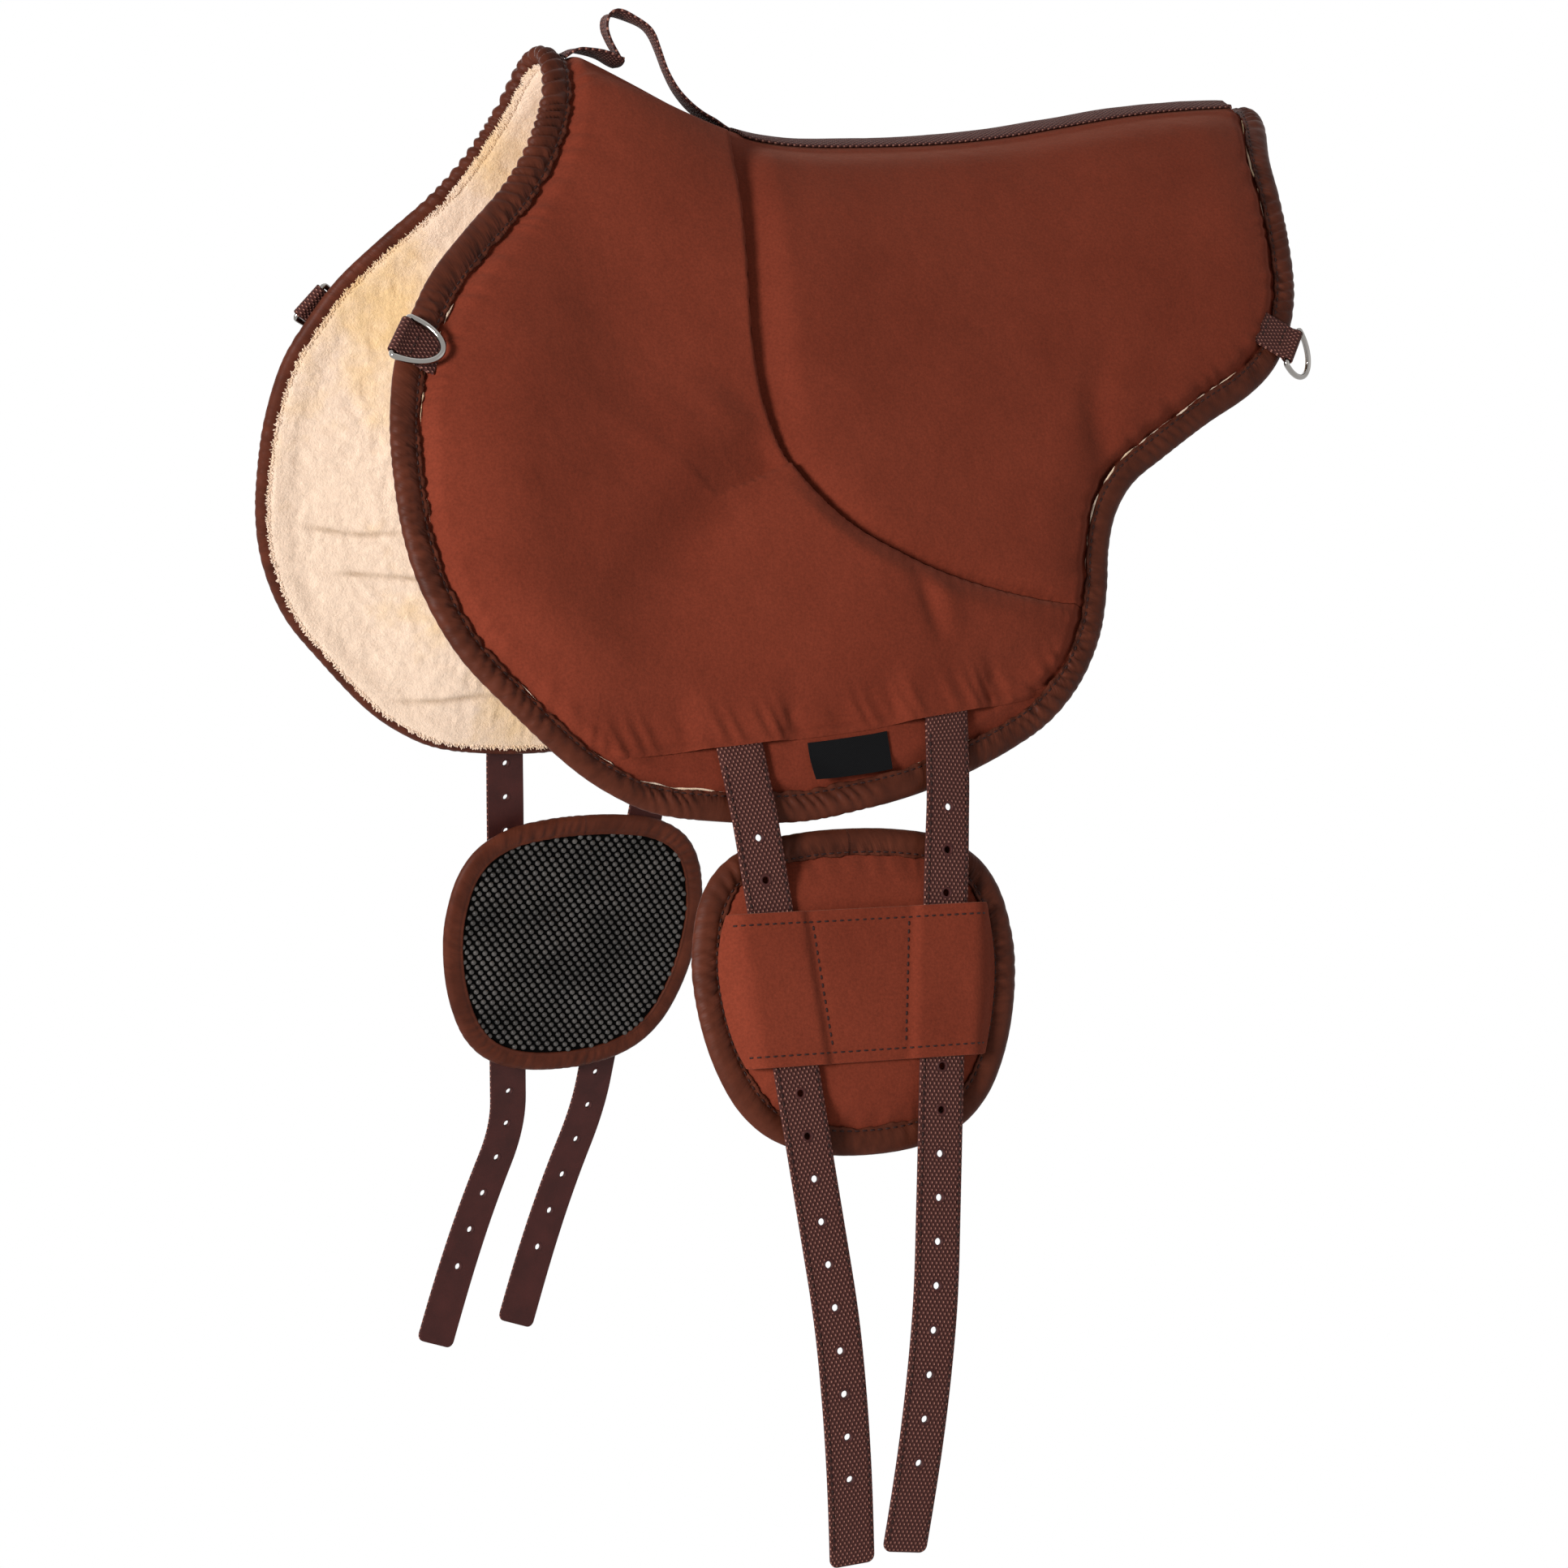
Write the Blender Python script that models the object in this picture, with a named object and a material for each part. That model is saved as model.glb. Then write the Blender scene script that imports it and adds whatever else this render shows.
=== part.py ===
"""Bareback pad: a quilted riding pad draped over a horse's back.

Frame: metres, +Z up, +X towards the horse's tail, -Y is the near side. The
origin is the underside of the pad on the spine line, at the dip of the seat.

Every flat layer is cut as a pattern in two lengths, x along the horse and s
down its side from the spine, and is then laid over the horse's side at a
height t above the coat. Layers of one flap share one pattern, so they nest.
"""
import math

import bmesh
import bpy
import numpy as np
from mathutils import Matrix, Vector
from mathutils.geometry import delaunay_2d_cdt

NEAR, FAR = -1, 1
SIDE_NAMES = {NEAR: "near", FAR: "far"}

# Gaps that keep neighbouring pieces apart
LAYER_GAP = 0.0004
SEAM_GAP = 0.0004
CENTRE_GAP = 0.0003

# The horse's back that the pad is draped over
WITHER_RISE = 0.066
REAR_RISE = 0.038
SIDE_SLOPE = math.radians(70.0)
WITHER_ROUND = 0.026
SEAT_ROUND = 0.060
FORM_STEPS = 48

# Outline of one flap, outer edge of the binding
FRONT_REACH = 0.331
REAR_REACH = 0.392
FLAP_DROP = 0.531
OUTLINE_STEP = 0.034
GRID_STEP = 0.052

# Layers, from the coat outwards
LINING_THICK = 0.008
LINING_EDGE = 0.003
FOAM_THICK = 0.0085
FOAM_SEAM = 0.0025
FOAM_EDGE = 0.0012
COVER_THICK = 0.0016
MARGIN_THICK = 0.0016

# Edge binding
BINDING_WIDTH = 0.015
BINDING_INSIDE = 0.012
BINDING_WALL = 0.0012
BINDING_PUFF = 0.0011
BINDING_SLACK = 0.0006
CROWN_RISE = 0.011
CROWN_RUN = 0.030

# Seam between the front panel and the seat panel
SEAM_REACH = 0.013
# Padding stops at the spine and above the girth margin
SPINE_BARE = 0.014
SPINE_CREST = 0.040
PADDING_STOP = 0.030

# Webbing
WEB_WIDTH = 0.030
WEB_THICK = 0.0018
BACKING_THICK = 0.0009
STRAP_THICK = BACKING_THICK + LAYER_GAP + WEB_THICK
SPINE_WEB_WIDTH = 0.026
SPINE_WEB_THICK = 0.0020
SPINE_WEB_LIFT = 0.0006
SPINE_WEB_STOP = 0.034

# Grab handle
HANDLE_FRONT = -0.1648
HANDLE_REAR = -0.045
HANDLE_RISE = 0.042
HANDLE_STEP = 0.0065

# Girth straps
STRAP_LENGTH = 0.515
STRAP_FRONT_X = -0.128
STRAP_REAR_X = 0.013
HINGE_DROP = 0.0055
STRAP_LIFT = 0.0008
STRAP_TILT_END = 0.090
SEWN_END_GAP = 0.0034
SEWN_END_LENGTH = 0.015
STRAP_CONVERGE = math.radians(5.9)
STRAP_CLOSING = {NEAR: 1.0, FAR: 0.0}
STRAP_LEAN = math.radians(6.4)
STRAP_CORNER = 0.005
STRAP_KNEE_START = 0.028
STRAP_KNEE_LENGTH = 0.030
STRAP_KNEE = math.radians(8.0)
STRAP_CURL_START = 0.330
STRAP_CURL = {NEAR: math.radians(14.0), FAR: math.radians(18.0)}
STRAP_SWING = {NEAR: math.radians(3.0), FAR: math.radians(21.0)}
STRAP_SWING_RUN = 0.050
HOLE_COUNT = 16
HOLE_PITCH = 0.027
HOLE_RADIUS = 0.0026
HOLE_SIDES = 6
LAST_HOLE = 0.056

# Girth pads that slide on the straps
GIRTH_HALF_WIDTH = 0.107
GIRTH_HALF_HEIGHT = 0.101
GIRTH_PLACE = {NEAR: 0.160, FAR: 0.205}
GIRTH_STEP = 0.030
GIRTH_GRID_STEP = 0.045
GIRTH_MESH_THICK = 0.0020
GIRTH_FOAM_THICK = 0.0090
GIRTH_FOAM_EDGE = 0.0020
GIRTH_COVER_THICK = 0.0014
GIRTH_CROWN_RISE = 0.010
GIRTH_CROWN_RUN = 0.026
GIRTH_SHOULDER = 0.0045
BAND_UP = 0.052
BAND_DOWN = 0.045
BAND_THICK = 0.0014
CHANNEL_HALF_FOOT = 0.0255
CHANNEL_HALF_TOP = 0.0205
CHANNEL_CLEAR = 0.0007

# D-rings and their webbing tabs
RING_WIRE = 0.0020
RING_INNER = 0.026
RING_DEPTH = 0.028
RING_CORNER = 0.0019
RING_CLEAR = 0.0005
RING_TILT = math.radians(18.0)
BOW_SPANS = 8
TAB_WIDTH = 0.025
TAB_PLY = 0.0012
TAB_GAP = 0.0004
TAB_REACH = 0.020
BAR_OUT = 0.0068
LOOP_SPANS = 6
RING_PLACE = {("front", NEAR): 0.262, ("front", FAR): 0.232, ("rear", NEAR): 0.219,
              ("rear", FAR): 0.219}

# Woven label, bare
LABEL_LENGTH = 0.054
LABEL_HEIGHT = 0.025
LABEL_THICK = 0.0008
LABEL_X = -0.056
LABEL_DROP = 0.003

# Spine line: share of the front or rear reach, share of the wither or rear rise
SPINE_SHARES = (
    (-1.05, 1.60), (-0.85, 1.36), (-0.66, 1.10), (-0.56, 0.95), (-0.46, 0.77), (-0.36, 0.55),
    (-0.27, 0.34), (-0.19, 0.18), (-0.10, 0.05), (0.0, 0.0), (0.13, 0.03), (0.27, 0.12),
    (0.40, 0.28), (0.52, 0.50), (0.65, 0.74), (0.78, 0.90), (0.90, 0.98), (1.05, 1.00),
)
# Outline of a flap from wither to rear: share of the reach, share of the drop
OUTLINE_SHARES = (
    (-0.545, 0.0), (-0.572, 0.093), (-0.625, 0.176), (-0.693, 0.247), (-0.790, 0.325),
    (-0.868, 0.391), (-0.920, 0.450), (-0.967, 0.516), (-0.993, 0.594), (-1.0, 0.665),
    (-0.995, 0.738), (-0.970, 0.803), (-0.916, 0.866), (-0.834, 0.915), (-0.728, 0.967),
    (-0.640, 0.992), (-0.550, 1.0), (-0.416, 0.989), (-0.280, 0.966), (-0.139, 0.933),
    (-0.012, 0.909), (0.075, 0.889), (0.158, 0.866), (0.235, 0.838), (0.302, 0.797),
    (0.352, 0.745), (0.380, 0.690), (0.398, 0.635), (0.425, 0.590), (0.470, 0.555),
    (0.540, 0.530), (0.633, 0.500), (0.725, 0.472), (0.790, 0.438), (0.835, 0.390),
    (0.862, 0.335), (0.875, 0.262), (0.882, 0.200), (0.893, 0.135), (0.925, 0.072),
    (0.962, 0.0),
)
# Seam between front panel and seat panel, in the same shares
SEAM_SHARES = (
    (-0.130, 0.0), (-0.165, 0.050), (-0.195, 0.110), (-0.210, 0.190), (-0.224, 0.270),
    (-0.238, 0.350), (-0.242, 0.405), (-0.235, 0.460), (-0.210, 0.512), (-0.155, 0.553),
    (-0.080, 0.590), (0.0, 0.618), (0.075, 0.646), (0.165, 0.672), (0.260, 0.694),
    (0.330, 0.706), (0.440, 0.720),
)
# Lower edge of the padding, in the same shares
FOLD_SHARES = (
    (-0.80, 0.999), (-0.72, 0.978), (-0.648, 0.958), (-0.52, 0.930), (-0.413, 0.907),
    (-0.25, 0.868), (-0.087, 0.838), (0.023, 0.826), (0.158, 0.817), (0.230, 0.809),
    (0.330, 0.790),
)
# Grab handle: share of the run from its front to its rear end, share of its rise
HANDLE_SHARES = (
    (0.0, 0.0), (0.07, 0.05), (0.16, 0.13), (0.25, 0.19), (0.33, 0.19), (0.372, 0.235),
    (0.345, 0.36), (0.305, 0.50), (0.280, 0.66), (0.290, 0.84), (0.335, 0.95), (0.42, 0.985),
    (0.50, 0.99), (0.545, 0.92), (0.585, 0.73), (0.635, 0.46), (0.71, 0.23), (0.83, 0.07),
    (1.0, 0.0),
)
# Girth pad, right half from top to bottom: share of half width, share of half height
GIRTH_SHARES = (
    (0.0, -1.0), (0.30, -0.985), (0.58, -0.93), (0.80, -0.80), (0.93, -0.60), (0.99, -0.34),
    (1.0, -0.10), (0.96, 0.20), (0.88, 0.47), (0.76, 0.70), (0.58, 0.87), (0.32, 0.97),
    (0.0, 1.0),
)

COLOURS = {
    "suede": (0.155, 0.030, 0.016), "binding": (0.052, 0.014, 0.010),
    "webbing": (0.066, 0.024, 0.020), "backing": (0.045, 0.011, 0.009),
    "fleece": (0.90, 0.74, 0.53), "foam": (0.75, 0.72, 0.62), "mesh": (0.012, 0.010, 0.009),
    "nickel": (0.62, 0.62, 0.62), "label": (0.012, 0.012, 0.013),
}
ROUGHNESS = {"nickel": 0.16, "binding": 0.45, "backing": 0.5}


def clear_scene():
    """Empty the scene of whatever it opened with."""
    for thing in list(bpy.data.objects):
        bpy.data.objects.remove(thing, do_unlink=True)


def material(finish):
    """One Principled material for each finish."""
    made = bpy.data.materials.get(finish)
    if made is None:
        made = bpy.data.materials.new(finish)
        made.use_nodes = True
        shader = made.node_tree.nodes["Principled BSDF"]
        shader.inputs["Base Color"].default_value = (*COLOURS[finish], 1.0)
        shader.inputs["Roughness"].default_value = ROUGHNESS.get(finish, 0.85)
        shader.inputs["Metallic"].default_value = 1.0 if finish == "nickel" else 0.0
    return made


def smooth_step(value, start, end):
    """0 before start, 1 after end, smooth between."""
    share = min(max((value - start) / (end - start), 0.0), 1.0)
    return share * share * (3.0 - 2.0 * share)


def scaled(shares, drop=FLAP_DROP):
    """Turn pattern shares into lengths."""
    return [Vector(((FRONT_REACH if x < 0.0 else REAR_REACH) * x, drop * s)) for x, s in shares]


def value_at(points, x):
    """Height of a smooth curve through points at x."""
    last = len(points) - 2
    i = 0
    while i < last and x > points[i + 1][0]:
        i += 1
    slopes = []
    for k in (i, i + 1):
        before, after = points[max(k - 1, 0)], points[min(k + 1, len(points) - 1)]
        slopes.append((after[1] - before[1]) / (after[0] - before[0]))
    (x0, y0), (x1, y1) = points[i], points[i + 1]
    run = x1 - x0
    f = min(max((x - x0) / run, 0.0), 1.0)
    return (y0 * (1 + 2 * f) * (1 - f) ** 2 + y1 * f * f * (3 - 2 * f)
            + run * (slopes[0] * f * (1 - f) ** 2 + slopes[1] * f * f * (f - 1)))


def curve_through(points, step, closed=False):
    """Evenly spaced points on a smooth curve through the given points."""
    count = len(points)
    dense = []
    spans = count if closed else count - 1
    for i in range(spans):
        if closed:
            a, b, c, d = (points[(i + k) % count] for k in (-1, 0, 1, 2))
        else:
            b, c = points[i], points[i + 1]
            a = points[i - 1] if i > 0 else b * 2 - c
            d = points[i + 2] if i + 2 < count else c * 2 - b
        for k in range(8):
            f = k / 8
            dense.append(0.5 * (2 * b + (c - a) * f + (2 * a - 5 * b + 4 * c - d) * f * f
                                + (3 * b - a - 3 * c + d) * f ** 3))
    dense.append(points[0].copy() if closed else points[-1].copy())
    run = [0.0]
    for before, after in zip(dense, dense[1:]):
        run.append(run[-1] + (after - before).length)
    pieces = max(round(run[-1] / step), 3)
    even = []
    k = 0
    for i in range(pieces + 1):
        target = run[-1] * i / pieces
        while k < len(run) - 2 and run[k + 1] < target:
            k += 1
        even.append(dense[k].lerp(dense[k + 1], (target - run[k]) / (run[k + 1] - run[k])))
    return even[:-1] if closed else even


def inward_normals(line, closed=False):
    """Unit normals of a line: inwards for an outline, towards the seat for the seam."""
    count = len(line)
    normals = []
    for i in range(count):
        if closed:
            along = line[(i + 1) % count] - line[i - 1]
        else:
            along = line[min(i + 1, count - 1)] - line[max(i - 1, 0)]
        normals.append(Vector((along.y, -along.x)).normalized())
    return normals


def inside(polygon, point):
    """Whether a point lies inside a closed polygon."""
    odd = False
    for a, b in zip(polygon, polygon[1:] + polygon[:1]):
        if (a.y > point.y) != (b.y > point.y):
            if point.x < a.x + (point.y - a.y) * (b.x - a.x) / (b.y - a.y):
                odd = not odd
    return odd


def distance_to(line, point, closed=False):
    """Shortest distance from a point to a line of points."""
    ends = line[1:] + line[:1] if closed else line[1:]
    best = math.inf
    for a, b in zip(line, ends):
        along = b - a
        f = min(max((point - a).dot(along) / along.length_squared, 0.0), 1.0)
        best = min(best, (point - a - along * f).length)
    return best


# The horse's side

def spine_height(x):
    """Height of the coat on the spine line."""
    rises = []
    for share, rise in SPINE_SHARES:
        if share < 0.0:
            rises.append((FRONT_REACH * share, WITHER_RISE * rise))
        else:
            rises.append((REAR_REACH * share, REAR_RISE * rise))
    return value_at(rises, x)


def round_length(x):
    """Length over which the coat rolls off the spine, short at the withers."""
    return WITHER_ROUND + (SEAT_ROUND - WITHER_ROUND) * smooth_step(x, -0.6 * FRONT_REACH, 0.0)


def side_point(x, s, t, side):
    """Place on one side of the horse, s down from the spine and t off the coat."""
    reach = round_length(x)
    steps = (np.arange(FORM_STEPS) + 0.5) * (s / FORM_STEPS)
    slopes = SIDE_SLOPE * (1.0 - np.exp(-steps / reach))
    out = CENTRE_GAP + float(np.cos(slopes).sum()) * s / FORM_STEPS
    drop = float(np.sin(slopes).sum()) * s / FORM_STEPS
    slope = SIDE_SLOPE * (1.0 - math.exp(-s / reach))
    out += t * math.sin(slope)
    return Vector((x, side * out, spine_height(x) - drop + t * math.cos(slope)))


# Solids from flat patterns

def finish(name, mesh_maker, finish_name, parent=None, smooth=False):
    """Turn a bmesh into a named object with faces outwards."""
    bmesh.ops.recalc_face_normals(mesh_maker, faces=mesh_maker.faces)
    mesh = bpy.data.meshes.new(name)
    mesh_maker.to_mesh(mesh)
    mesh_maker.free()
    if smooth:
        mesh.shade_smooth()
    mesh.materials.append(material(finish_name))
    thing = bpy.data.objects.new(name, mesh)
    bpy.context.collection.objects.link(thing)
    if parent is not None:
        thing.parent = parent
        thing.matrix_parent_inverse = Matrix.Translation(parent.location).inverted()
    return thing


def joint_empty(name, place):
    """Empty on a joint's axis, which the moving pieces hang on."""
    empty = bpy.data.objects.new(name, None)
    empty.location = place
    bpy.context.collection.objects.link(empty)
    return empty


def triangulate(outline, lines, points):
    """Triangles of a flat pattern that has the outline and lines as edges."""
    corners = list(outline)
    edges = [(i, (i + 1) % len(outline)) for i in range(len(outline))]
    for line, closed in lines:
        start = len(corners)
        corners.extend(line)
        edges.extend((start + i, start + i + 1) for i in range(len(line) - 1))
        if closed:
            edges.append((start + len(line) - 1, start))
    corners.extend(points)
    places, _, faces, _, _, _ = delaunay_2d_cdt(corners, edges, [], 1, 1e-6)
    return [Vector(place) for place in places], faces


def slab(places, faces, low, high, put):
    """Closed solid over some faces of a pattern, between two heights.

    low and high give the heights at a place, put turns (place, height) into 3-D.
    """
    maker = bmesh.new()
    used = sorted({i for face in faces for i in face})
    bottom = {i: maker.verts.new(put(places[i], low(places[i]))) for i in used}
    top = {i: maker.verts.new(put(places[i], high(places[i]))) for i in used}
    for face in faces:
        maker.faces.new([bottom[i] for i in reversed(face)])
    borders = [edge for edge in maker.edges if edge.is_boundary]
    back = {vert: i for i, vert in bottom.items()}
    for edge in borders:
        a, b = (back[vert] for vert in edge.verts)
        maker.faces.new([bottom[a], bottom[b], top[b], top[a]])
    for face in faces:
        maker.faces.new([top[i] for i in face])
    return maker


def swept(sections, closed=False):
    """Closed solid through a row of like sections."""
    maker = bmesh.new()
    rings = [[maker.verts.new(place) for place in section] for section in sections]
    pairs = list(zip(rings, rings[1:]))
    if closed:
        pairs.append((rings[-1], rings[0]))
    for before, after in pairs:
        count = len(before)
        for i in range(count):
            k = (i + 1) % count
            maker.faces.new([before[i], before[k], after[k], after[i]])
    if not closed:
        maker.faces.new(list(reversed(rings[0])))
        maker.faces.new(rings[-1])
    maker.normal_update()
    bmesh.ops.triangulate(maker, faces=maker.faces)
    return maker


def ribbon(centres, normals, across, thickness):
    """Flat band along a row of places; across is half the width as a vector."""
    sections = []
    for place, normal in zip(centres, normals):
        up = normal * (thickness / 2)
        sections.append([place - across - up, place + across - up,
                         place + across + up, place - across + up])
    return swept(sections)


# The flap pattern

class FlapPattern:
    """Cutting pattern of one flap, the same for both sides."""

    def __init__(self):
        self.outline = curve_through(scaled(OUTLINE_SHARES), OUTLINE_STEP)
        self.normals = inward_normals(self.outline)
        self.normals[0], self.normals[-1] = Vector((1.0, 0.0)), Vector((-1.0, 0.0))
        self.seam = curve_through(scaled(SEAM_SHARES), OUTLINE_STEP)
        self.fold = self.fold_line()
        self.inner = self.ring(BINDING_WIDTH)
        self.shoulder = self.ring(BINDING_WIDTH + CROWN_RISE)
        self.crest = self.ring(BINDING_WIDTH + CROWN_RUN)
        self.padding_edge = [p - Vector((0.0, PADDING_STOP)) for p in self.fold]
        self.places, self.faces = self.build()

    def ring(self, distance):
        """Line at one distance inside the outline."""
        return [p + n * distance for p, n in zip(self.outline, self.normals)]

    def fold_height(self, x):
        """Pattern height s of the padding's lower edge at x."""
        return value_at([tuple(p) for p in scaled(FOLD_SHARES)], x)

    def fold_line(self):
        """Lower edge of the padding, with a place at each strap's edges."""
        half = WEB_WIDTH / 2 + SEAM_REACH / 2
        xs = {x + k * half for x in (STRAP_FRONT_X, STRAP_REAR_X) for k in (-1, 0, 1)}
        ends = scaled((FOLD_SHARES[0], FOLD_SHARES[-1]))
        middle = (STRAP_FRONT_X + STRAP_REAR_X) / 2
        xs |= {middle, ends[0].x, ends[1].x}
        xs |= {(STRAP_FRONT_X - half + ends[0].x) / 2, (STRAP_REAR_X + half + ends[1].x) / 2}
        return [Vector((x, self.fold_height(x))) for x in sorted(xs)]

    def build(self):
        """Triangulate the pattern with all its lines."""
        top = [Vector((x, 0.0)) for x in self.spine_stations()]
        spine_row = [Vector((x, SPINE_BARE)) for x in self.spine_stations()]
        cuts = [self.seam, self.fold, self.padding_edge]
        loop = notched(self.outline, cuts) + list(reversed(top))
        shoulder = notched(self.shoulder, [spine_row])
        first, last = (p for p in shoulder if abs(p.y - SPINE_BARE) < SEAM_GAP / 100)
        spine_row = [p for p in spine_row if first.x < p.x < last.x]
        lines = [(self.inner, False), (shoulder, False), ([first] + spine_row + [last], False)]
        lines += [(self.clip(cut), False) for cut in cuts]
        points = [p for p in self.crest[1:-1:2] if self.free(p)]
        points += self.beside_seam()
        points += self.grid(points)
        return triangulate(loop, lines, points)

    def spine_stations(self):
        """Places along the spine between the two ends of the outline."""
        start, end = self.outline[0].x, self.outline[-1].x
        inner = [start + BINDING_WIDTH, end - BINDING_WIDTH]
        inner += [start + BINDING_WIDTH + CROWN_RISE, end - BINDING_WIDTH - CROWN_RISE]
        count = round((end - start) / GRID_STEP)
        seam_x = self.seam[0].x
        for i in range(1, count):
            x = start + (end - start) * i / count
            if all(abs(x - other) > GRID_STEP / 3 for other in inner + [seam_x]):
                inner.append(x)
        return sorted(inner + [seam_x])

    def clip(self, line):
        """Part of a line inside the outline, cut where it crosses it."""
        loop = self.outline
        kept = []
        for a, b in zip(line, line[1:]):
            if inside(loop, a) or not kept and a.y <= 0.0:
                kept.append(a)
            crossings = [c for c in (crossing(a, b, p, q) for p, q in zip(loop, loop[1:])) if c]
            kept.extend(crossings)
        if inside(loop, line[-1]):
            kept.append(line[-1])
        return kept

    def beside_seam(self):
        """Places on both sides of the seam, where the padding is full again."""
        normals = inward_normals(self.seam)
        found = []
        for p, n in zip(self.seam[1:], normals[1:]):
            for way in (-1, 1):
                q = p + n * SEAM_REACH * way
                if self.free(q, seam=False) and inside(self.shoulder, q):
                    found.append(q)
        return found

    def free(self, p, seam=True):
        """Whether a place keeps clear of the pattern's lines."""
        clear = SEAM_REACH * 0.6
        if p.y < SPINE_BARE + clear or distance_to(self.shoulder, p) < clear:
            return False
        if seam and distance_to(self.seam, p) < SEAM_REACH * 1.5:
            return False
        if distance_to(self.fold, p) < clear or distance_to(self.padding_edge, p) < clear:
            return False
        return inside(self.outline, p)

    def grid(self, taken):
        """Places over the rest of the pattern, closer together near the spine."""
        found = []
        s, step = SPINE_BARE, SPINE_BARE
        row = 0
        while s < FLAP_DROP:
            s += step
            step = min(step * 1.35, GRID_STEP)
            row += 1
            x = -FRONT_REACH + (row % 2) * GRID_STEP / 2
            while x < REAR_REACH:
                p = Vector((x, s))
                others = taken + found
                near = min(((p - q).length for q in others), default=GRID_STEP)
                if self.free(p) and inside(self.shoulder, p) and near > GRID_STEP * 0.45:
                    if distance_to(self.shoulder, p) > GRID_STEP * 0.35:
                        found.append(p)
                x += GRID_STEP
        return found

    def middle(self, face):
        """Centre of a face of the pattern."""
        return sum((self.places[i] for i in face), Vector((0.0, 0.0))) / len(face)

    def below(self, line, p):
        """Whether a place is further down the side than a line."""
        deep = 2.0 * FLAP_DROP
        polygon = list(line) + [Vector((line[-1].x, deep)), Vector((line[0].x, deep))]
        return inside(polygon, p)

    def seat_side(self, p):
        """Whether a place is on the seat panel's side of the seam."""
        far = REAR_REACH + FLAP_DROP
        polygon = list(self.seam) + [Vector((far, self.seam[-1].y)), Vector((far, -FLAP_DROP)),
                                     Vector((self.seam[0].x, -FLAP_DROP))]
        return inside(polygon, p)


def notched(line, cuts):
    """A line with a place wherever one of the cuts crosses it."""
    marked = line[:1]
    for p, q in zip(line, line[1:]):
        found = [crossing(a, b, p, q) for cut in cuts for a, b in zip(cut, cut[1:])]
        found = [place for place in found if place is not None]
        marked += sorted(found, key=lambda place: (place - p).length) + [q]
    return marked


def crossing(a, b, p, q):
    """Where segment ab crosses segment pq, or None."""
    ab, pq = b - a, q - p
    base = ab.x * pq.y - ab.y * pq.x
    if base == 0.0:
        return None
    f = ((p.x - a.x) * pq.y - (p.y - a.y) * pq.x) / base
    g = ((p.x - a.x) * ab.y - (p.y - a.y) * ab.x) / base
    return a + ab * f if 0.0 < f < 1.0 and 0.0 <= g <= 1.0 else None


# Heights of the flap's layers off the coat

MARGIN_TOP = LINING_THICK + LAYER_GAP + MARGIN_THICK
EDGE_TOP = LINING_EDGE + 2 * LAYER_GAP + COVER_THICK
BINDING_TOP = EDGE_TOP + BINDING_SLACK + BINDING_WALL + BINDING_PUFF
STRAP_LOFT = MARGIN_TOP + 2 * STRAP_LIFT + STRAP_THICK - LINING_THICK - 2 * LAYER_GAP


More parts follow.
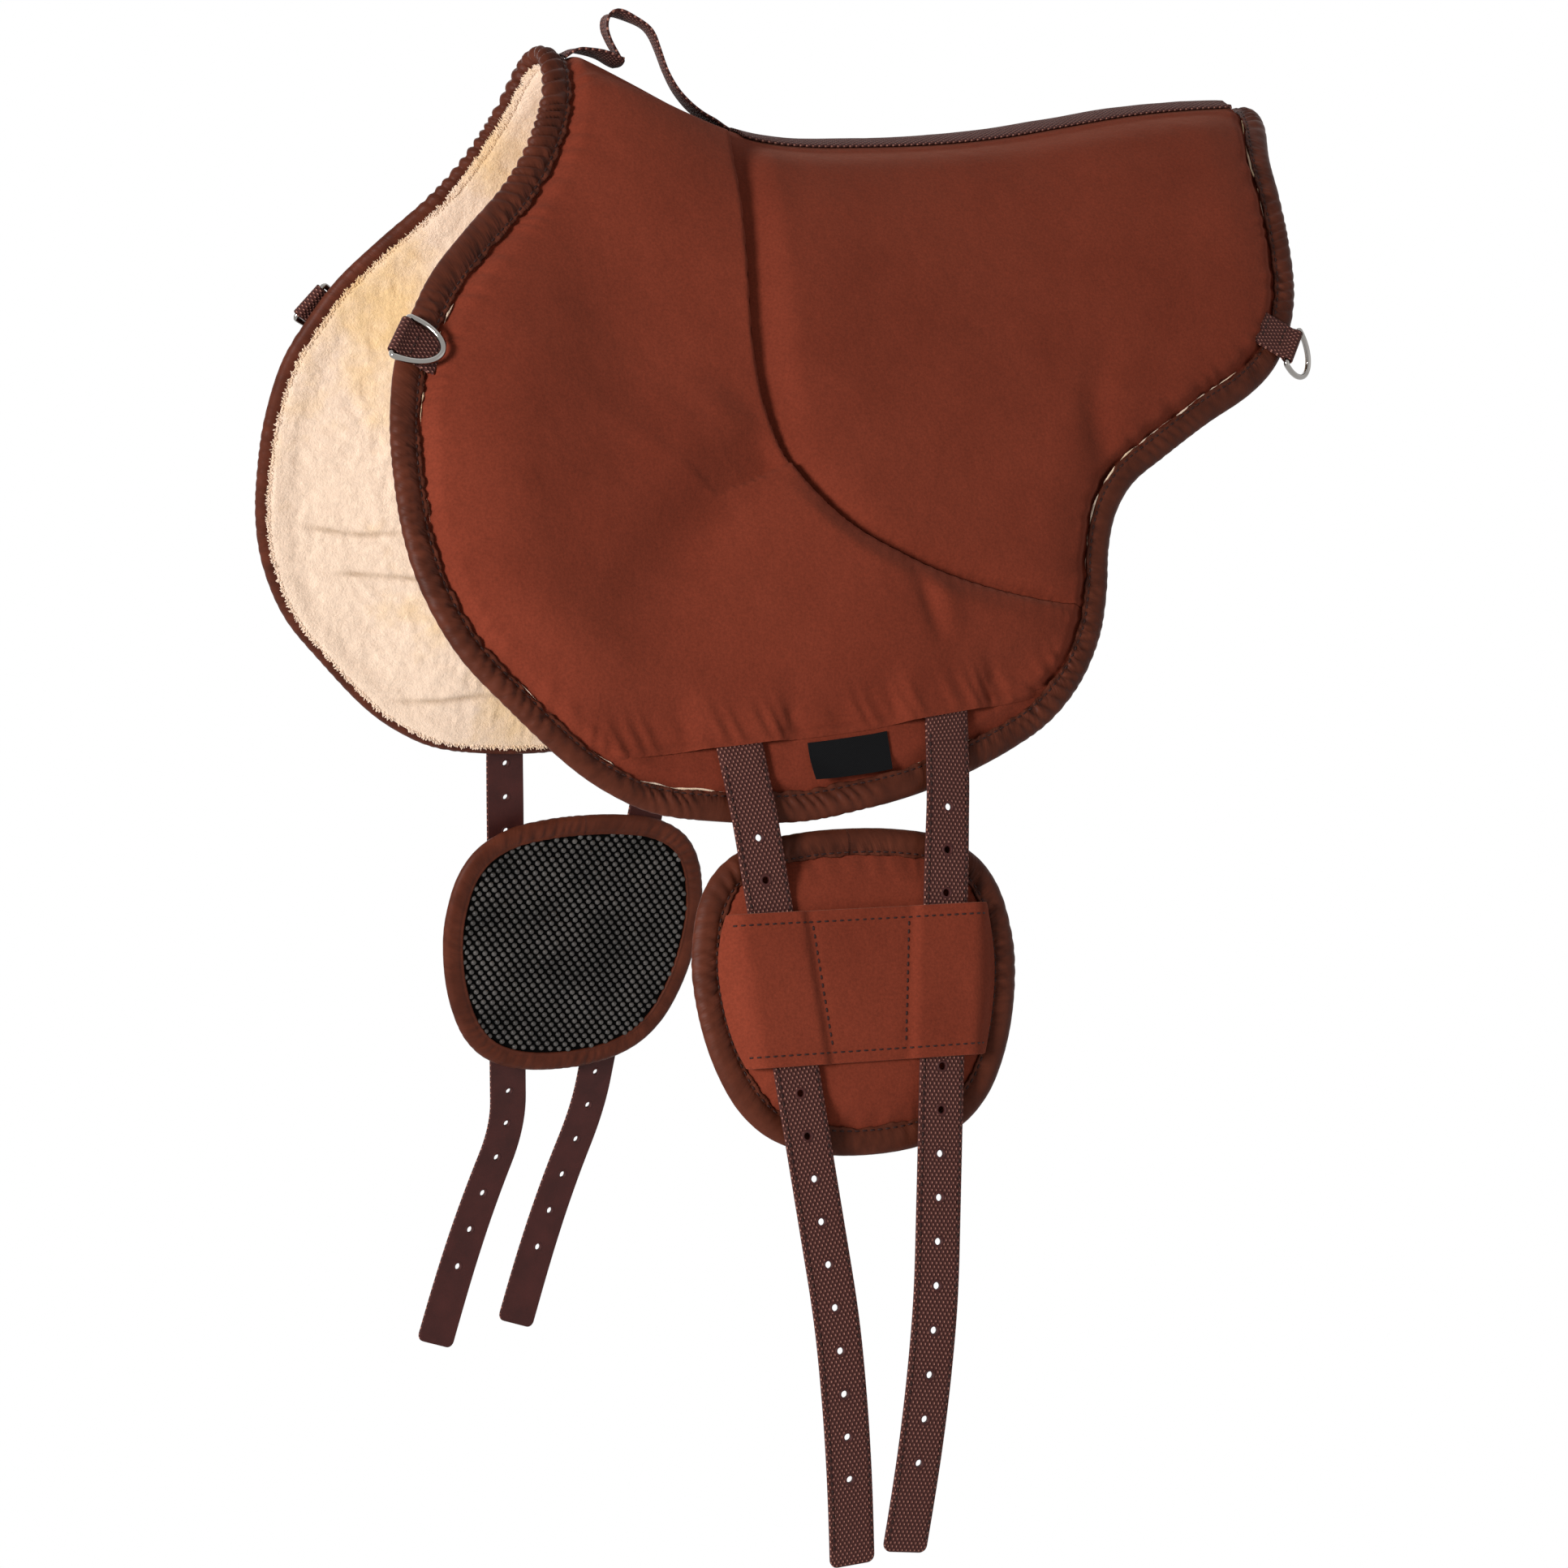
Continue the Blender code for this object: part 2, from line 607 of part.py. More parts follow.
class FlapLayers:
    """Heights and regions of the layers that share the flap pattern."""

    def __init__(self, pattern):
        self.pattern = pattern

    def edge_distance(self, p):
        """Distance to the bound edge of the flap."""
        return distance_to(self.pattern.outline, p)

    def lining_top(self, p):
        """The fleece is pressed thin under the binding."""
        rise = smooth_step(self.edge_distance(p), BINDING_WIDTH, BINDING_WIDTH + CROWN_RISE)
        return LINING_EDGE + (LINING_THICK - LINING_EDGE) * rise

    def loft(self, p):
        """Thickness of the padding: crowned, pinched at the seam, closed at the fold."""
        above = distance_to(self.pattern.fold, p)
        if above > SEAM_GAP and self.pattern.below(self.pattern.fold, p):
            return 0.0
        over_strap = self.over_strap(p.x)
        if not self.padded(p):
            near_strap = STRAP_LOFT * over_strap * self.rise_share(p)
            return near_strap if above < PADDING_STOP else 0.0
        full = FOAM_THICK * smooth_step(self.edge_distance(p), BINDING_WIDTH,
                                        BINDING_WIDTH + CROWN_RUN)
        beside = smooth_step(distance_to(self.pattern.seam, p), 0.0, SEAM_REACH)
        full = min(full, FOAM_SEAM) + max(full - FOAM_SEAM, 0.0) * beside
        full *= smooth_step(p.y, SPINE_BARE, SPINE_CREST)
        stop = STRAP_LOFT * self.rise_share(p) * over_strap
        full = stop + (full - stop) * smooth_step(above, PADDING_STOP, 2 * PADDING_STOP)
        return max(FOAM_EDGE, full)

    def rise_share(self, p):
        """0 under the binding, 1 further in."""
        return smooth_step(self.edge_distance(p), BINDING_WIDTH, BINDING_WIDTH + CROWN_RISE)

    def over_strap(self, x):
        """1 over a girth strap, 0 away from it."""
        half = WEB_WIDTH / 2
        away = min(abs(x - STRAP_FRONT_X), abs(x - STRAP_REAR_X))
        return 1.0 - smooth_step(away, half + SEAM_REACH / 2, half + 2 * SEAM_REACH)

    def padded(self, p):
        """Whether foam lies under a place."""
        pattern = self.pattern
        edge = BINDING_WIDTH + CROWN_RISE - LAYER_GAP
        return (self.edge_distance(p) >= edge and p.y >= SPINE_BARE - LAYER_GAP
                and not pattern.below(pattern.padding_edge, p + Vector((0.0, -LAYER_GAP))))

    def foam_low(self, p):
        return self.lining_top(p) + LAYER_GAP

    def foam_high(self, p):
        return self.foam_low(p) + self.loft(p)

    def cover_low(self, p):
        return self.foam_high(p) + LAYER_GAP

    def cover_high(self, p):
        return self.cover_low(p) + COVER_THICK

    def margin_low(self, p):
        return self.lining_top(p) + LAYER_GAP

    def margin_high(self, p):
        return self.margin_low(p) + MARGIN_THICK

    def kept(self, test):
        """Faces of the pattern whose centre passes a test."""
        return [face for face in self.pattern.faces if test(self.pattern.middle(face))]

    def seam_shift(self, way):
        """Draws a panel back from the seam; way is -1 for the front panel."""
        seam = self.pattern.seam
        normals = inward_normals(seam)

        def shifted(p):
            if distance_to(seam, p) > SEAM_GAP / 10:
                return p
            nearest = min(range(len(seam)), key=lambda i: (seam[i] - p).length)
            moved = p + normals[nearest] * (SEAM_GAP * way)
            return Vector((moved.x, max(moved.y, 0.0)))
        return shifted

    def fold_shift(self, way):
        """Draws a piece back from the fold; way is 1 for the margin below it."""
        fold = self.pattern.fold

        def shifted(p):
            if distance_to(fold, p) > SEAM_GAP / 10:
                return p
            return p + Vector((0.0, SEAM_GAP / 2 * way))
        return shifted


def add_flap(side, pattern, layers):
    """The sewn layers of one side of the pad."""
    name = SIDE_NAMES[side]

    def put(p, t):
        return side_point(p.x, p.y, t, side)

    def cut(node, faces, low, high, finish_name, shift=lambda p: p):
        def shifted_put(p, t):
            return put(shift(p), t)
        maker = slab(pattern.places, faces, low, high, shifted_put)
        finish(f"{name}_{node}", maker, finish_name)

    def above_fold(p):
        return not pattern.below(pattern.fold, p)

    fold_up = layers.fold_shift(-1)
    seam_front, seam_rear = layers.seam_shift(-1), layers.seam_shift(1)
    cut("fleece_lining", pattern.faces, lambda p: 0.0, layers.lining_top, "fleece")
    cut("foam_core", layers.kept(layers.padded), layers.foam_low, layers.foam_high, "foam")
    cut("front_panel", layers.kept(lambda p: above_fold(p) and not pattern.seat_side(p)),
        layers.cover_low, layers.cover_high, "suede", lambda p: seam_front(fold_up(p)))
    cut("seat_panel", layers.kept(lambda p: above_fold(p) and pattern.seat_side(p)),
        layers.cover_low, layers.cover_high, "suede", seam_rear)
    cut("girth_margin", layers.kept(lambda p: not above_fold(p)),
        layers.margin_low, layers.margin_high, "suede", layers.fold_shift(1))
    sections = binding_sections(pattern.outline, pattern.normals, put, EDGE_TOP)
    finish(f"{name}_edge_binding", swept(sections), "binding")


def binding_sections(line, normals, put, edge_top):
    """Sections of a tape folded over an edge of the given thickness."""
    lip = edge_top + BINDING_SLACK
    outer = lip + BINDING_WALL
    puff = BINDING_PUFF
    back = BINDING_SLACK + BINDING_WALL
    profile = (
        (BINDING_WIDTH, lip), (BINDING_WIDTH, outer), (BINDING_WIDTH / 2, outer + puff),
        (-BINDING_SLACK - puff / 2, outer), (-back - puff, edge_top / 2),
        (-BINDING_SLACK - puff / 2, -back), (BINDING_INSIDE, -back),
        (BINDING_INSIDE, -BINDING_SLACK), (-BINDING_SLACK, -BINDING_SLACK), (-BINDING_SLACK, lip),
    )
    return [[put(p + n * d, t) for d, t in profile] for p, n in zip(line, normals)]


# Webbing along the spine

def spine_web_columns(layers, x, lift):
    """Near edge, middle and far edge of webbing laid over the spine at x."""
    lift += SPINE_WEB_LIFT
    ridge = layers.cover_high(Vector((x, 0.0))) + lift
    beside = layers.cover_high(Vector((x, SPINE_BARE))) + lift
    columns = []
    for side in (NEAR, FAR):
        top = side_point(x, 0.0, ridge, side)
        slope = side_point(x, SPINE_BARE, beside, side) - top
        columns.append(top + slope * (SPINE_WEB_WIDTH / 2 / slope.length))
    return [columns[0], Vector((x, 0.0, top.z)), columns[1]]


def add_spine_webbing(pattern, layers):
    """Webbing sewn over the spine seam, from the handle's rear end to the cantle."""
    start, end = pattern.seam[0].x, pattern.outline[-1].x - SPINE_WEB_STOP
    stations = [x for x in pattern.spine_stations() if start <= x < end]
    sections = []
    for x in stations + [end]:
        sections.append(spine_web_columns(layers, x, 0.0)
                        + list(reversed(spine_web_columns(layers, x, SPINE_WEB_THICK))))
    finish("spine_webbing", swept(sections), "webbing")


def add_handle(layers):
    """Grab handle: a slack loop of webbing, sewn down at both ends."""
    run = HANDLE_REAR - HANDLE_FRONT
    half_thick = SPINE_WEB_THICK / 2
    route = []
    for x_share, rise_share in HANDLE_SHARES:
        x = HANDLE_FRONT + run * x_share
        sewn = spine_web_columns(layers, x, half_thick)
        route.append(Vector((x, sewn[1].z + HANDLE_RISE * rise_share)))
    line = curve_through(route, HANDLE_STEP)
    flat = Vector((0.0, SPINE_WEB_WIDTH / 2, 0.0))
    sections = []
    for p, n in zip(line, inward_normals(line)):
        up = Vector((-n.x, 0.0, -n.y)) * half_thick
        middle = Vector((p.x, 0.0, p.y))
        edges = [middle - flat, middle, middle + flat]
        if p in (line[0], line[-1]):
            edges = spine_web_columns(layers, p.x, half_thick)
        sections.append([e - up for e in edges] + [e + up for e in reversed(edges)])
    finish("grab_handle", swept(sections), "webbing")


# Girth straps

class Curtain:
    """Surface that the two straps of one side hang in, hinged at its top.

    a runs along the hinge towards the tail, b down the straps, h outwards.
    """

    def __init__(self, side, pattern):
        t = MARGIN_TOP + STRAP_LIFT + STRAP_THICK / 2
        ends = []
        for x in (STRAP_FRONT_X, STRAP_REAR_X):
            ends.append(side_point(x, pattern.fold_height(x) + HINGE_DROP, t, side))
        self.side = side
        self.middle = (ends[0] + ends[1]) / 2
        self.half = (ends[1] - ends[0]).length / 2
        self.along = (ends[1] - ends[0]).normalized()
        x = (STRAP_FRONT_X + STRAP_REAR_X) / 2
        s = pattern.fold_height(x)
        down = side_point(x, s + WEB_WIDTH, t, side) - side_point(x, s, t, side)
        self.down = (down - self.along * down.dot(self.along)).normalized()
        self.out = self.down.cross(self.along)
        if self.out.y * side < 0.0:
            self.out.negate()
        self.tilt = {way: self.tilt_at(x, pattern.fold_height(x))
                     for way, x in ((-1, STRAP_FRONT_X), (1, STRAP_REAR_X))}

    def tilt_at(self, x, s):
        """Rise of the flap along the hinge at a strap."""
        place = side_point(x, s, 0.0, self.side)
        across = side_point(x + WEB_WIDTH, s, 0.0, self.side) - place
        normal = across.cross(side_point(x, s + WEB_WIDTH, 0.0, self.side) - place)
        return -normal.dot(self.along) / normal.dot(self.out)

    def turn(self, b):
        """Angle by which the curtain has turned in from the flap's slope at b."""
        knee = STRAP_KNEE * smooth_step(b, STRAP_KNEE_START, STRAP_KNEE_START + STRAP_KNEE_LENGTH)
        return knee + STRAP_CURL[self.side] * smooth_step(b, STRAP_CURL_START, STRAP_LENGTH)

    def normal(self, b):
        """Outward normal at b."""
        turn = self.turn(b)
        return self.out * math.cos(turn) + self.down * math.sin(turn)

    def fall(self, b):
        """Direction down the curtain at b."""
        turn = self.turn(b)
        return self.down * math.cos(turn) - self.out * math.sin(turn)

    def point(self, a, b, h):
        """Place in the curtain."""
        place = self.middle + self.along * a + self.normal(b) * h
        for i in range(FORM_STEPS):
            place += self.fall(b * (i + 0.5) / FORM_STEPS) * (b / FORM_STEPS)
        return place

    def past_bend(self, b):
        """Length beyond the place where the straps hang free, eased in."""
        past = max(b - STRAP_CURL_START, 0.0)
        reached = min(past, STRAP_SWING_RUN)
        return reached * reached / (2 * STRAP_SWING_RUN) + past - reached

    def drift(self, b):
        """How far the pair of straps has moved forward at b."""
        return b * math.tan(STRAP_LEAN) + self.past_bend(b) * math.tan(STRAP_SWING[self.side])

    def strap_centre(self, way, b):
        """Place a of a strap's centre line at b; way is -1 for the front strap."""
        closing = b - self.past_bend(b) * (1.0 - STRAP_CLOSING[self.side])
        return way * (self.half - closing * math.tan(STRAP_CONVERGE)) - self.drift(b)

    def strap_point(self, way, w, b, h):
        """Place on a strap, w across it."""
        step = STRAP_SWING_RUN / 10
        slope = (self.strap_centre(way, b + step) - self.strap_centre(way, b - step)) / (2 * step)
        angle = math.atan(slope) * smooth_step(b, 0.0, WEB_WIDTH)
        h += w * self.tilt[way] * (1.0 - smooth_step(b, STRAP_TILT_END / 2, STRAP_TILT_END))
        return self.point(self.strap_centre(way, b) + w * math.cos(angle),
                          b - w * math.sin(angle), h)


def strap_pattern():
    """Flat strap with its row of buckle holes."""
    half = WEB_WIDTH / 2
    end = STRAP_LENGTH
    first = end - LAST_HOLE - HOLE_PITCH * (HOLE_COUNT - 1)
    centres = [Vector((0.0, first + HOLE_PITCH * i)) for i in range(HOLE_COUNT)]
    rows = [first - HOLE_PITCH / 2 + HOLE_PITCH * i for i in range(HOLE_COUNT + 1)]
    rows = [0.0, STRAP_KNEE_START / 2] + [b for b in rows if b > STRAP_KNEE_START * 0.8]
    left = [Vector((-half, b)) for b in rows]
    right = [Vector((half, b)) for b in rows]
    corner = STRAP_CORNER
    bend = corner * (1.0 - math.sqrt(0.5))
    tip = [Vector((-half, end - corner)), Vector((-half + bend, end - bend)),
           Vector((-half + corner, end)), Vector((half - corner, end)),
           Vector((half - bend, end - bend)), Vector((half, end - corner))]
    loops = []
    for centre in centres:
        turns = [math.tau * i / HOLE_SIDES for i in range(HOLE_SIDES)]
        loops.append(([centre + HOLE_RADIUS * Vector((math.cos(r), math.sin(r)))
                       for r in turns], True))
    places, faces = triangulate(left + tip + list(reversed(right)), loops, [])
    solid = []
    for face in faces:
        middle = sum((places[i] for i in face), Vector((0.0, 0.0))) / len(face)
        if all((middle - centre).length > HOLE_RADIUS * 0.95 for centre in centres):
            solid.append(face)
    return places, solid


def add_straps(side, curtain, parent):
    """Two girth straps of one side, each webbing with a smooth backing."""
    places, faces = strap_pattern()
    name = SIDE_NAMES[side]
    half = STRAP_THICK / 2
    layers = (("strap", half - WEB_THICK, half, "webbing"),
              ("strap_backing", -half, -half + BACKING_THICK, "backing"))
    for way, end in ((-1, "front"), (1, "rear")):
        def put(p, h, way=way):
            return curtain.strap_point(way, p.x, p.y, h)
        for node, low, high, finish_name in layers:
            maker = slab(places, faces, lambda p, low=low: low, lambda p, high=high: high, put)
            finish(f"{name}_{end}_{node}", maker, finish_name, parent)
        add_sewn_end(f"{name}_{end}_strap_sewn_end", curtain, way)


def add_sewn_end(node, curtain, way):
    """Top of a strap, sewn in under the padding's edge."""
    half, thick = WEB_WIDTH / 2, STRAP_THICK / 2
    corners = ((-half, -thick), (half, -thick), (half, thick), (-half, thick))
    sections = [[curtain.strap_point(way, w, -b, h) for w, h in corners]
                for b in (SEWN_END_GAP + SEWN_END_LENGTH, SEWN_END_GAP)]
    finish(node, swept(sections), "webbing")


# Girth pads

class GirthPattern:
    """Cutting pattern of a girth pad, u across it and v down it."""

    def __init__(self, curtain, centre):
        rounds = [Vector((GIRTH_HALF_WIDTH * x, GIRTH_HALF_HEIGHT * y)) for x, y in GIRTH_SHARES]
        rounds += [Vector((-p.x, p.y)) for p in reversed(rounds[1:-1])]
        self.outline = curve_through(rounds, GIRTH_STEP, closed=True)
        self.normals = inward_normals(self.outline, closed=True)
        if not inside(self.outline, self.outline[0] + self.normals[0] * BINDING_WIDTH):
            self.normals = [-n for n in self.normals]
        self.half = (curtain.half - centre * math.tan(STRAP_CONVERGE)) * math.cos(STRAP_LEAN)
        self.inner = self.ring(BINDING_WIDTH)
        self.shoulder = self.ring(BINDING_WIDTH + GIRTH_SHOULDER)
        self.crest = self.ring(BINDING_WIDTH + GIRTH_CROWN_RUN)
        self.places, self.faces = self.build()

    def ring(self, distance):
        """Line at one distance inside the outline."""
        return [p + n * distance for p, n in zip(self.outline, self.normals)]

    def strap_u(self, way, v):
        """Centre line of a strap over the pad."""
        return way * (self.half - v * math.tan(STRAP_CONVERGE))

    def build(self):
        """Triangulate the pad with the lines of its band and channels."""
        up, down = -BAND_UP, BAND_DOWN
        lines = [(self.inner, True), (self.shoulder, True)]
        for v in (up, down):
            ends = self.row_ends(v)
            lines.append(([Vector((ends[0], v)), Vector((ends[1], v))], False))
        for way in (-1, 1):
            for off in (-CHANNEL_HALF_FOOT, -CHANNEL_HALF_TOP, CHANNEL_HALF_TOP,
                        CHANNEL_HALF_FOOT):
                row = [Vector((self.strap_u(way, v) + off, v)) for v in (up, down)]
                lines.append((row, False))
        points = self.crest[::2]
        points += [Vector((0.0, v)) for v in (up, (up + down) / 2, down)]
        return triangulate(self.outline, lines, points)

    def row_ends(self, v):
        """Where a row meets the shoulder ring, left and right."""
        ring = self.shoulder + self.shoulder[:1]
        found = [a.x + (v - a.y) * (b.x - a.x) / (b.y - a.y)
                 for a, b in zip(ring, ring[1:]) if (a.y - v) * (b.y - v) < 0.0]
        return min(found), max(found)


def add_girth_pad(side, curtain, parent):
    """Girth pad of one side: mesh, foam, cover, binding and the band over the straps."""
    name = SIDE_NAMES[side]
    centre = GIRTH_PLACE[side]
    pattern = GirthPattern(curtain, centre)
    fall, normal = curtain.fall(centre), curtain.normal(centre)
    down = fall * math.cos(STRAP_LEAN) - curtain.along * math.sin(STRAP_LEAN)
    across = curtain.along * math.cos(STRAP_LEAN) + fall * math.sin(STRAP_LEAN)
    origin = curtain.point(-curtain.drift(centre), centre, -STRAP_THICK / 2)
    stack = (CHANNEL_CLEAR + GIRTH_COVER_THICK + GIRTH_FOAM_THICK + GIRTH_MESH_THICK
             + 2 * LAYER_GAP)

    def put(p, h):
        return origin + across * p.x + down * p.y + normal * (h - stack)

    def loft(p):
        away = distance_to(pattern.outline, p, closed=True)
        if away < BINDING_WIDTH + GIRTH_SHOULDER - LAYER_GAP:
            return 0.0
        rise = smooth_step(away, BINDING_WIDTH, BINDING_WIDTH + GIRTH_CROWN_RUN)
        return max(GIRTH_FOAM_EDGE, GIRTH_FOAM_THICK * rise)

    def foam_low(p):
        return GIRTH_MESH_THICK + LAYER_GAP

    def foam_high(p):
        return foam_low(p) + loft(p)

    def cover_low(p):
        return foam_high(p) + LAYER_GAP

    def cover_high(p):
        return cover_low(p) + GIRTH_COVER_THICK

    def band_low(p):
        away = min(abs(p.x - pattern.strap_u(way, p.y)) for way in (-1, 1))
        share = (CHANNEL_HALF_FOOT - away) / (CHANNEL_HALF_FOOT - CHANNEL_HALF_TOP)
        share = min(max(share, 0.0), 1.0)
        foot = cover_high(p) + LAYER_GAP
        return foot + (stack + STRAP_THICK + CHANNEL_CLEAR - foot) * share

    def band_high(p):
        return band_low(p) + BAND_THICK

    def kept(test):
        faces = []
        for face in pattern.faces:
            middle = sum((pattern.places[i] for i in face), Vector((0.0, 0.0))) / len(face)
            if test(middle):
                faces.append(face)
        return faces

    def in_band(p):
        return -BAND_UP < p.y < BAND_DOWN and inside(pattern.shoulder, p)

    def cut(node, faces, low, high, finish_name):
        maker = slab(pattern.places, faces, low, high, put)
        finish(f"{name}_girth_pad_{node}", maker, finish_name, parent)

    edge_top = cover_high(pattern.outline[0])
    cut("mesh", pattern.faces, lambda p: 0.0, lambda p: GIRTH_MESH_THICK, "mesh")
    cut("foam", kept(lambda p: inside(pattern.shoulder, p)), foam_low, foam_high, "foam")
    cut("cover", pattern.faces, cover_low, cover_high, "suede")
    cut("band", kept(in_band), band_low, band_high, "suede")
    sections = binding_sections(pattern.outline, pattern.normals, put, edge_top)
    finish(f"{name}_girth_pad_binding", swept(sections, closed=True), "binding", parent)
    return origin, down


# D-rings and their tabs

class EdgeFrame:
    """Local axes at a place on the flap's edge: d inwards, w along it, t off the coat."""

    def __init__(self, side, pattern, end, s):
        line, normals = pattern.outline, pattern.normals
        spans = range(len(line) - 1)
        if end == "rear":
            spans = reversed(spans)
        for i in spans:
            a, b = line[i], line[i + 1]
            if (a.y - s) * (b.y - s) <= 0.0:
                break
        share = (s - a.y) / (b.y - a.y)
        place = a.lerp(b, share)
        inward = normals[i].lerp(normals[i + 1], share).normalized()
        step = BINDING_WIDTH
        self.origin = side_point(place.x, place.y, 0.0, side)
        inner = place + inward * step
        beside = place + Vector((-inward.y, inward.x)) * step
        self.d = (side_point(inner.x, inner.y, 0.0, side) - self.origin).normalized()
        w = side_point(beside.x, beside.y, 0.0, side) - self.origin
        self.t = self.d.cross(w).normalized()
        if self.t.y * side < 0.0:
            self.t.negate()
        self.w = self.t.cross(self.d)

    def point(self, d, t, w=0.0):
        """Place in the local axes."""
        return self.origin + self.d * d + self.t * t + self.w * w


def add_ring(side, frame, end, parent, tilt):
    """Wire D-ring whose straight bar lies in the tab's loop."""
    bar = frame.point(-BAR_OUT, TAB_MIDDLE)
    reach = frame.d * math.cos(tilt) + frame.t * math.sin(tilt)
    half = RING_INNER / 2 + RING_WIRE
    corner = RING_CORNER
    flat = [(-half + corner, 0.0), (0.0, 0.0), (half - corner, 0.0)]
    bend = corner * (1.0 - math.sqrt(0.5))
    right = [(half - bend, bend), (half, corner)]
    bow = []
    for i in range(1, BOW_SPANS):
        angle = math.pi * i / BOW_SPANS
        bow.append((half * math.cos(angle), corner + (RING_DEPTH - corner) * math.sin(angle)))
    left = [(-half, corner), (-half + bend, bend)]
    curve = bpy.data.curves.new(f"{SIDE_NAMES[side]}_{end}_ring", "CURVE")
    curve.dimensions = "3D"
    spline = curve.splines.new("POLY")
    points = flat + right + bow + left
    spline.points.add(len(points) - 1)
    for point, (w, r) in zip(spline.points, points):
        place = frame.w * w + reach * r
        point.co = (*place, 1.0)
    spline.use_cyclic_u = True
    curve.bevel_depth = RING_WIRE
    curve.bevel_resolution = 2
    curve.materials.append(material("nickel"))
    ring = bpy.data.objects.new(f"{SIDE_NAMES[side]}_{end}_ring", curve)
    bpy.context.collection.objects.link(ring)
    ring.parent = parent
    return bar


TAB_MIDDLE = BINDING_TOP + LAYER_GAP + TAB_PLY + TAB_GAP / 2


def add_tab(side, frame, end):
    """Webbing folded round the ring's bar and sewn over the binding."""
    apart = (TAB_PLY + TAB_GAP) / 2
    bore = RING_WIRE + RING_CLEAR + TAB_PLY / 2
    neck = -BAR_OUT + bore * 1.6
    path = [(TAB_REACH, TAB_MIDDLE + apart + LAYER_GAP), (BINDING_WIDTH, TAB_MIDDLE + apart),
            (neck, TAB_MIDDLE + apart)]
    start = math.radians(60.0)
    for i in range(LOOP_SPANS + 1):
        angle = start + (math.tau - 2 * start) * i / LOOP_SPANS
        path.append((-BAR_OUT + bore * math.cos(angle), TAB_MIDDLE + bore * math.sin(angle)))
    path += [(neck, TAB_MIDDLE - apart), (BINDING_WIDTH, TAB_MIDDLE - apart),
             (TAB_REACH, TAB_MIDDLE - apart + LAYER_GAP)]
    line = [Vector(p) for p in path]
    normals = inward_normals(line)
    centres = [frame.point(p.x, p.y) for p in line]
    ups = [frame.d * n.x + frame.t * n.y for n in normals]
    maker = ribbon(centres, ups, frame.w * (TAB_WIDTH / 2), TAB_PLY)
    finish(f"{SIDE_NAMES[side]}_{end}_ring_tab", maker, "webbing")


def hanging_tilt(frame):
    """Tilt at which a ring hangs freely on its bar."""
    return math.atan2(-frame.t.z, -frame.d.z)


def add_label(side, pattern):
    """Bare woven label on the margin between the straps."""
    half = LABEL_LENGTH / 2
    xs = [LABEL_X + half * k for k in (-1.0, -0.5, 0.0, 0.5, 1.0)]
    corners = []
    for x in xs:
        corners.append(Vector((x, pattern.fold_height(x) + LABEL_DROP)))
    lower = [p + Vector((0.0, LABEL_HEIGHT)) for p in reversed(corners)]
    places, faces = triangulate(corners + lower, [], [])
    low = MARGIN_TOP + LAYER_GAP
    maker = slab(places, faces, lambda p: low, lambda p: low + LABEL_THICK,
                 lambda p, t: side_point(p.x, p.y, t, side))
    finish("blank_label", maker, "label")


def add_side(side, pattern, layers):
    """Everything on one side of the horse."""
    name = SIDE_NAMES[side]
    add_flap(side, pattern, layers)
    curtain = Curtain(side, pattern)
    strap_joint = joint_empty(f"{name}_strap_hinge", curtain.middle)
    pad_joint = joint_empty(f"{name}_girth_pad_slide", curtain.middle)
    add_straps(side, curtain, strap_joint)
    add_girth_pad(side, curtain, pad_joint)
    for end in ("front", "rear"):
        frame = EdgeFrame(side, pattern, end, RING_PLACE[end, side])
        joint = joint_empty(f"{name}_{end}_ring_hinge", frame.point(-BAR_OUT, TAB_MIDDLE))
        tilt = RING_TILT if end == "front" else hanging_tilt(frame)
        add_tab(side, frame, end)
        add_ring(side, frame, end, joint, tilt)


def main():
    """Build the whole pad."""
    clear_scene()
    pattern = FlapPattern()
    layers = FlapLayers(pattern)
    add_spine_webbing(pattern, layers)
    add_handle(layers)
    for side in (NEAR, FAR):
        add_side(side, pattern, layers)
    add_label(NEAR, pattern)


main()
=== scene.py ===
"""Looks of the bareback pad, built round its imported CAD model.

Frame: metres, +Z up, +X towards the horse's tail, -Y is the near side. The
cloth pieces are laid out on flat patterns, x along the horse and s down its
side, as they are cut, and are then placed at a height t off the coat.
"""
import math

import bmesh
import bpy
import numpy as np
from bpy.props import FloatProperty, FloatVectorProperty, IntProperty, PointerProperty
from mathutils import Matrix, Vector
from mathutils.geometry import delaunay_2d_cdt


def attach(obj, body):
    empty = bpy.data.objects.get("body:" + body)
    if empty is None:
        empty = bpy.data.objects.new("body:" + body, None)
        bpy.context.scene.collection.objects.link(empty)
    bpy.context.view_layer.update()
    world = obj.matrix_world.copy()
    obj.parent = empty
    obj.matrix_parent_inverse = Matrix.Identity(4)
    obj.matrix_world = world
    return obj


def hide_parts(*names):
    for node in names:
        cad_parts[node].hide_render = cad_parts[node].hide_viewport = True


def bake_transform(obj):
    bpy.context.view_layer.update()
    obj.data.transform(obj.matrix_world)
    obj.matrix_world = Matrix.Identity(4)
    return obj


bl_info = {
    "name": "Bareback Pad",
    "version": (1, 0, 0),
    "blender": (4, 5, 0),
    "location": "View3D > Sidebar > Bareback Pad",
    "description": "Dresses the packed bareback pad with cloth, fleece, webbing and metal",
    "category": "Add Mesh",
}

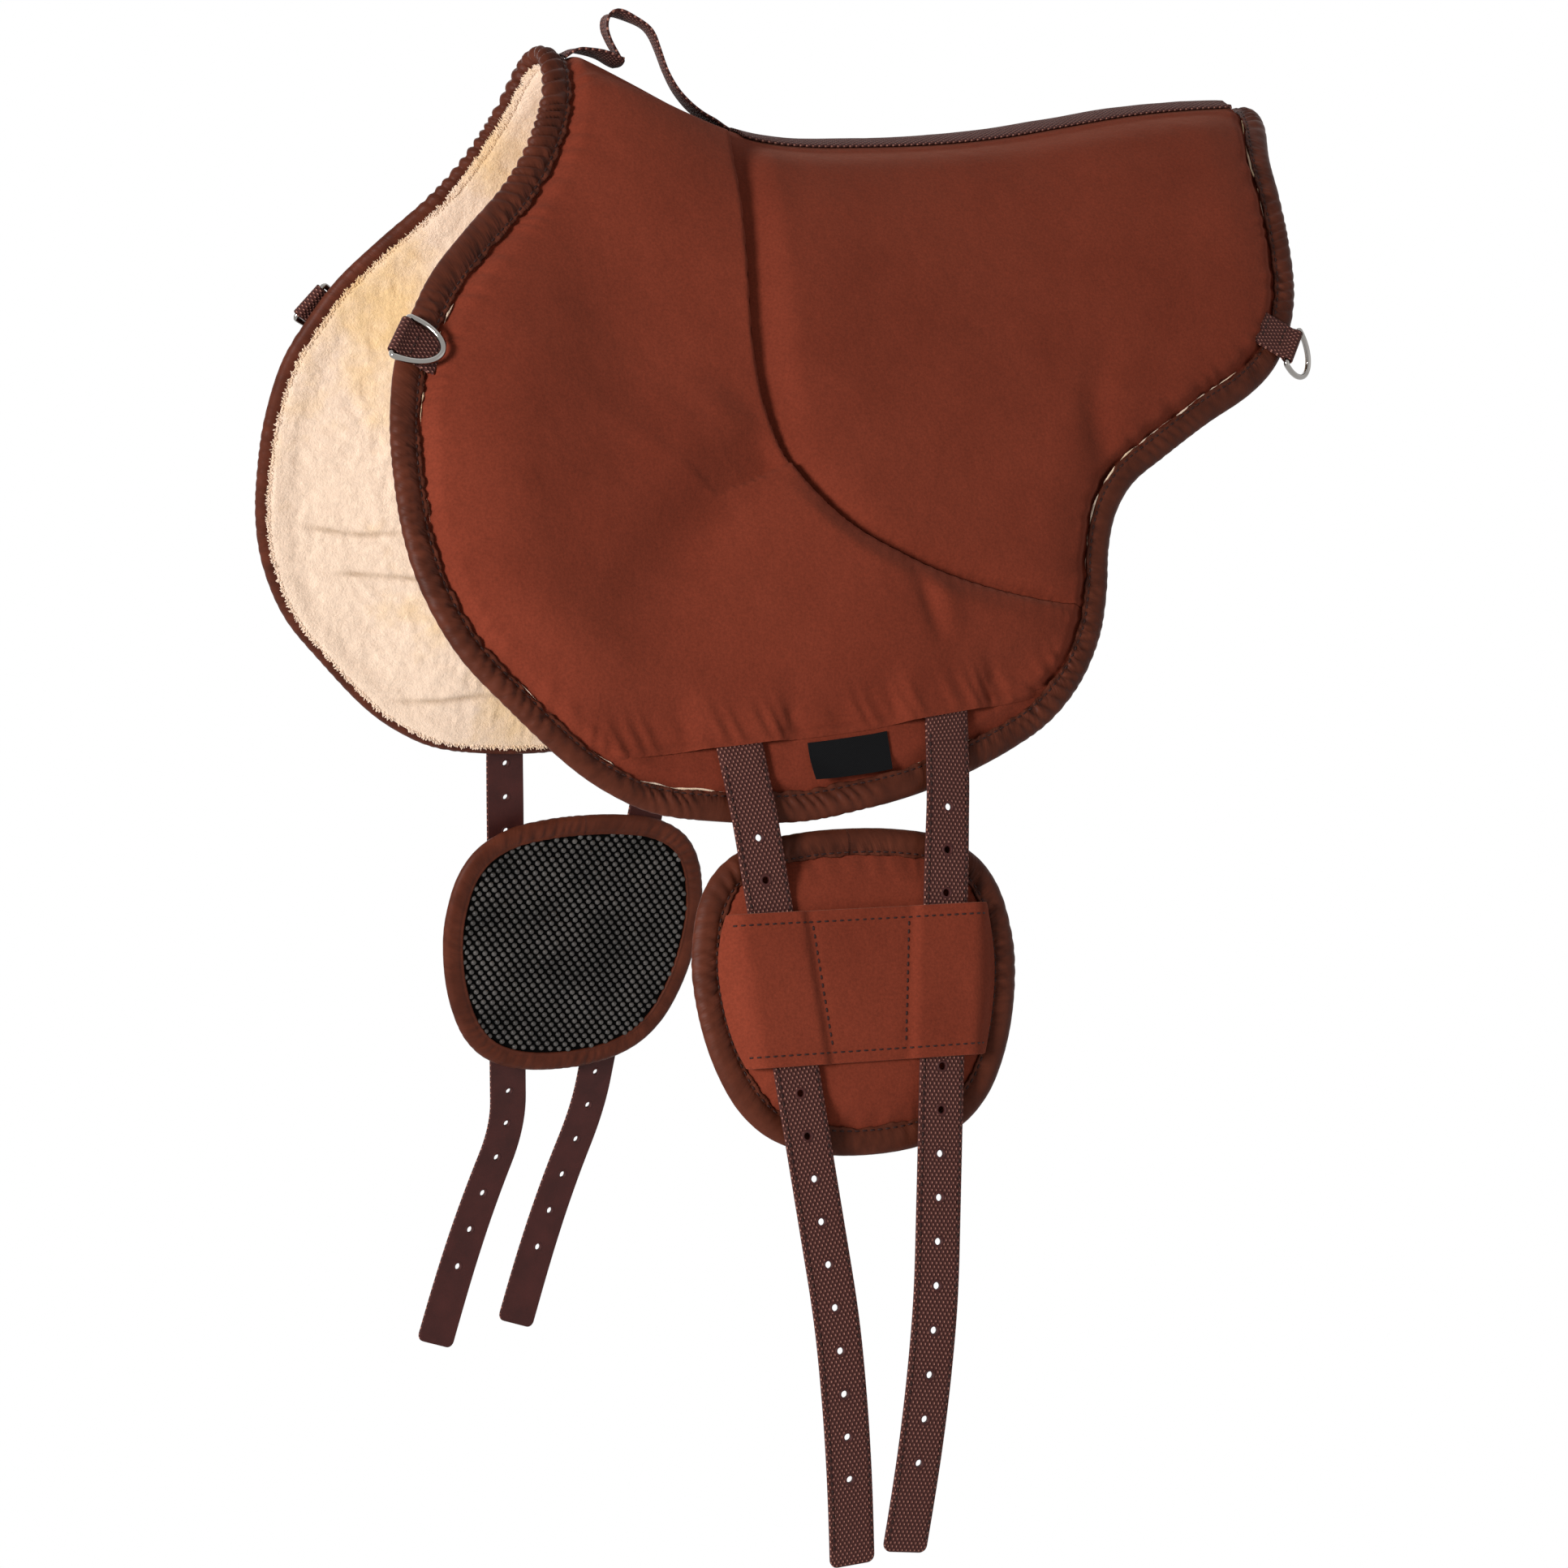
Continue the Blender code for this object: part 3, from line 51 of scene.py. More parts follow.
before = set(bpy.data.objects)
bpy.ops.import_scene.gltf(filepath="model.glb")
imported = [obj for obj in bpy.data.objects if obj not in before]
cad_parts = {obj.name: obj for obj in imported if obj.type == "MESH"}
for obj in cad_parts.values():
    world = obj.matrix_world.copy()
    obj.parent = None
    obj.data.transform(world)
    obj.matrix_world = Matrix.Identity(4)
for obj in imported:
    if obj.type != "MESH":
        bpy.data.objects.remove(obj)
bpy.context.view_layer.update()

NEAR, FAR = -1, 1
SIDE_NAMES = {NEAR: "near", FAR: "far"}
SIDES = (NEAR, FAR)
ENDS = ("front", "rear")

# Sizes shared with the CAD solids: the drape and the flap's layers
LAYER_GAP = 0.0004
CENTRE_GAP = 0.0003
WITHER_RISE = 0.066
REAR_RISE = 0.038
SIDE_SLOPE = math.radians(70.0)
WITHER_ROUND = 0.026
SEAT_ROUND = 0.060
FORM_STEPS = 48
FRONT_REACH = 0.331
REAR_REACH = 0.392
FLAP_DROP = 0.531
OUTLINE_STEP = 0.034
LINING_THICK = 0.008
LINING_EDGE = 0.003
FOAM_THICK = 0.0085
FOAM_SEAM = 0.0025
FOAM_EDGE = 0.0012
COVER_THICK = 0.0016
MARGIN_THICK = 0.0016
BINDING_WIDTH = 0.015
BINDING_INSIDE = 0.012
BINDING_WALL = 0.0012
BINDING_PUFF = 0.0011
BINDING_SLACK = 0.0006
CROWN_RISE = 0.011
CROWN_RUN = 0.030
SEAM_REACH = 0.013
SPINE_BARE = 0.014
SPINE_CREST = 0.040
PADDING_STOP = 0.030

# Webbing, handle and girth straps
WEB_WIDTH = 0.030
WEB_THICK = 0.0018
BACKING_THICK = 0.0009
STRAP_THICK = BACKING_THICK + LAYER_GAP + WEB_THICK
SPINE_WEB_WIDTH = 0.026
SPINE_WEB_THICK = 0.0020
SPINE_WEB_LIFT = 0.0006
SPINE_WEB_STOP = 0.034
SPINE_WEB_SPREAD = 0.024
HANDLE_FRONT = -0.1648
HANDLE_REAR = -0.045
HANDLE_RISE = 0.042
STRAP_LENGTH = 0.515
STRAP_FRONT_X = -0.128
STRAP_REAR_X = 0.013
HINGE_DROP = 0.0055
STRAP_LIFT = 0.0008
STRAP_TILT_END = 0.090
SEWN_END_GAP = 0.0034
SEWN_END_LENGTH = 0.015
STRAP_CONVERGE = math.radians(5.9)
STRAP_CLOSING = {NEAR: 1.0, FAR: 0.0}
STRAP_LEAN = math.radians(6.4)
STRAP_CORNER = 0.005
STRAP_KNEE_START = 0.028
STRAP_KNEE_LENGTH = 0.030
STRAP_KNEE = math.radians(8.0)
STRAP_CURL_START = 0.330
STRAP_CURL = {NEAR: math.radians(14.0), FAR: math.radians(18.0)}
STRAP_SWING = {NEAR: math.radians(3.0), FAR: math.radians(21.0)}
STRAP_SWING_RUN = 0.050
HOLE_COUNT = 16
HOLE_PITCH = 0.027
HOLE_RADIUS = 0.0026
LAST_HOLE = 0.056

# Girth pads
GIRTH_HALF_WIDTH = 0.107
GIRTH_HALF_HEIGHT = 0.101
GIRTH_PLACE = {NEAR: 0.160, FAR: 0.205}
GIRTH_MESH_THICK = 0.0020
GIRTH_FOAM_THICK = 0.0090
GIRTH_COVER_THICK = 0.0014
GIRTH_CROWN_RUN = 0.026
BAND_UP = 0.052
BAND_DOWN = 0.045
BAND_THICK = 0.0014
CHANNEL_HALF_FOOT = 0.0255
CHANNEL_HALF_TOP = WEB_WIDTH / 2 + 0.0025
CHANNEL_CLEAR = 0.0007

# D-rings, tabs and label
RING_WIRE = 0.0020
RING_INNER = 0.026
RING_DEPTH = 0.028
RING_CORNER = 0.0019
RING_CLEAR = 0.0005
RING_TILT = math.radians(18.0)
TAB_WIDTH = 0.025
TAB_PLY = 0.0012
TAB_GAP = 0.0004
TAB_REACH = 0.020
BAR_OUT = 0.0068
RING_PLACE = {("front", NEAR): 0.262, ("front", FAR): 0.232, ("rear", NEAR): 0.219,
              ("rear", FAR): 0.219}
LABEL_LENGTH = 0.054
LABEL_HEIGHT = 0.025
LABEL_X = -0.056
LABEL_DROP = 0.003

# Bindings: the layers' top under them, their sewn line, and where their gathers lie calm
FLAP_EDGE_TOP = LINING_EDGE + 2 * LAYER_GAP + COVER_THICK
GIRTH_EDGE_TOP = GIRTH_MESH_THICK + 2 * LAYER_GAP + GIRTH_COVER_THICK
TAPE_STEP = 0.0017
TAPE_SEWN_AT = 0.0127
LIP_WANDER = 0.0015
LIP_LIFT = 0.0009
TAB_CALM = 0.017
STRAP_CALM = 0.024
STRAP_CROSSINGS = (-0.129, -0.003)
LOWER_EDGE = 0.4

# Fleece: its pile spills over the binding's inner side, up to PILE_SPILL from the edge
PILE_SPILL = 0.0045
PILE_ROUND = 0.0010
PEEK_WIDTH = 0.0009
PEEK_WANDER = 0.0013
TUFT_SIDES = 5
TUFT_LENGTH = (0.0012, 0.0031)
TUFT_WIDTH = (0.0004, 0.0009)
TUFT_LEAN = 0.6
TUFT_ROWS = 0.0030
WITHER_RUN = 0.13
# A tuft's share of its length, share of its width and height towards the coat
TUFT_PROFILE = ((0.0, 1.0, 0.00272), (0.45, 0.9, 0.00374), (0.8, 0.55, 0.00416),
                (1.0, 0.0, 0.00404))

# Folds, creases and gathers of the dressed panels
SEAM_TURN = (0.20, 0.34)
SEAT_SWELL = 0.024
FRONT_SWELL = 0.0085
UPPER_SWELL_LESS = 0.0045
BINDING_GROOVE = 0.0021
FOLD_GROOVE = 0.0017
FOLD_ROLL = 0.0035
SEAM_GATHER = 0.00045
FOLD_GATHER = 0.0007
EDGE_GATHER = 0.0009
CREASE_DEPTH = 0.0030
CREASE_RIDGE = 0.0020
CREASE_LENGTH = 0.056
REAR_CREASE_DEPTH = 0.0042
REAR_CREASE_LENGTH = 0.145
PILLOW_LOFT = 0.0090
FRAY = 0.0013
CRUMPLE = 0.0019
FINE_CRUMPLE = 0.00035
SEAM_GAP = 0.0002
TUCK = 0.004
MARGIN_FROM = 0.3
MARGIN_STEP = 0.0028
MARGIN_RIPPLE = 0.0011

# Slack of webbing, straps and label
SPINE_WEB_RIPPLE = 0.0005
HANDLE_TWIST = 0.30
HANDLE_CURL = 0.0016
HANDLE_SEWN = 0.014
STRAP_STEP = 0.005
SEWN_END_BELOW = 0.012
SEWN_END_PLAY = 0.0002
SEWN_END_BEND = (-0.003, 0.007)
LABEL_THICK = 0.0006
LABEL_CURL = 0.0045
LABEL_CRUMPLE = 0.0003
# Melted rim of a buckle hole: distance past the hole's radius, height off the strap's middle
RIM_PROFILE = (
    (-0.0003, -STRAP_THICK / 2 - 0.0001), (0.0008, -STRAP_THICK / 2 - 0.0003),
    (0.0012, -STRAP_THICK / 2), (0.0012, STRAP_THICK / 2), (0.0007, STRAP_THICK / 2 + 0.00035),
    (-0.0001, STRAP_THICK / 2 + 0.0002), (-0.0004, STRAP_THICK / 2 - 0.0004),
)

# Girth pads: how far inside the outline each layer starts, and the mesh of each
COVER_FROM = 0.011
COVER_STEP = 0.0024
COVER_CRUMPLE = 0.0004
BAND_FROM = 0.0132
BAND_STEP = 0.0023
BAND_HEM = 0.0072
HEM_THICKER = 0.0005
BAND_CRUMPLE = 0.0005
BAND_BELLY = 0.0014
MESH_FROM = 0.0105
MESH_STEP = 0.0045
KNOB_FROM = 0.0128
KNOB_FOOT = 0.0003
KNOB_RADIUS_SHARE = 0.28
KNOB_FIELD = 0.30
KNOB_SLANT = math.radians(8.0)
KNOB_SIDES = 8
# A knob's share of its radius and share of its height
KNOB_PROFILE = ((1.0, 0.0), (0.93, 0.45), (0.68, 0.82), (0.34, 0.98))

# Stitches: depth in the tape, rows on tabs and straps, and thread that lies a little flat
STITCH_SUNK = 0.0005
TAB_ROWS = (0.0175, 0.0035)
TAB_ROW_HALF = 0.0100
STRAP_ROW = 0.0126
STITCH_SIDES = 5
STITCH_FLAT = 1.25
STITCH_LOOK = 0.0005
# A stitch's share of its length, rise and width in radii of the thread
STITCH_PROFILE = ((0.0, -0.8, 0.55), (0.18, 0.35, 1.0), (0.5, 0.7, 1.0), (0.82, 0.35, 1.0),
                  (1.0, -0.8, 0.55))

# Curves of the drape and the flap's pattern, as shares of its reach and drop
SPINE_SHARES = (
    (-1.05, 1.60), (-0.85, 1.36), (-0.66, 1.10), (-0.56, 0.95), (-0.46, 0.77), (-0.36, 0.55),
    (-0.27, 0.34), (-0.19, 0.18), (-0.10, 0.05), (0.0, 0.0), (0.13, 0.03), (0.27, 0.12),
    (0.40, 0.28), (0.52, 0.50), (0.65, 0.74), (0.78, 0.90), (0.90, 0.98), (1.05, 1.00),
)
OUTLINE_SHARES = (
    (-0.545, 0.0), (-0.572, 0.093), (-0.625, 0.176), (-0.693, 0.247), (-0.790, 0.325),
    (-0.868, 0.391), (-0.920, 0.450), (-0.967, 0.516), (-0.993, 0.594), (-1.0, 0.665),
    (-0.995, 0.738), (-0.970, 0.803), (-0.916, 0.866), (-0.834, 0.915), (-0.728, 0.967),
    (-0.640, 0.992), (-0.550, 1.0), (-0.416, 0.989), (-0.280, 0.966), (-0.139, 0.933),
    (-0.012, 0.909), (0.075, 0.889), (0.158, 0.866), (0.235, 0.838), (0.302, 0.797),
    (0.352, 0.745), (0.380, 0.690), (0.398, 0.635), (0.425, 0.590), (0.470, 0.555),
    (0.540, 0.530), (0.633, 0.500), (0.725, 0.472), (0.790, 0.438), (0.835, 0.390),
    (0.862, 0.335), (0.875, 0.262), (0.882, 0.200), (0.893, 0.135), (0.925, 0.072),
    (0.962, 0.0),
)
SEAM_SHARES = (
    (-0.130, 0.0), (-0.165, 0.050), (-0.195, 0.110), (-0.210, 0.190), (-0.224, 0.270),
    (-0.238, 0.350), (-0.242, 0.405), (-0.235, 0.460), (-0.210, 0.512), (-0.155, 0.553),
    (-0.080, 0.590), (0.0, 0.618), (0.075, 0.646), (0.165, 0.672), (0.260, 0.694),
    (0.330, 0.706), (0.440, 0.720),
)
FOLD_SHARES = (
    (-0.80, 0.999), (-0.72, 0.978), (-0.648, 0.958), (-0.52, 0.930), (-0.413, 0.907),
    (-0.25, 0.868), (-0.087, 0.838), (0.023, 0.826), (0.158, 0.817), (0.230, 0.809),
    (0.330, 0.790),
)
# Curve of the handle, as shares of its length and rise
HANDLE_SHARES = (
    (0.0, 0.0), (0.07, 0.05), (0.16, 0.13), (0.25, 0.19), (0.33, 0.19), (0.372, 0.235),
    (0.345, 0.36), (0.305, 0.50), (0.280, 0.66), (0.290, 0.84), (0.335, 0.95), (0.42, 0.985),
    (0.50, 0.99), (0.545, 0.92), (0.585, 0.73), (0.635, 0.46), (0.71, 0.23), (0.83, 0.07),
    (1.0, 0.0),
)
# Half the outline of a girth pad, as shares of its half width and height
GIRTH_SHARES = (
    (0.0, -1.0), (0.30, -0.985), (0.58, -0.93), (0.80, -0.80), (0.93, -0.60), (0.99, -0.34),
    (1.0, -0.10), (0.96, 0.20), (0.88, 0.47), (0.76, 0.70), (0.58, 0.87), (0.32, 0.97),
    (0.0, 1.0),
)

# Places on the flap pattern, in metres
VALLEY = ((-0.066, 0.262), (-0.113, 0.313), (-0.150, 0.358), (-0.203, 0.414))
CREASE = ((0.001, 0.341), (0.008, 0.368), (0.015, 0.396))
REAR_CREASE = ((0.186, 0.190), (0.160, 0.242), (0.164, 0.290), (0.140, 0.325))
FLEECE_SEAMS = (
    ((-0.310, 0.389), (-0.262, 0.385), (-0.219, 0.372), (-0.170, 0.366)),
    ((-0.285, 0.420), (-0.245, 0.412), (-0.212, 0.406), (-0.150, 0.402)),
    ((-0.230, 0.506), (-0.194, 0.497), (-0.146, 0.480), (-0.090, 0.466)),
)

# How finely curves, noise and meshes are worked out
NOISE_CELLS = 97
NEAREST_BLOCK = 3000
CURTAIN_ABOVE = 0.06
CURTAIN_BELOW = 0.02
CURTAIN_STEPS = 1200
WELD = 1e-7
NORMAL_STEP = 0.001
WEB_CREASE = math.radians(60.0)
SHEET_CREASE = math.radians(50.0)

# Camera at the photograph's viewing angle, in metres and radians, and the lights
CAMERA_TARGET = (0.0, 0.0, -0.433)
CAMERA_AZIMUTH = math.radians(-25.0)
CAMERA_ELEVATION = math.radians(6.9)
CAMERA_DISTANCE = 2.389
CAMERA_LENS = 78.0
CAMERA_SENSOR = 36.0
FLOOR_HEIGHT = -1.45
FLOOR_HALF = 4.0
ROOM_LIGHT = 0.19
# Name, place, size in metres and power in watts
LIGHTS = (
    ("key_light", (-2.9, -1.6, 0.2), 0.8, 126.0),
    ("fill_light", (2.2, -2.2, -0.1), 2.6, 11.0),
    ("top_light", (0.1, 0.2, 2.4), 2.4, 8.0),
    ("back_light", (-0.6, 2.6, 0.6), 2.4, 31.0),
)


def linear(code):
    """Linear colour of an sRGB hex code."""
    parts = [int(code[i:i + 2], 16) / 255.0 for i in (1, 3, 5)]
    return tuple(c / 12.92 if c <= 0.04045 else ((c + 0.055) / 1.055) ** 2.4 for c in parts)


def colour_property(name, description, code):
    """Colour setting with its default as a hex code."""
    return FloatVectorProperty(name=name, description=description, subtype="COLOR", size=3,
                               min=0.0, max=1.0, default=linear(code))


def length_property(name, description, value):
    """Length setting in metres."""
    return FloatProperty(name=name, description=description, default=value, min=0.0,
                         unit="LENGTH", precision=5)


class PadColours(bpy.types.PropertyGroup):
    """Colours of the pad's materials."""

    suede: colour_property("Suede", "Panels and girth pads", "#73301f")
    suede_dark: colour_property("Suede, dark", "Brushed patches of the suede", "#692a1a")
    binding: colour_property("Binding", "Satin tape round the edges", "#4b2418")
    webbing: colour_property("Webbing", "Straps, tabs and handle", "#3d1d19")
    fleck: colour_property("Webbing, raised", "Raised threads of the webbing", "#b07a6a")
    backing: colour_property("Backing", "Smooth inside of the straps", "#3a1916")
    fleece: colour_property("Fleece", "Pile of the lining", "#e9cfb8")
    fleece_tan: colour_property("Fleece, tan", "Tips of the pile", "#e4c190")
    # Colour painted along the lining's seams: painted shade where the pile parts
    fleece_seam_shade: colour_property("Fleece ground", "Knit that shows where the pile parts",
                                   "#a98d72")
    # The knobs' dark grey and the near-black cloth under them are painted light on the knobs and
    # painted shade between them
    knob: colour_property("Mesh", "Knobs of the girth pads' mesh", "#403d3b")
    ground: colour_property("Mesh, ground", "Cloth under the knobs", "#080808")
    nickel: colour_property("Nickel", "D-rings", "#8f8b87")
    thread: colour_property("Thread", "Stitches", "#260f0b")
    label: colour_property("Label", "Bare woven label", "#111112")
    floor: colour_property("Floor", "Studio floor and backdrop", "#fafafa")


class PadDetail(bpy.types.PropertyGroup):
    """Sizes of the pad's fine detail."""

    panel_step: length_property("Panel mesh", "Mesh width of the panels", 0.0022)
    fleece_step: length_property("Fleece mesh", "Mesh width of the fleece", 0.0021)
    pile: length_property("Pile", "Height of the fleece's curls", 0.0036)
    gather: length_property("Gathers", "Height of the binding's gathers", 0.0010)
    wither_gather: length_property("Wither gathers", "Height of the gathers at the withers",
                                   0.0018)
    valley: length_property("Valley", "Depth of the soft valley in the front panel", 0.0060)
    knob_pitch: length_property("Knob pitch", "Distance between the mesh's knobs", 0.0078)
    knob_height: length_property("Knob height", "Height of the mesh's knobs", 0.0020)
    stitch: length_property("Stitch", "Length of a stitch", 0.0036)
    stitch_gap: length_property("Stitch gap", "Gap between two stitches", 0.0016)
    stitch_radius: length_property("Thread", "Radius of the thread", 0.00050)
    tufts: IntProperty(name="Tufts", description="Tufts along the edge of one lining",
                       default=3600, min=0)


# Curves and distances on flat patterns

def smooth_step(value, start, end):
    """0 before start, 1 after end, smooth between."""
    share = np.clip((value - start) / (end - start), 0.0, 1.0)
    return share * share * (3.0 - 2.0 * share)


def bell(value, centre, width):
    """1 at the centre, falling off smoothly over a width."""
    return np.exp(-((value - centre) / width) ** 2)


def swell(value, run, power):
    """0 to 1 over a run, rising steeply at first like a filled cushion."""
    return 1.0 - (1.0 - np.clip(value / run, 0.0, 1.0)) ** power


def circle_turns(count):
    """Even angles round a circle."""
    return np.arange(count) / count * math.tau


def there_and_back(values, sign=1.0):
    """Values across a strip and back again, for its closed section."""
    return np.concatenate([values, sign * values[-2:0:-1]])


def scaled(shares):
    """Pattern shares as lengths."""
    shares = np.array(shares)
    reach = np.where(shares[:, 0] < 0.0, FRONT_REACH, REAR_REACH)
    return np.stack([shares[:, 0] * reach, shares[:, 1] * FLAP_DROP], 1)


def value_at(points, x):
    """Heights of a smooth curve through points at x."""
    px, py = points[:, 0], points[:, 1]
    before = np.maximum(np.arange(len(points)) - 1, 0)
    after = np.minimum(np.arange(len(points)) + 1, len(points) - 1)
    slopes = (py[after] - py[before]) / (px[after] - px[before])
    i = np.clip(np.searchsorted(px, x) - 1, 0, len(points) - 2)
    run = px[i + 1] - px[i]
    f = np.clip((x - px[i]) / run, 0.0, 1.0)
    return (py[i] * (1 + 2 * f) * (1 - f) ** 2 + py[i + 1] * f * f * (3 - 2 * f)
            + run * (slopes[i] * f * (1 - f) ** 2 + slopes[i + 1] * f * f * (f - 1)))


def curve_through(points, step, closed=False):
    """Evenly spaced points on a smooth curve through the given points."""
    points = np.array(points, dtype=float)
    if closed:
        knots = np.concatenate([points[-1:], points, points[:2]])
    else:
        knots = np.concatenate([2 * points[:1] - points[1:2], points,
                                2 * points[-1:] - points[-2:-1]])
    dense = []
    for a, b, c, d in zip(knots, knots[1:], knots[2:], knots[3:]):
        for f in np.arange(8) / 8:
            dense.append(0.5 * (2 * b + (c - a) * f + (2 * a - 5 * b + 4 * c - d) * f * f
                                + (3 * b - a - 3 * c + d) * f ** 3))
    dense.append(points[0] if closed else points[-1])
    dense = np.array(dense)
    run = arc_lengths(dense[:, :2])
    pieces = max(round(run[-1] / step), 3)
    targets = np.linspace(0.0, run[-1], pieces + 1)
    even = np.stack([np.interp(targets, run, dense[:, k]) for k in range(dense.shape[1])], 1)
    return even[:-1] if closed else even


def arc_lengths(line):
    """Length along a line up to each of its points."""
    return np.concatenate([[0.0], np.cumsum(np.linalg.norm(np.diff(line, axis=0), axis=1))])


def unit(vector):
    """Vector of length one."""
    return vector / np.linalg.norm(vector)


def left_normals(line, closed=False):
    """Unit normals of a flat line: inwards for an outline, towards the seat for the seam."""
    if closed:
        along = np.roll(line, -1, 0) - np.roll(line, 1, 0)
    else:
        along = np.concatenate([line[1:], line[-1:]]) - np.concatenate([line[:1], line[:-1]])
    normals = np.stack([along[:, 1], -along[:, 0]], 1)
    return normals / np.linalg.norm(normals, axis=1, keepdims=True)


def inward_normals(line):
    """Unit normals of a closed line round the origin, turned inwards."""
    normals = left_normals(line, closed=True)
    return -normals if normals[0].dot(line[0]) > 0.0 else normals


def nearest(line, places, closed=False):
    """Signed distance and length along the line for each place; positive on the normal's side."""
    starts = line if closed else line[:-1]
    ends = np.roll(line, -1, 0) if closed else line[1:]
    along = ends - starts
    squares = (along ** 2).sum(1)
    lengths = np.sqrt(squares)
    arcs = np.concatenate([[0.0], np.cumsum(lengths)])[:-1]
    gaps, runs = [], []
    for block in np.array_split(places, max(len(places) // NEAREST_BLOCK, 1)):
        away_x = block[:, :1] - starts[:, 0]
        away_y = block[:, 1:] - starts[:, 1]
        f = np.clip((away_x * along[:, 0] + away_y * along[:, 1]) / squares, 0.0, 1.0)
        squared = (away_x - f * along[:, 0]) ** 2 + (away_y - f * along[:, 1]) ** 2
        best = squared.argmin(1)
        rows = np.arange(len(block))
        turn = away_x[rows, best] * along[best, 1] - away_y[rows, best] * along[best, 0]
        gaps.append(np.sqrt(squared[rows, best]) * np.where(turn >= 0.0, 1.0, -1.0))
        runs.append(arcs[best] + f[rows, best] * lengths[best])
    return np.concatenate(gaps), np.concatenate(runs)


def lattice_noise(places, cell, seed):
    """Smooth noise from 0 to 1 on a square lattice of the given cell width."""
    table = np.random.default_rng(seed).random((NOISE_CELLS, NOISE_CELLS))
    scaled_places = places / cell
    base = np.floor(scaled_places).astype(int)
    share = scaled_places - base
    share = share * share * (3.0 - 2.0 * share)
    i, k = (base % NOISE_CELLS).T
    i1, k1 = (i + 1) % NOISE_CELLS, (k + 1) % NOISE_CELLS
    low = table[i, k] * (1 - share[:, 0]) + table[i1, k] * share[:, 0]
    high = table[i, k1] * (1 - share[:, 0]) + table[i1, k1] * share[:, 0]
    return low * (1 - share[:, 1]) + high * share[:, 1]


def layered_noise(places, cell, seed, layers=3):
    """Noise from -1 to 1 with finer layers on coarser ones."""
    total, weight, amount = 0.0, 0.0, 1.0
    for i in range(layers):
        total = total + amount * (2.0 * lattice_noise(places, cell / 2 ** i, seed + i) - 1.0)
        weight += amount
        amount *= 0.5
    return total / weight


def on_line(run, level=0.0):
    """Places for noise that changes along a run only."""
    return np.stack([run, np.full_like(run, level)], 1)


def ripples(run, period, unrest, cell, seed, level=0.0):
    """Wave from -1 to 1 along a run, with its period jittered by noise."""
    jitter = layered_noise(on_line(run, level), cell, seed)
    return np.cos(2.0 * np.pi * (run / period + unrest * jitter))


# The horse's side

SPINE = np.array([(FRONT_REACH * x, WITHER_RISE * z) if x < 0.0
                  else (REAR_REACH * x, REAR_RISE * z) for x, z in SPINE_SHARES])


def side_place(x, s, t, side):
    """Places on one side of the horse, s down from the spine and t off the coat."""
    x, s, t = (np.asarray(v, dtype=float) for v in np.broadcast_arrays(x, s, t))
    reach = WITHER_ROUND + (SEAT_ROUND - WITHER_ROUND) * smooth_step(x, -0.6 * FRONT_REACH, 0.0)
    shares = (np.arange(FORM_STEPS) + 0.5) / FORM_STEPS
    slopes = SIDE_SLOPE * (1.0 - np.exp(-s[..., None] * shares / reach[..., None]))
    out = CENTRE_GAP + np.cos(slopes).mean(-1) * s
    drop = np.sin(slopes).mean(-1) * s
    slope = SIDE_SLOPE * (1.0 - np.exp(-s / reach))
    return np.stack([x, side * (out + t * np.sin(slope)),
                     value_at(SPINE, x) - drop + t * np.cos(slope)], -1)


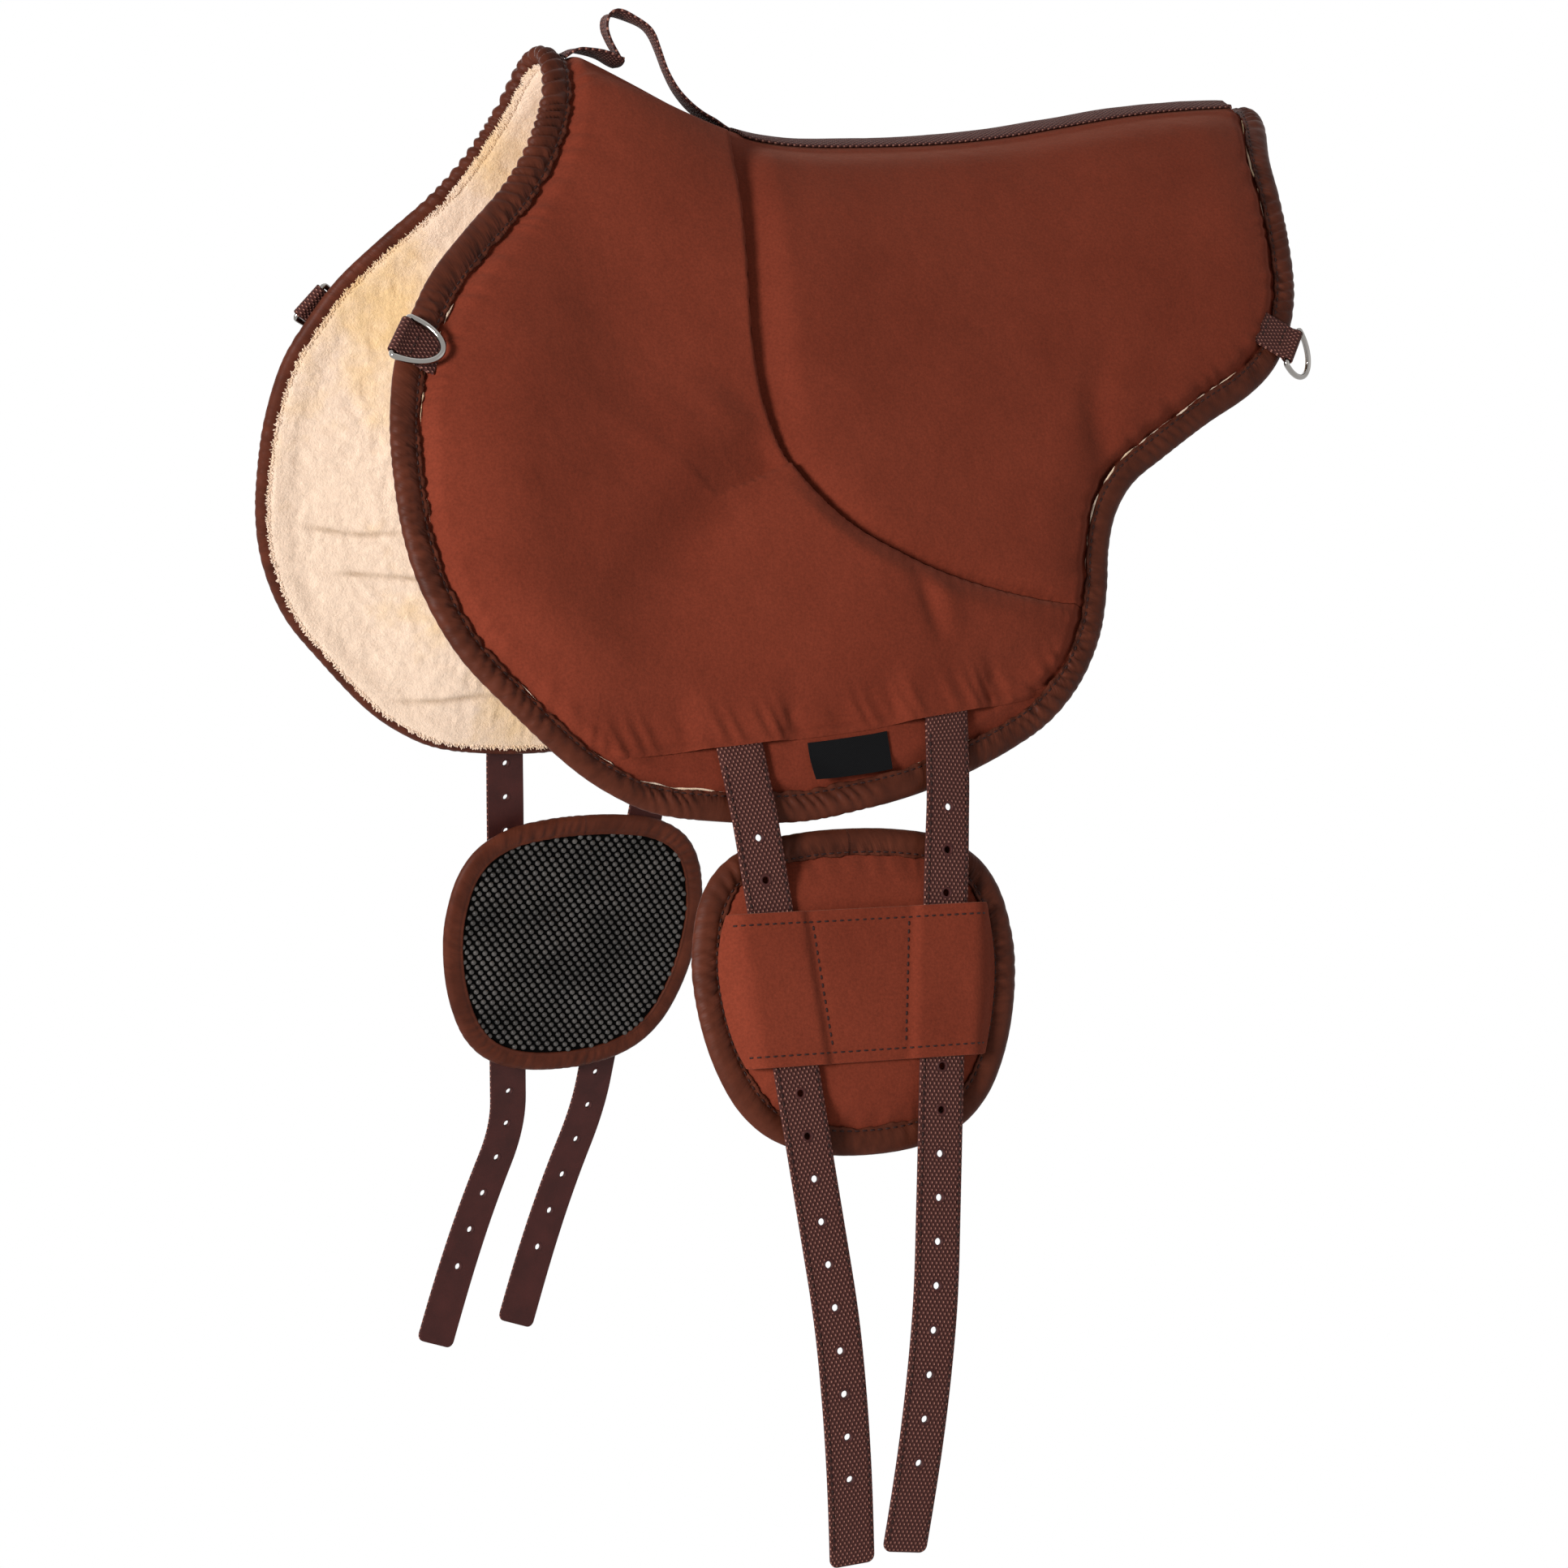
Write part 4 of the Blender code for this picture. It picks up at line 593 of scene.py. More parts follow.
class Flap:
    """Pattern of one flap and the heights of its layers, the same for both sides."""

    def __init__(self):
        self.coarse = curve_through(scaled(OUTLINE_SHARES), OUTLINE_STEP)
        self.coarse_normals = self.squared_off(left_normals(self.coarse))
        self.outline = curve_through(scaled(OUTLINE_SHARES), step=0.005)
        self.normals = self.squared_off(left_normals(self.outline))
        self.tape_line = curve_through(self.outline, TAPE_STEP)
        self.tape_normals = self.squared_off(left_normals(self.tape_line))
        self.seam = curve_through(scaled(SEAM_SHARES), step=0.006)

    @staticmethod
    def squared_off(normals):
        """Both ends of the outline meet the spine squarely."""
        normals[0], normals[-1] = (1.0, 0.0), (-1.0, 0.0)
        return normals

    @staticmethod
    def fold_height(x):
        """Pattern height s of the padding's lower edge at x."""
        return value_at(scaled(FOLD_SHARES), x)

    @staticmethod
    def over_strap(x):
        """1 over a girth strap, 0 away from it."""
        away = np.minimum(abs(x - STRAP_FRONT_X), abs(x - STRAP_REAR_X))
        return 1.0 - smooth_step(away, WEB_WIDTH / 2 + SEAM_REACH / 2,
                                 WEB_WIDTH / 2 + 2 * SEAM_REACH)

    def lining_top(self, edge):
        """The fleece is pressed thin under the binding."""
        rise = smooth_step(edge, BINDING_WIDTH, BINDING_WIDTH + CROWN_RISE)
        return LINING_EDGE + (LINING_THICK - LINING_EDGE) * rise

    @staticmethod
    def foam(p, edge, seam, seam_run, sewn):
        """Thickness of the foam; sewn gives it the pull of seam, binding and spine webbing."""
        crest = smooth_step(p[:, 1], SPINE_BARE, SPINE_CREST)
        if sewn:
            upper = 1.0 - smooth_step(seam_run, *SEAM_TURN)
            crown = swell(edge - BINDING_WIDTH, run=1.6 * CROWN_RUN, power=2.1)
            reach = np.where(seam > 0.0, SEAT_SWELL, FRONT_SWELL - UPPER_SWELL_LESS * upper)
            beside = swell(abs(seam), reach, power=2.4)
            slow = smooth_step(seam, start=0.001, end=0.030)
            beside = np.where(seam > 0.0, beside + (slow - beside) * upper, beside)
            low = FOAM_SEAM * smooth_step(abs(seam), start=0.0, end=0.007)
            low = np.where(seam > 0.0, low * (1.0 - 0.8 * upper), low)
            low_crest = smooth_step(p[:, 1], SPINE_WEB_SPREAD - 0.003, 1.5 * SPINE_CREST)
            crest = np.where(seam > 0.0, low_crest, crest)
        else:
            crown = smooth_step(edge, BINDING_WIDTH, BINDING_WIDTH + CROWN_RUN)
            beside = smooth_step(abs(seam), 0.0, SEAM_REACH)
            low = FOAM_SEAM
        full = FOAM_THICK * crown
        return (np.minimum(full, low) + np.maximum(full - low, 0.0) * beside) * crest

    def cover_height(self, p, detail=None):
        """Height of the padded panels' outside; detail adds folds and gathers."""
        edge, run = nearest(self.outline, p)
        seam, seam_run = nearest(self.seam, p)
        fold = self.fold_height(p[:, 0]) - p[:, 1]
        over_strap = self.over_strap(p[:, 0])
        full = self.foam(p, edge, seam, seam_run, sewn=detail is not None)
        stop = MARGIN_THICK + 2 * STRAP_LIFT + STRAP_THICK - LAYER_GAP
        stop = stop * smooth_step(edge, BINDING_WIDTH, BINDING_WIDTH + CROWN_RISE) * over_strap
        fullness = smooth_step(fold, 0.35 * PADDING_STOP, 1.6 * PADDING_STOP)
        full = np.maximum(stop + (full - stop) * fullness, FOAM_EDGE)
        height = self.lining_top(edge) + 2 * LAYER_GAP + COVER_THICK + full
        if detail is None:
            return height
        height += self.folds(p, edge, run, seam, seam_run, fold, detail)
        height -= BINDING_GROOVE * bell(edge, centre=0.0160, width=0.0028)
        height -= FOLD_GROOVE * bell(fold, centre=0.0072, width=0.0020) * (1.0 - over_strap)
        # The lower edge rolls in to the margin
        margin = self.lining_top(edge) + LAYER_GAP + MARGIN_THICK
        margin = margin + over_strap * (STRAP_THICK + 2 * STRAP_LIFT + LAYER_GAP)
        roll = np.clip(fold / FOLD_ROLL, 0.0, 1.0)
        rounded = np.sqrt(np.maximum(1.0 - (1.0 - roll) ** 2, 0.0))
        return np.where(fold < FOLD_ROLL, margin + (height - margin) * rounded, height)

    @staticmethod
    def folds(p, edge, run, seam, seam_run, fold, detail):
        """Soft folds, creases and gathers of the padded panels."""
        front = seam < 0.0
        lower = smooth_step(seam_run, *SEAM_TURN)
        # Valley from the seam to the girth straps, with a swollen ridge beside it
        across, along = nearest(curve_through(VALLEY, step=0.006), p)
        fade = smooth_step(along, 0.0, 0.03) * (1.0 - smooth_step(along, 0.13, 0.205))
        valley = 0.70 * bell(across, centre=-0.036, width=0.022) * fade
        valley -= bell(across, centre=0.0, width=0.020) * (0.35 + 0.65 * fade)
        valley *= detail.valley * smooth_step(abs(seam), start=0.0, end=0.02)
        # Crease above the straps, and a longer one on the seat
        across, along = nearest(curve_through(CREASE, step=0.004), p)
        crease = CREASE_RIDGE * bell(across, centre=0.012, width=0.009)
        crease -= CREASE_DEPTH * bell(across, centre=0.0, width=0.0060)
        crease *= np.sin(np.pi * np.clip(along / CREASE_LENGTH, 0.0, 1.0))
        across, along = nearest(curve_through(REAR_CREASE, step=0.005), p)
        rear_crease = -REAR_CREASE_DEPTH * bell(across, centre=0.0, width=0.013)
        rear_crease *= np.sin(np.pi * np.clip(along / REAR_CREASE_LENGTH, 0.0, 1.0))
        # The padding stands fullest well inside the binding, the seam and the lower edge
        pillow = smooth_step(edge, BINDING_WIDTH - 0.004, 0.080)
        pillow *= smooth_step(run, start=0.12, end=0.26)
        pillow *= 1.0 - lower * (1.0 - smooth_step(abs(seam), start=0.0, end=0.022))
        pillow *= PILLOW_LOFT * smooth_step(fold, start=0.0, end=0.09)
        # The seat's upper edge frays a little beside the spine webbing
        fray = FRAY * (0.5 + 0.5 * layered_noise(p * (1.0, 0.0), 0.006, 81))
        fray *= bell(p[:, 1], centre=SPINE_WEB_SPREAD + 0.003, width=0.0014)
        total = np.where(front, valley + crease + pillow, rear_crease + fray)
        # Gathers along the seam, the lower edge and the binding
        reach = np.exp(-abs(seam) / np.where(front, 0.0075, 0.004))
        total += (SEAM_GATHER * (0.25 + 0.75 * lower) * reach
                  * ripples(seam_run, period=0.0085, unrest=0.8, cell=0.02, seed=11))
        total += (FOLD_GATHER * bell(fold, centre=0.012, width=0.014)
                  * ripples(p[:, 0] + 0.4 * fold, period=0.016, unrest=1.3, cell=0.03, seed=31,
                            level=0.3))
        total += (EDGE_GATHER * bell(edge, centre=0.021, width=0.008)
                  * ripples(run + 0.5 * edge, period=0.019, unrest=1.5, cell=0.035, seed=47,
                            level=0.7))
        inner = smooth_step(edge, BINDING_WIDTH + 0.008, BINDING_WIDTH + 0.045)
        inner *= smooth_step(p[:, 1], start=0.02, end=0.06)
        total += CRUMPLE * layered_noise(p, 0.115, 61) * inner
        return total + FINE_CRUMPLE * layered_noise(p, 0.028, 71) * inner


FLAP = Flap()


# Meshes

def add_object(name, mesh, material, creases=None):
    """Smooth object of a mesh, with edges sharper than an angle kept crisp."""
    mesh.shade_smooth()
    if creases is not None:
        mesh.set_sharp_from_angle(angle=creases)
    mesh.materials.append(material)
    made = bpy.data.objects.new(name, mesh)
    bpy.context.scene.collection.objects.link(made)
    return made


def add_mesh(name, places, faces, material, uv=None, creases=None):
    """Mesh object from arrays of places and faces, with an optional map in metres."""
    mesh = bpy.data.meshes.new(name)
    mesh.from_pydata([tuple(p) for p in places], [], [tuple(f) for f in faces])
    mesh.update()
    if uv is not None:
        layer = mesh.uv_layers.new(name="UVMap")
        corners = np.empty(len(mesh.loops), dtype=np.int32)
        mesh.loops.foreach_get("vertex_index", corners)
        layer.data.foreach_set("uv", np.asarray(uv, dtype=np.float32)[corners].ravel())
    return add_object(name, mesh, material, creases)


def draped(name, places, material, uv=None, ring=False, closed=False, creases=None):
    """Grid drawn over rows of places; ring joins its two sides, closed its two ends.

    A ring whose ends stay open gets a cap on each.
    """
    def joined(values):
        if ring:
            values = np.concatenate([values, values[:, :1]], 1)
        return np.concatenate([values, values[:1]]) if closed else values

    places = joined(places)
    rows, columns = places.shape[:2]
    skin = bmesh.new()
    bmesh.ops.create_grid(skin, x_segments=columns - 1, y_segments=rows - 1, size=1.0)
    skin.verts.index_update()
    for vert, place in zip(skin.verts, places.reshape(-1, 3)):
        vert.co = place
    if uv is not None:
        flat = joined(uv).reshape(-1, 2)
        layer = skin.loops.layers.uv.new("UVMap")
        for face in skin.faces:
            for corner in face.loops:
                corner[layer].uv = flat[corner.vert.index]
    if ring or closed:
        bmesh.ops.remove_doubles(skin, verts=skin.verts, dist=WELD)
    if ring and not closed:
        bmesh.ops.holes_fill(skin, edges=skin.edges)
    mesh = bpy.data.meshes.new(name)
    skin.to_mesh(mesh)
    skin.free()
    return add_object(name, mesh, material, creases)


def sheet_grid(low, high, step, signed):
    """Square grid over a region, with its border drawn onto the region's edge.

    signed gives a place's distance inside the region.
    """
    xs = np.arange(low[0], high[0] + step, step)
    ys = np.arange(low[1], high[1] + step, step)
    p = np.stack(np.meshgrid(xs, ys), -1).reshape(-1, 2)
    depth = signed(p)
    border = np.abs(depth) < 0.62 * step
    q = p[border]
    e = 0.05 * step
    slope = np.stack([signed(q + (e, 0.0)) - signed(q - (e, 0.0)),
                      signed(q + (0.0, e)) - signed(q - (0.0, e))], 1)
    slope /= np.maximum(np.linalg.norm(slope, axis=1, keepdims=True), 1e-9)
    p[border] = q - slope * depth[border, None]
    depth[border] = 0.0
    count = len(xs)
    k = (np.arange(len(ys) - 1)[:, None] * count + np.arange(count - 1)).ravel()
    cells = np.stack([k, k + 1, k + count + 1, k + count], 1)
    within = depth[cells] >= 0.0
    some = (depth[cells] > 0.0).any(1)
    quads = cells[within.all(1) & some]
    partial = (within.sum(1) == 3) & some
    triples = [[c for c, w in zip(cell, row) if w]
               for cell, row in zip(cells[partial], within[partial])]
    faces = [tuple(f) for f in quads.tolist()] + [tuple(f) for f in triples]
    used = np.unique(np.concatenate([quads.ravel(), np.array(triples, dtype=int).ravel()]))
    renumber = np.full(len(p), -1)
    renumber[used] = np.arange(len(used))
    return p[used], [tuple(renumber[i] for i in f) for f in faces]


def grid_faces(rows, columns, wrap_rows=False, wrap_columns=False):
    """Faces of a grid of rows by columns."""
    faces = []
    for i in range(rows if wrap_rows else rows - 1):
        for k in range(columns if wrap_columns else columns - 1):
            i1, k1 = (i + 1) % rows, (k + 1) % columns
            faces.append((i * columns + k, i * columns + k1, i1 * columns + k1, i1 * columns + k))
    return faces


def spike_faces(rows, sides):
    """Faces of a row of rings that a tip closes."""
    last = (rows - 1) * sides
    tip = [(last + k, last + (k + 1) % sides, last + sides) for k in range(sides)]
    return grid_faces(rows, sides, wrap_columns=True) + tip


def repeated(faces, count, per):
    """The same faces for each of many like pieces with per places each."""
    return [tuple(n * per + v for v in face) for n in range(count) for face in faces]


def pattern_mesh(outline, holes, spacing):
    """Triangles of a flat outline with holes, with places inside at a spacing."""
    corners = [Vector(p) for p in outline]
    edges = [(i, (i + 1) % len(corners)) for i in range(len(corners))]
    for hole in holes:
        start = len(corners)
        corners.extend(Vector(p) for p in hole)
        edges.extend((start + i, start + (i + 1) % len(hole)) for i in range(len(hole)))
    low, high = outline.min(0) + spacing / 2, outline.max(0) - spacing / 2
    centres = np.array([hole.mean(0) for hole in holes]) if len(holes) else np.zeros((0, 2))
    radii = [np.linalg.norm(hole[0] - hole.mean(0)) for hole in holes]
    for y in np.arange(low[1], high[1], spacing):
        for x in np.arange(low[0], high[0] + 1e-6, spacing):
            away = np.linalg.norm(centres - (x, y), axis=1)
            if all(a > r + spacing * 0.3 for a, r in zip(away, radii)):
                corners.append(Vector((x, y)))
    places, _, faces, _, _, _ = delaunay_2d_cdt(corners, edges, [], 1, 1e-7)
    places = np.array([tuple(p) for p in places])
    kept = []
    for face in faces:
        middle = places[list(face)].mean(0)
        away = np.linalg.norm(centres - middle, axis=1)
        if all(a > r * 0.97 for a, r in zip(away, radii)):
            kept.append(tuple(face))
    return places, kept


def slab(name, places, faces, put, low, high, material, round_edge):
    """Thin closed sheet over a flat pattern, with slightly rounded edges."""
    used = dict.fromkeys((f[i], f[(i + 1) % len(f)]) for f in faces for i in range(len(f)))
    border = [(a, b) for a, b in used if (b, a) not in used]
    inward = np.zeros_like(places)
    for a, b in border:
        along = places[b] - places[a]
        normal = np.array((-along[1], along[0])) / max(np.linalg.norm(along), 1e-9)
        inward[a] += normal
        inward[b] += normal
    size = np.linalg.norm(inward, axis=1, keepdims=True)
    inward = inward / np.maximum(size, 1e-9) * (size > 0.0)
    count = len(places)
    inset = places + inward * round_edge
    middle = (low + high) / 2
    rings = [put(inset, low), put(inset, high), put(places, middle)]
    solid = [tuple(reversed(f)) for f in faces]
    solid += [tuple(i + count for i in f) for f in faces]
    for a, b in border:
        solid.append((a, b, b + 2 * count, a + 2 * count))
        solid.append((a + 2 * count, b + 2 * count, b + count, a + count))
    a, b, c = faces[len(faces) // 2][:3]
    turn = np.cross(rings[1][b] - rings[1][a], rings[1][c] - rings[1][a])
    if turn.dot(rings[1][a] - rings[0][a]) < 0.0:
        solid = [tuple(reversed(f)) for f in solid]
    flat = np.concatenate([places, places, places])
    return add_mesh(name, np.concatenate(rings), solid, material, flat, SHEET_CREASE)


def along_line(at, run, values):
    """Values on a line's points, read at a length along it."""
    return np.array([np.interp(at, run, values[:, k]) for k in range(values.shape[1])])


def stitches(name, rows, detail, body):
    """Thread along rows of (places, normals), each stitch dipping into the cloth at its ends."""
    pitch = detail.stitch + detail.stitch_gap
    radius = detail.stitch_radius
    places = []
    for line, normals in rows:
        run = arc_lengths(line)
        for start in np.arange(detail.stitch_gap, run[-1] - detail.stitch, pitch):
            for share, rise, width in STITCH_PROFILE:
                at = start + share * detail.stitch
                up = unit(along_line(at, run, normals))
                ahead = (along_line(at + STITCH_LOOK, run, line)
                         - along_line(at - STITCH_LOOK, run, line))
                across = np.cross(ahead, up)
                across /= max(np.linalg.norm(across), 1e-12)
                centre = along_line(at, run, line) + up * (radius * rise)
                for turn in circle_turns(STITCH_SIDES):
                    places.append(centre + (across * math.cos(turn) * STITCH_FLAT
                                            + up * math.sin(turn)) * radius * width)
    per = len(STITCH_PROFILE) * STITCH_SIDES
    stitch = grid_faces(len(STITCH_PROFILE), STITCH_SIDES, wrap_columns=True)
    stitch += [tuple(reversed(range(STITCH_SIDES))), tuple(range(per - STITCH_SIDES, per))]
    made = add_mesh(name, places, repeated(stitch, len(places) // per, per), finish_of("thread"))
    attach(made, body)


# Materials

def rgba(colour):
    """Colour with its alpha, or the socket that brings one."""
    return colour if isinstance(colour, bpy.types.NodeSocket) else (*colour, 1.0)


def add_node(tree, kind, inputs=None, output=0, **settings):
    """New node with its settings and links; gives one of its outputs."""
    node = tree.nodes.new(kind)
    for key, value in settings.items():
        setattr(node, key, value)
    for key, value in (inputs or {}).items():
        if isinstance(value, bpy.types.NodeSocket):
            tree.links.new(value, node.inputs[key])
        else:
            node.inputs[key].default_value = value
    return node.outputs[output]


class Finish:
    """Node tree of one material."""

    def __init__(self, name, roughness, **settings):
        self.made = bpy.data.materials.new(name)
        self.made.use_nodes = True
        self.tree = self.made.node_tree
        self.shader = self.tree.nodes["Principled BSDF"]
        self.shader.inputs["Roughness"].default_value = roughness
        for socket, value in settings.items():
            self.shader.inputs[socket.replace("_", " ")].default_value = value

    def places(self):
        """Places on the object, in metres."""
        return add_node(self.tree, "ShaderNodeTexCoord", output="Object")

    def plan(self):
        """Places on the cloth's flat pattern, in metres."""
        return add_node(self.tree, "ShaderNodeUVMap", uv_map="UVMap")

    def stretched(self, plan, across, down, turn=0.0):
        """Places counted in cells of the given width and length, turned by an angle."""
        return add_node(self.tree, "ShaderNodeMapping", {
            "Vector": plan, "Rotation": (0.0, 0.0, turn), "Scale": (across, down, 1.0)},
            vector_type="TEXTURE")

    def noise(self, places, cell, detail=2.0, roughness=0.5):
        """Cloudy pattern from 0 to 1, with cells of the given width."""
        return add_node(self.tree, "ShaderNodeTexNoise", {
            "Vector": places, "Scale": 1.0 / cell, "Detail": detail, "Roughness": roughness})

    def spread(self, value, low, high, to_low=0.0, to_high=1.0):
        """Value moved from one range to another."""
        return add_node(self.tree, "ShaderNodeMapRange", {
            "Value": value, "From Min": low, "From Max": high, "To Min": to_low,
            "To Max": to_high})

    def maths(self, operation, *values):
        """Sum, product or function of values."""
        return add_node(self.tree, "ShaderNodeMath", dict(enumerate(values)),
                        operation=operation)

    def axis(self, places, index):
        """One coordinate of places."""
        return add_node(self.tree, "ShaderNodeSeparateXYZ", {"Vector": places}, index)

    def mixed(self, share, first, second, **settings):
        """Colour between two others."""
        return add_node(self.tree, "ShaderNodeMix", {0: share, 6: rgba(first), 7: rgba(second)},
                        2, data_type="RGBA", **settings)

    def shaded(self, colour, shade):
        """Colour times a shade."""
        return self.mixed(1.0, colour, shade, blend_type="MULTIPLY")

    def weave(self, plan, across, down):
        """Threads that rise in offset rows, at a pitch across and a pitch down the cloth."""
        waves = [self.maths("SINE", self.maths("MULTIPLY", self.axis(plan, index),
                                               math.tau / pitch))
                 for index, pitch in enumerate((across, down))]
        return self.maths("MULTIPLY", *waves)

    def bump(self, height, strength, distance, **under):
        """Normal bent by a height, over another Normal where one is given."""
        return add_node(self.tree, "ShaderNodeBump", {
            "Height": height, "Strength": strength, "Distance": distance, **under})

    def finish(self, colour, normal=None):
        """Connect colour and normal to the shader."""
        if isinstance(colour, bpy.types.NodeSocket):
            self.tree.links.new(colour, self.shader.inputs["Base Color"])
        else:
            self.shader.inputs["Base Color"].default_value = rgba(colour)
        if normal is not None:
            self.tree.links.new(normal, self.shader.inputs["Normal"])
        return self.made


def suede_material(colours):
    """Microfibre suede: matt, a little darker where its nap was stroked the other way."""
    f = Finish("microfibre_suede", 0.92, Sheen_Weight=0.10, Sheen_Roughness=0.5,
               Sheen_Tint=(0.90, 0.42, 0.28, 1.0), Specular_IOR_Level=0.12)
    places = f.places()
    # Stroked patches are about a hand's breadth wide
    strokes = f.spread(f.noise(places, 0.095, 4.0, 0.6), 0.38, 0.66)
    colour = f.mixed(strokes, colours.suede, colours.suede_dark)
    # The nap is finer than a pixel, so it is drawn at 1.7 mm
    nap = f.noise(places, 0.0017, 3.0, 0.6)
    colour = f.shaded(colour, f.spread(nap, 0.3, 0.7, 0.83, 1.14))
    crumple = f.noise(places, 0.014, 4.0)
    normal = f.bump(crumple, 0.5, 0.0018)
    return f.finish(colour, f.bump(nap, 0.4, 0.0004, Normal=normal))


def binding_material(colours):
    """Satin polyester tape: a soft shine that breaks up in the puckers of its sewn edge, whose
    shade and highlight are painted into the colour.
    """
    f = Finish("satin_tape", 0.46, Specular_IOR_Level=0.07)
    places, plan = f.places(), f.plan()
    tone = f.spread(f.noise(places, 0.022, 4.0, 0.6), 0.3, 0.7, 0.74, 1.30)
    colour = f.shaded(colours.binding, tone)
    # Puckers lie aslant over the tape, about 5 mm apart, and gather in patches; their shade is
    # painted into the colour
    puckers = f.noise(f.stretched(plan, 0.005, 0.022, turn=0.4), 1.0)
    patches = f.spread(f.noise(places, 0.06, 1.0), 0.36, 0.58, 0.2, 1.0)
    # The sewn edge is puckered most, and the roll outside it lies smoother
    tight = f.spread(f.axis(plan, 1), 0.006, 0.012, 1.0, 0.3)
    patches = f.maths("MULTIPLY", patches, tight)
    # Painted shade in the puckers' valleys and painted highlight on their ridges; the same pattern
    # also bumps the normal
    shade = f.spread(puckers, 0.33, 0.62, 0.42, 1.28)
    shade = add_node(f.tree, "ShaderNodeMix", {0: patches, 2: 1.0, 3: shade})
    colour = f.shaded(colour, shade)
    # Ribs of the weave, 1.1 mm apart and 8 mm long
    ribs = f.noise(f.stretched(plan, 0.0011, 0.008), 1.0)
    normal = f.bump(shade, 0.9, 0.0011)
    return f.finish(colour, f.bump(ribs, 0.3, 0.00025, Normal=normal))


def webbing_material(colours):
    """Woven polypropylene webbing: paler raised threads in offset rows over dark ones."""
    f = Finish("woven_webbing", 0.75, Specular_IOR_Level=0.18)
    plan = f.plan()
    # Real threads are 2.7 mm apart and the rows 1.9 mm, drawn a little coarser so they show
    weave = f.weave(plan, 0.0029, 0.0047)
    fuzz = f.noise(plan, 0.0013)
    raised = f.maths("MULTIPLY", f.spread(weave, 0.40, 0.92), f.spread(fuzz, 0.3, 0.7, 0.5, 1.0))
    colour = f.mixed(raised, colours.webbing, colours.fleck)
    normal = f.bump(weave, 0.8, 0.0006)
    return f.finish(colour, f.bump(fuzz, 0.35, 0.0003, Normal=normal))


def backing_material(colours):
    """Coated polyester: smooth and dull, with faint rubbed patches."""
    f = Finish("coated_backing", 0.62, Specular_IOR_Level=0.2)
    places = f.places()
    tone = f.spread(f.noise(places, 0.017, 3.0), 0.3, 0.7, 0.8, 1.2)
    grain = f.noise(places, 0.0011)
    return f.finish(f.shaded(colours.backing, tone), f.bump(grain, 0.3, 0.0003))


def fleece_material(colours):
    """Sheared acrylic pile: cream, with tan tips where it was brushed the other way."""
    f = Finish("acrylic_fleece", 1.0, Sheen_Weight=0.15, Sheen_Roughness=0.6,
               Specular_IOR_Level=0.05)
    places = f.places()
    brushed = f.spread(f.noise(places, 0.11, 5.0, 0.62), 0.46, 0.66)
    colour = f.mixed(brushed, colours.fleece, colours.fleece_tan)
    # Clumps of pile are about 4 mm wide
    clumps = f.noise(places, 0.004, 3.0, 0.6)
    colour = f.shaded(colour, f.spread(clumps, 0.25, 0.75, 0.89, 1.05))
    # Along the lining's seams, where the pile parts, the colour is painted darker: painted shade
    # in the parting
    seam = add_node(f.tree, "ShaderNodeAttribute", output=2, attribute_name="seam")
    colour = f.mixed(seam, colour, colours.fleece_seam_shade)
    fibres = f.noise(places, 0.0019, 4.0, 0.65)
    return f.finish(colour, f.bump(fibres, 0.6, 0.0013))


def knob_material(colours):
    """Moulded soft PVC: black, coloured dark grey as painted light on the knobs, with a gloss that
    glints on every knob.
    """
    f = Finish("moulded_mesh", 0.30, Specular_IOR_Level=0.24)
    places = f.places()
    tone = f.spread(f.noise(places, 0.03, 3.0), 0.3, 0.7, 0.6, 1.5)
    grain = f.noise(places, 0.0009)
    return f.finish(f.shaded(colours.knob, tone), f.bump(grain, 0.2, 0.0002))


def gap_shade_material(colours):
    """Cloth under the knobs: black and dull, painted darker than the knobs as painted shade
    between them, so the knobs stand out.
    """
    f = Finish("mesh_ground_painted_shade", 0.9, Specular_IOR_Level=0.02)
    grain = f.noise(f.places(), 0.0012)
    return f.finish(colours.ground, f.bump(grain, 0.3, 0.0002))


def nickel_material(colours):
    """Nickel-plated steel wire: a bright mirror with faint rub marks."""
    f = Finish("nickel_plating", 0.09, Metallic=1.0)
    rubbed = f.noise(f.places(), 0.0012, 3.0)
    return f.finish(colours.nickel, f.bump(rubbed, 0.08, 0.0002))


def thread_material(colours):
    """Polyester sewing thread: dark, with a slight shine on its twist."""
    f = Finish("sewing_thread", 0.6, Specular_IOR_Level=0.2)
    twist = f.noise(f.places(), 0.0004)
    return f.finish(colours.thread, f.bump(twist, 0.4, 0.0002))


def label_material(colours):
    """Bare black woven label: matt, with a fine even weave."""
    f = Finish("woven_label", 0.8, Specular_IOR_Level=0.06)
    # Threads of 0.5 mm are drawn at 1 mm so they show
    weave = f.weave(f.plan(), 0.0010, 0.0012)
    return f.finish(colours.label, f.bump(weave, 0.5, 0.0002))


MAKERS = {
    "suede": suede_material, "binding": binding_material, "webbing": webbing_material,
    "backing": backing_material, "fleece": fleece_material, "knob_mesh": knob_material,
    "ground": gap_shade_material, "nickel": nickel_material, "thread": thread_material,
    "label": label_material,
}
FINISHES = {}


def finish_of(name):
    """One of the pad's materials, made when it is first asked for."""
    if name not in FINISHES:
        FINISHES[name] = MAKERS[name](bpy.context.scene.pad_colours)
    return FINISHES[name]


def place_piece(piece, body, nodes=()):
    """Let a piece ride on a body and stand for CAD nodes."""
    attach(piece, body)
    if nodes:
        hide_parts(*nodes)
    return piece


# Girth straps

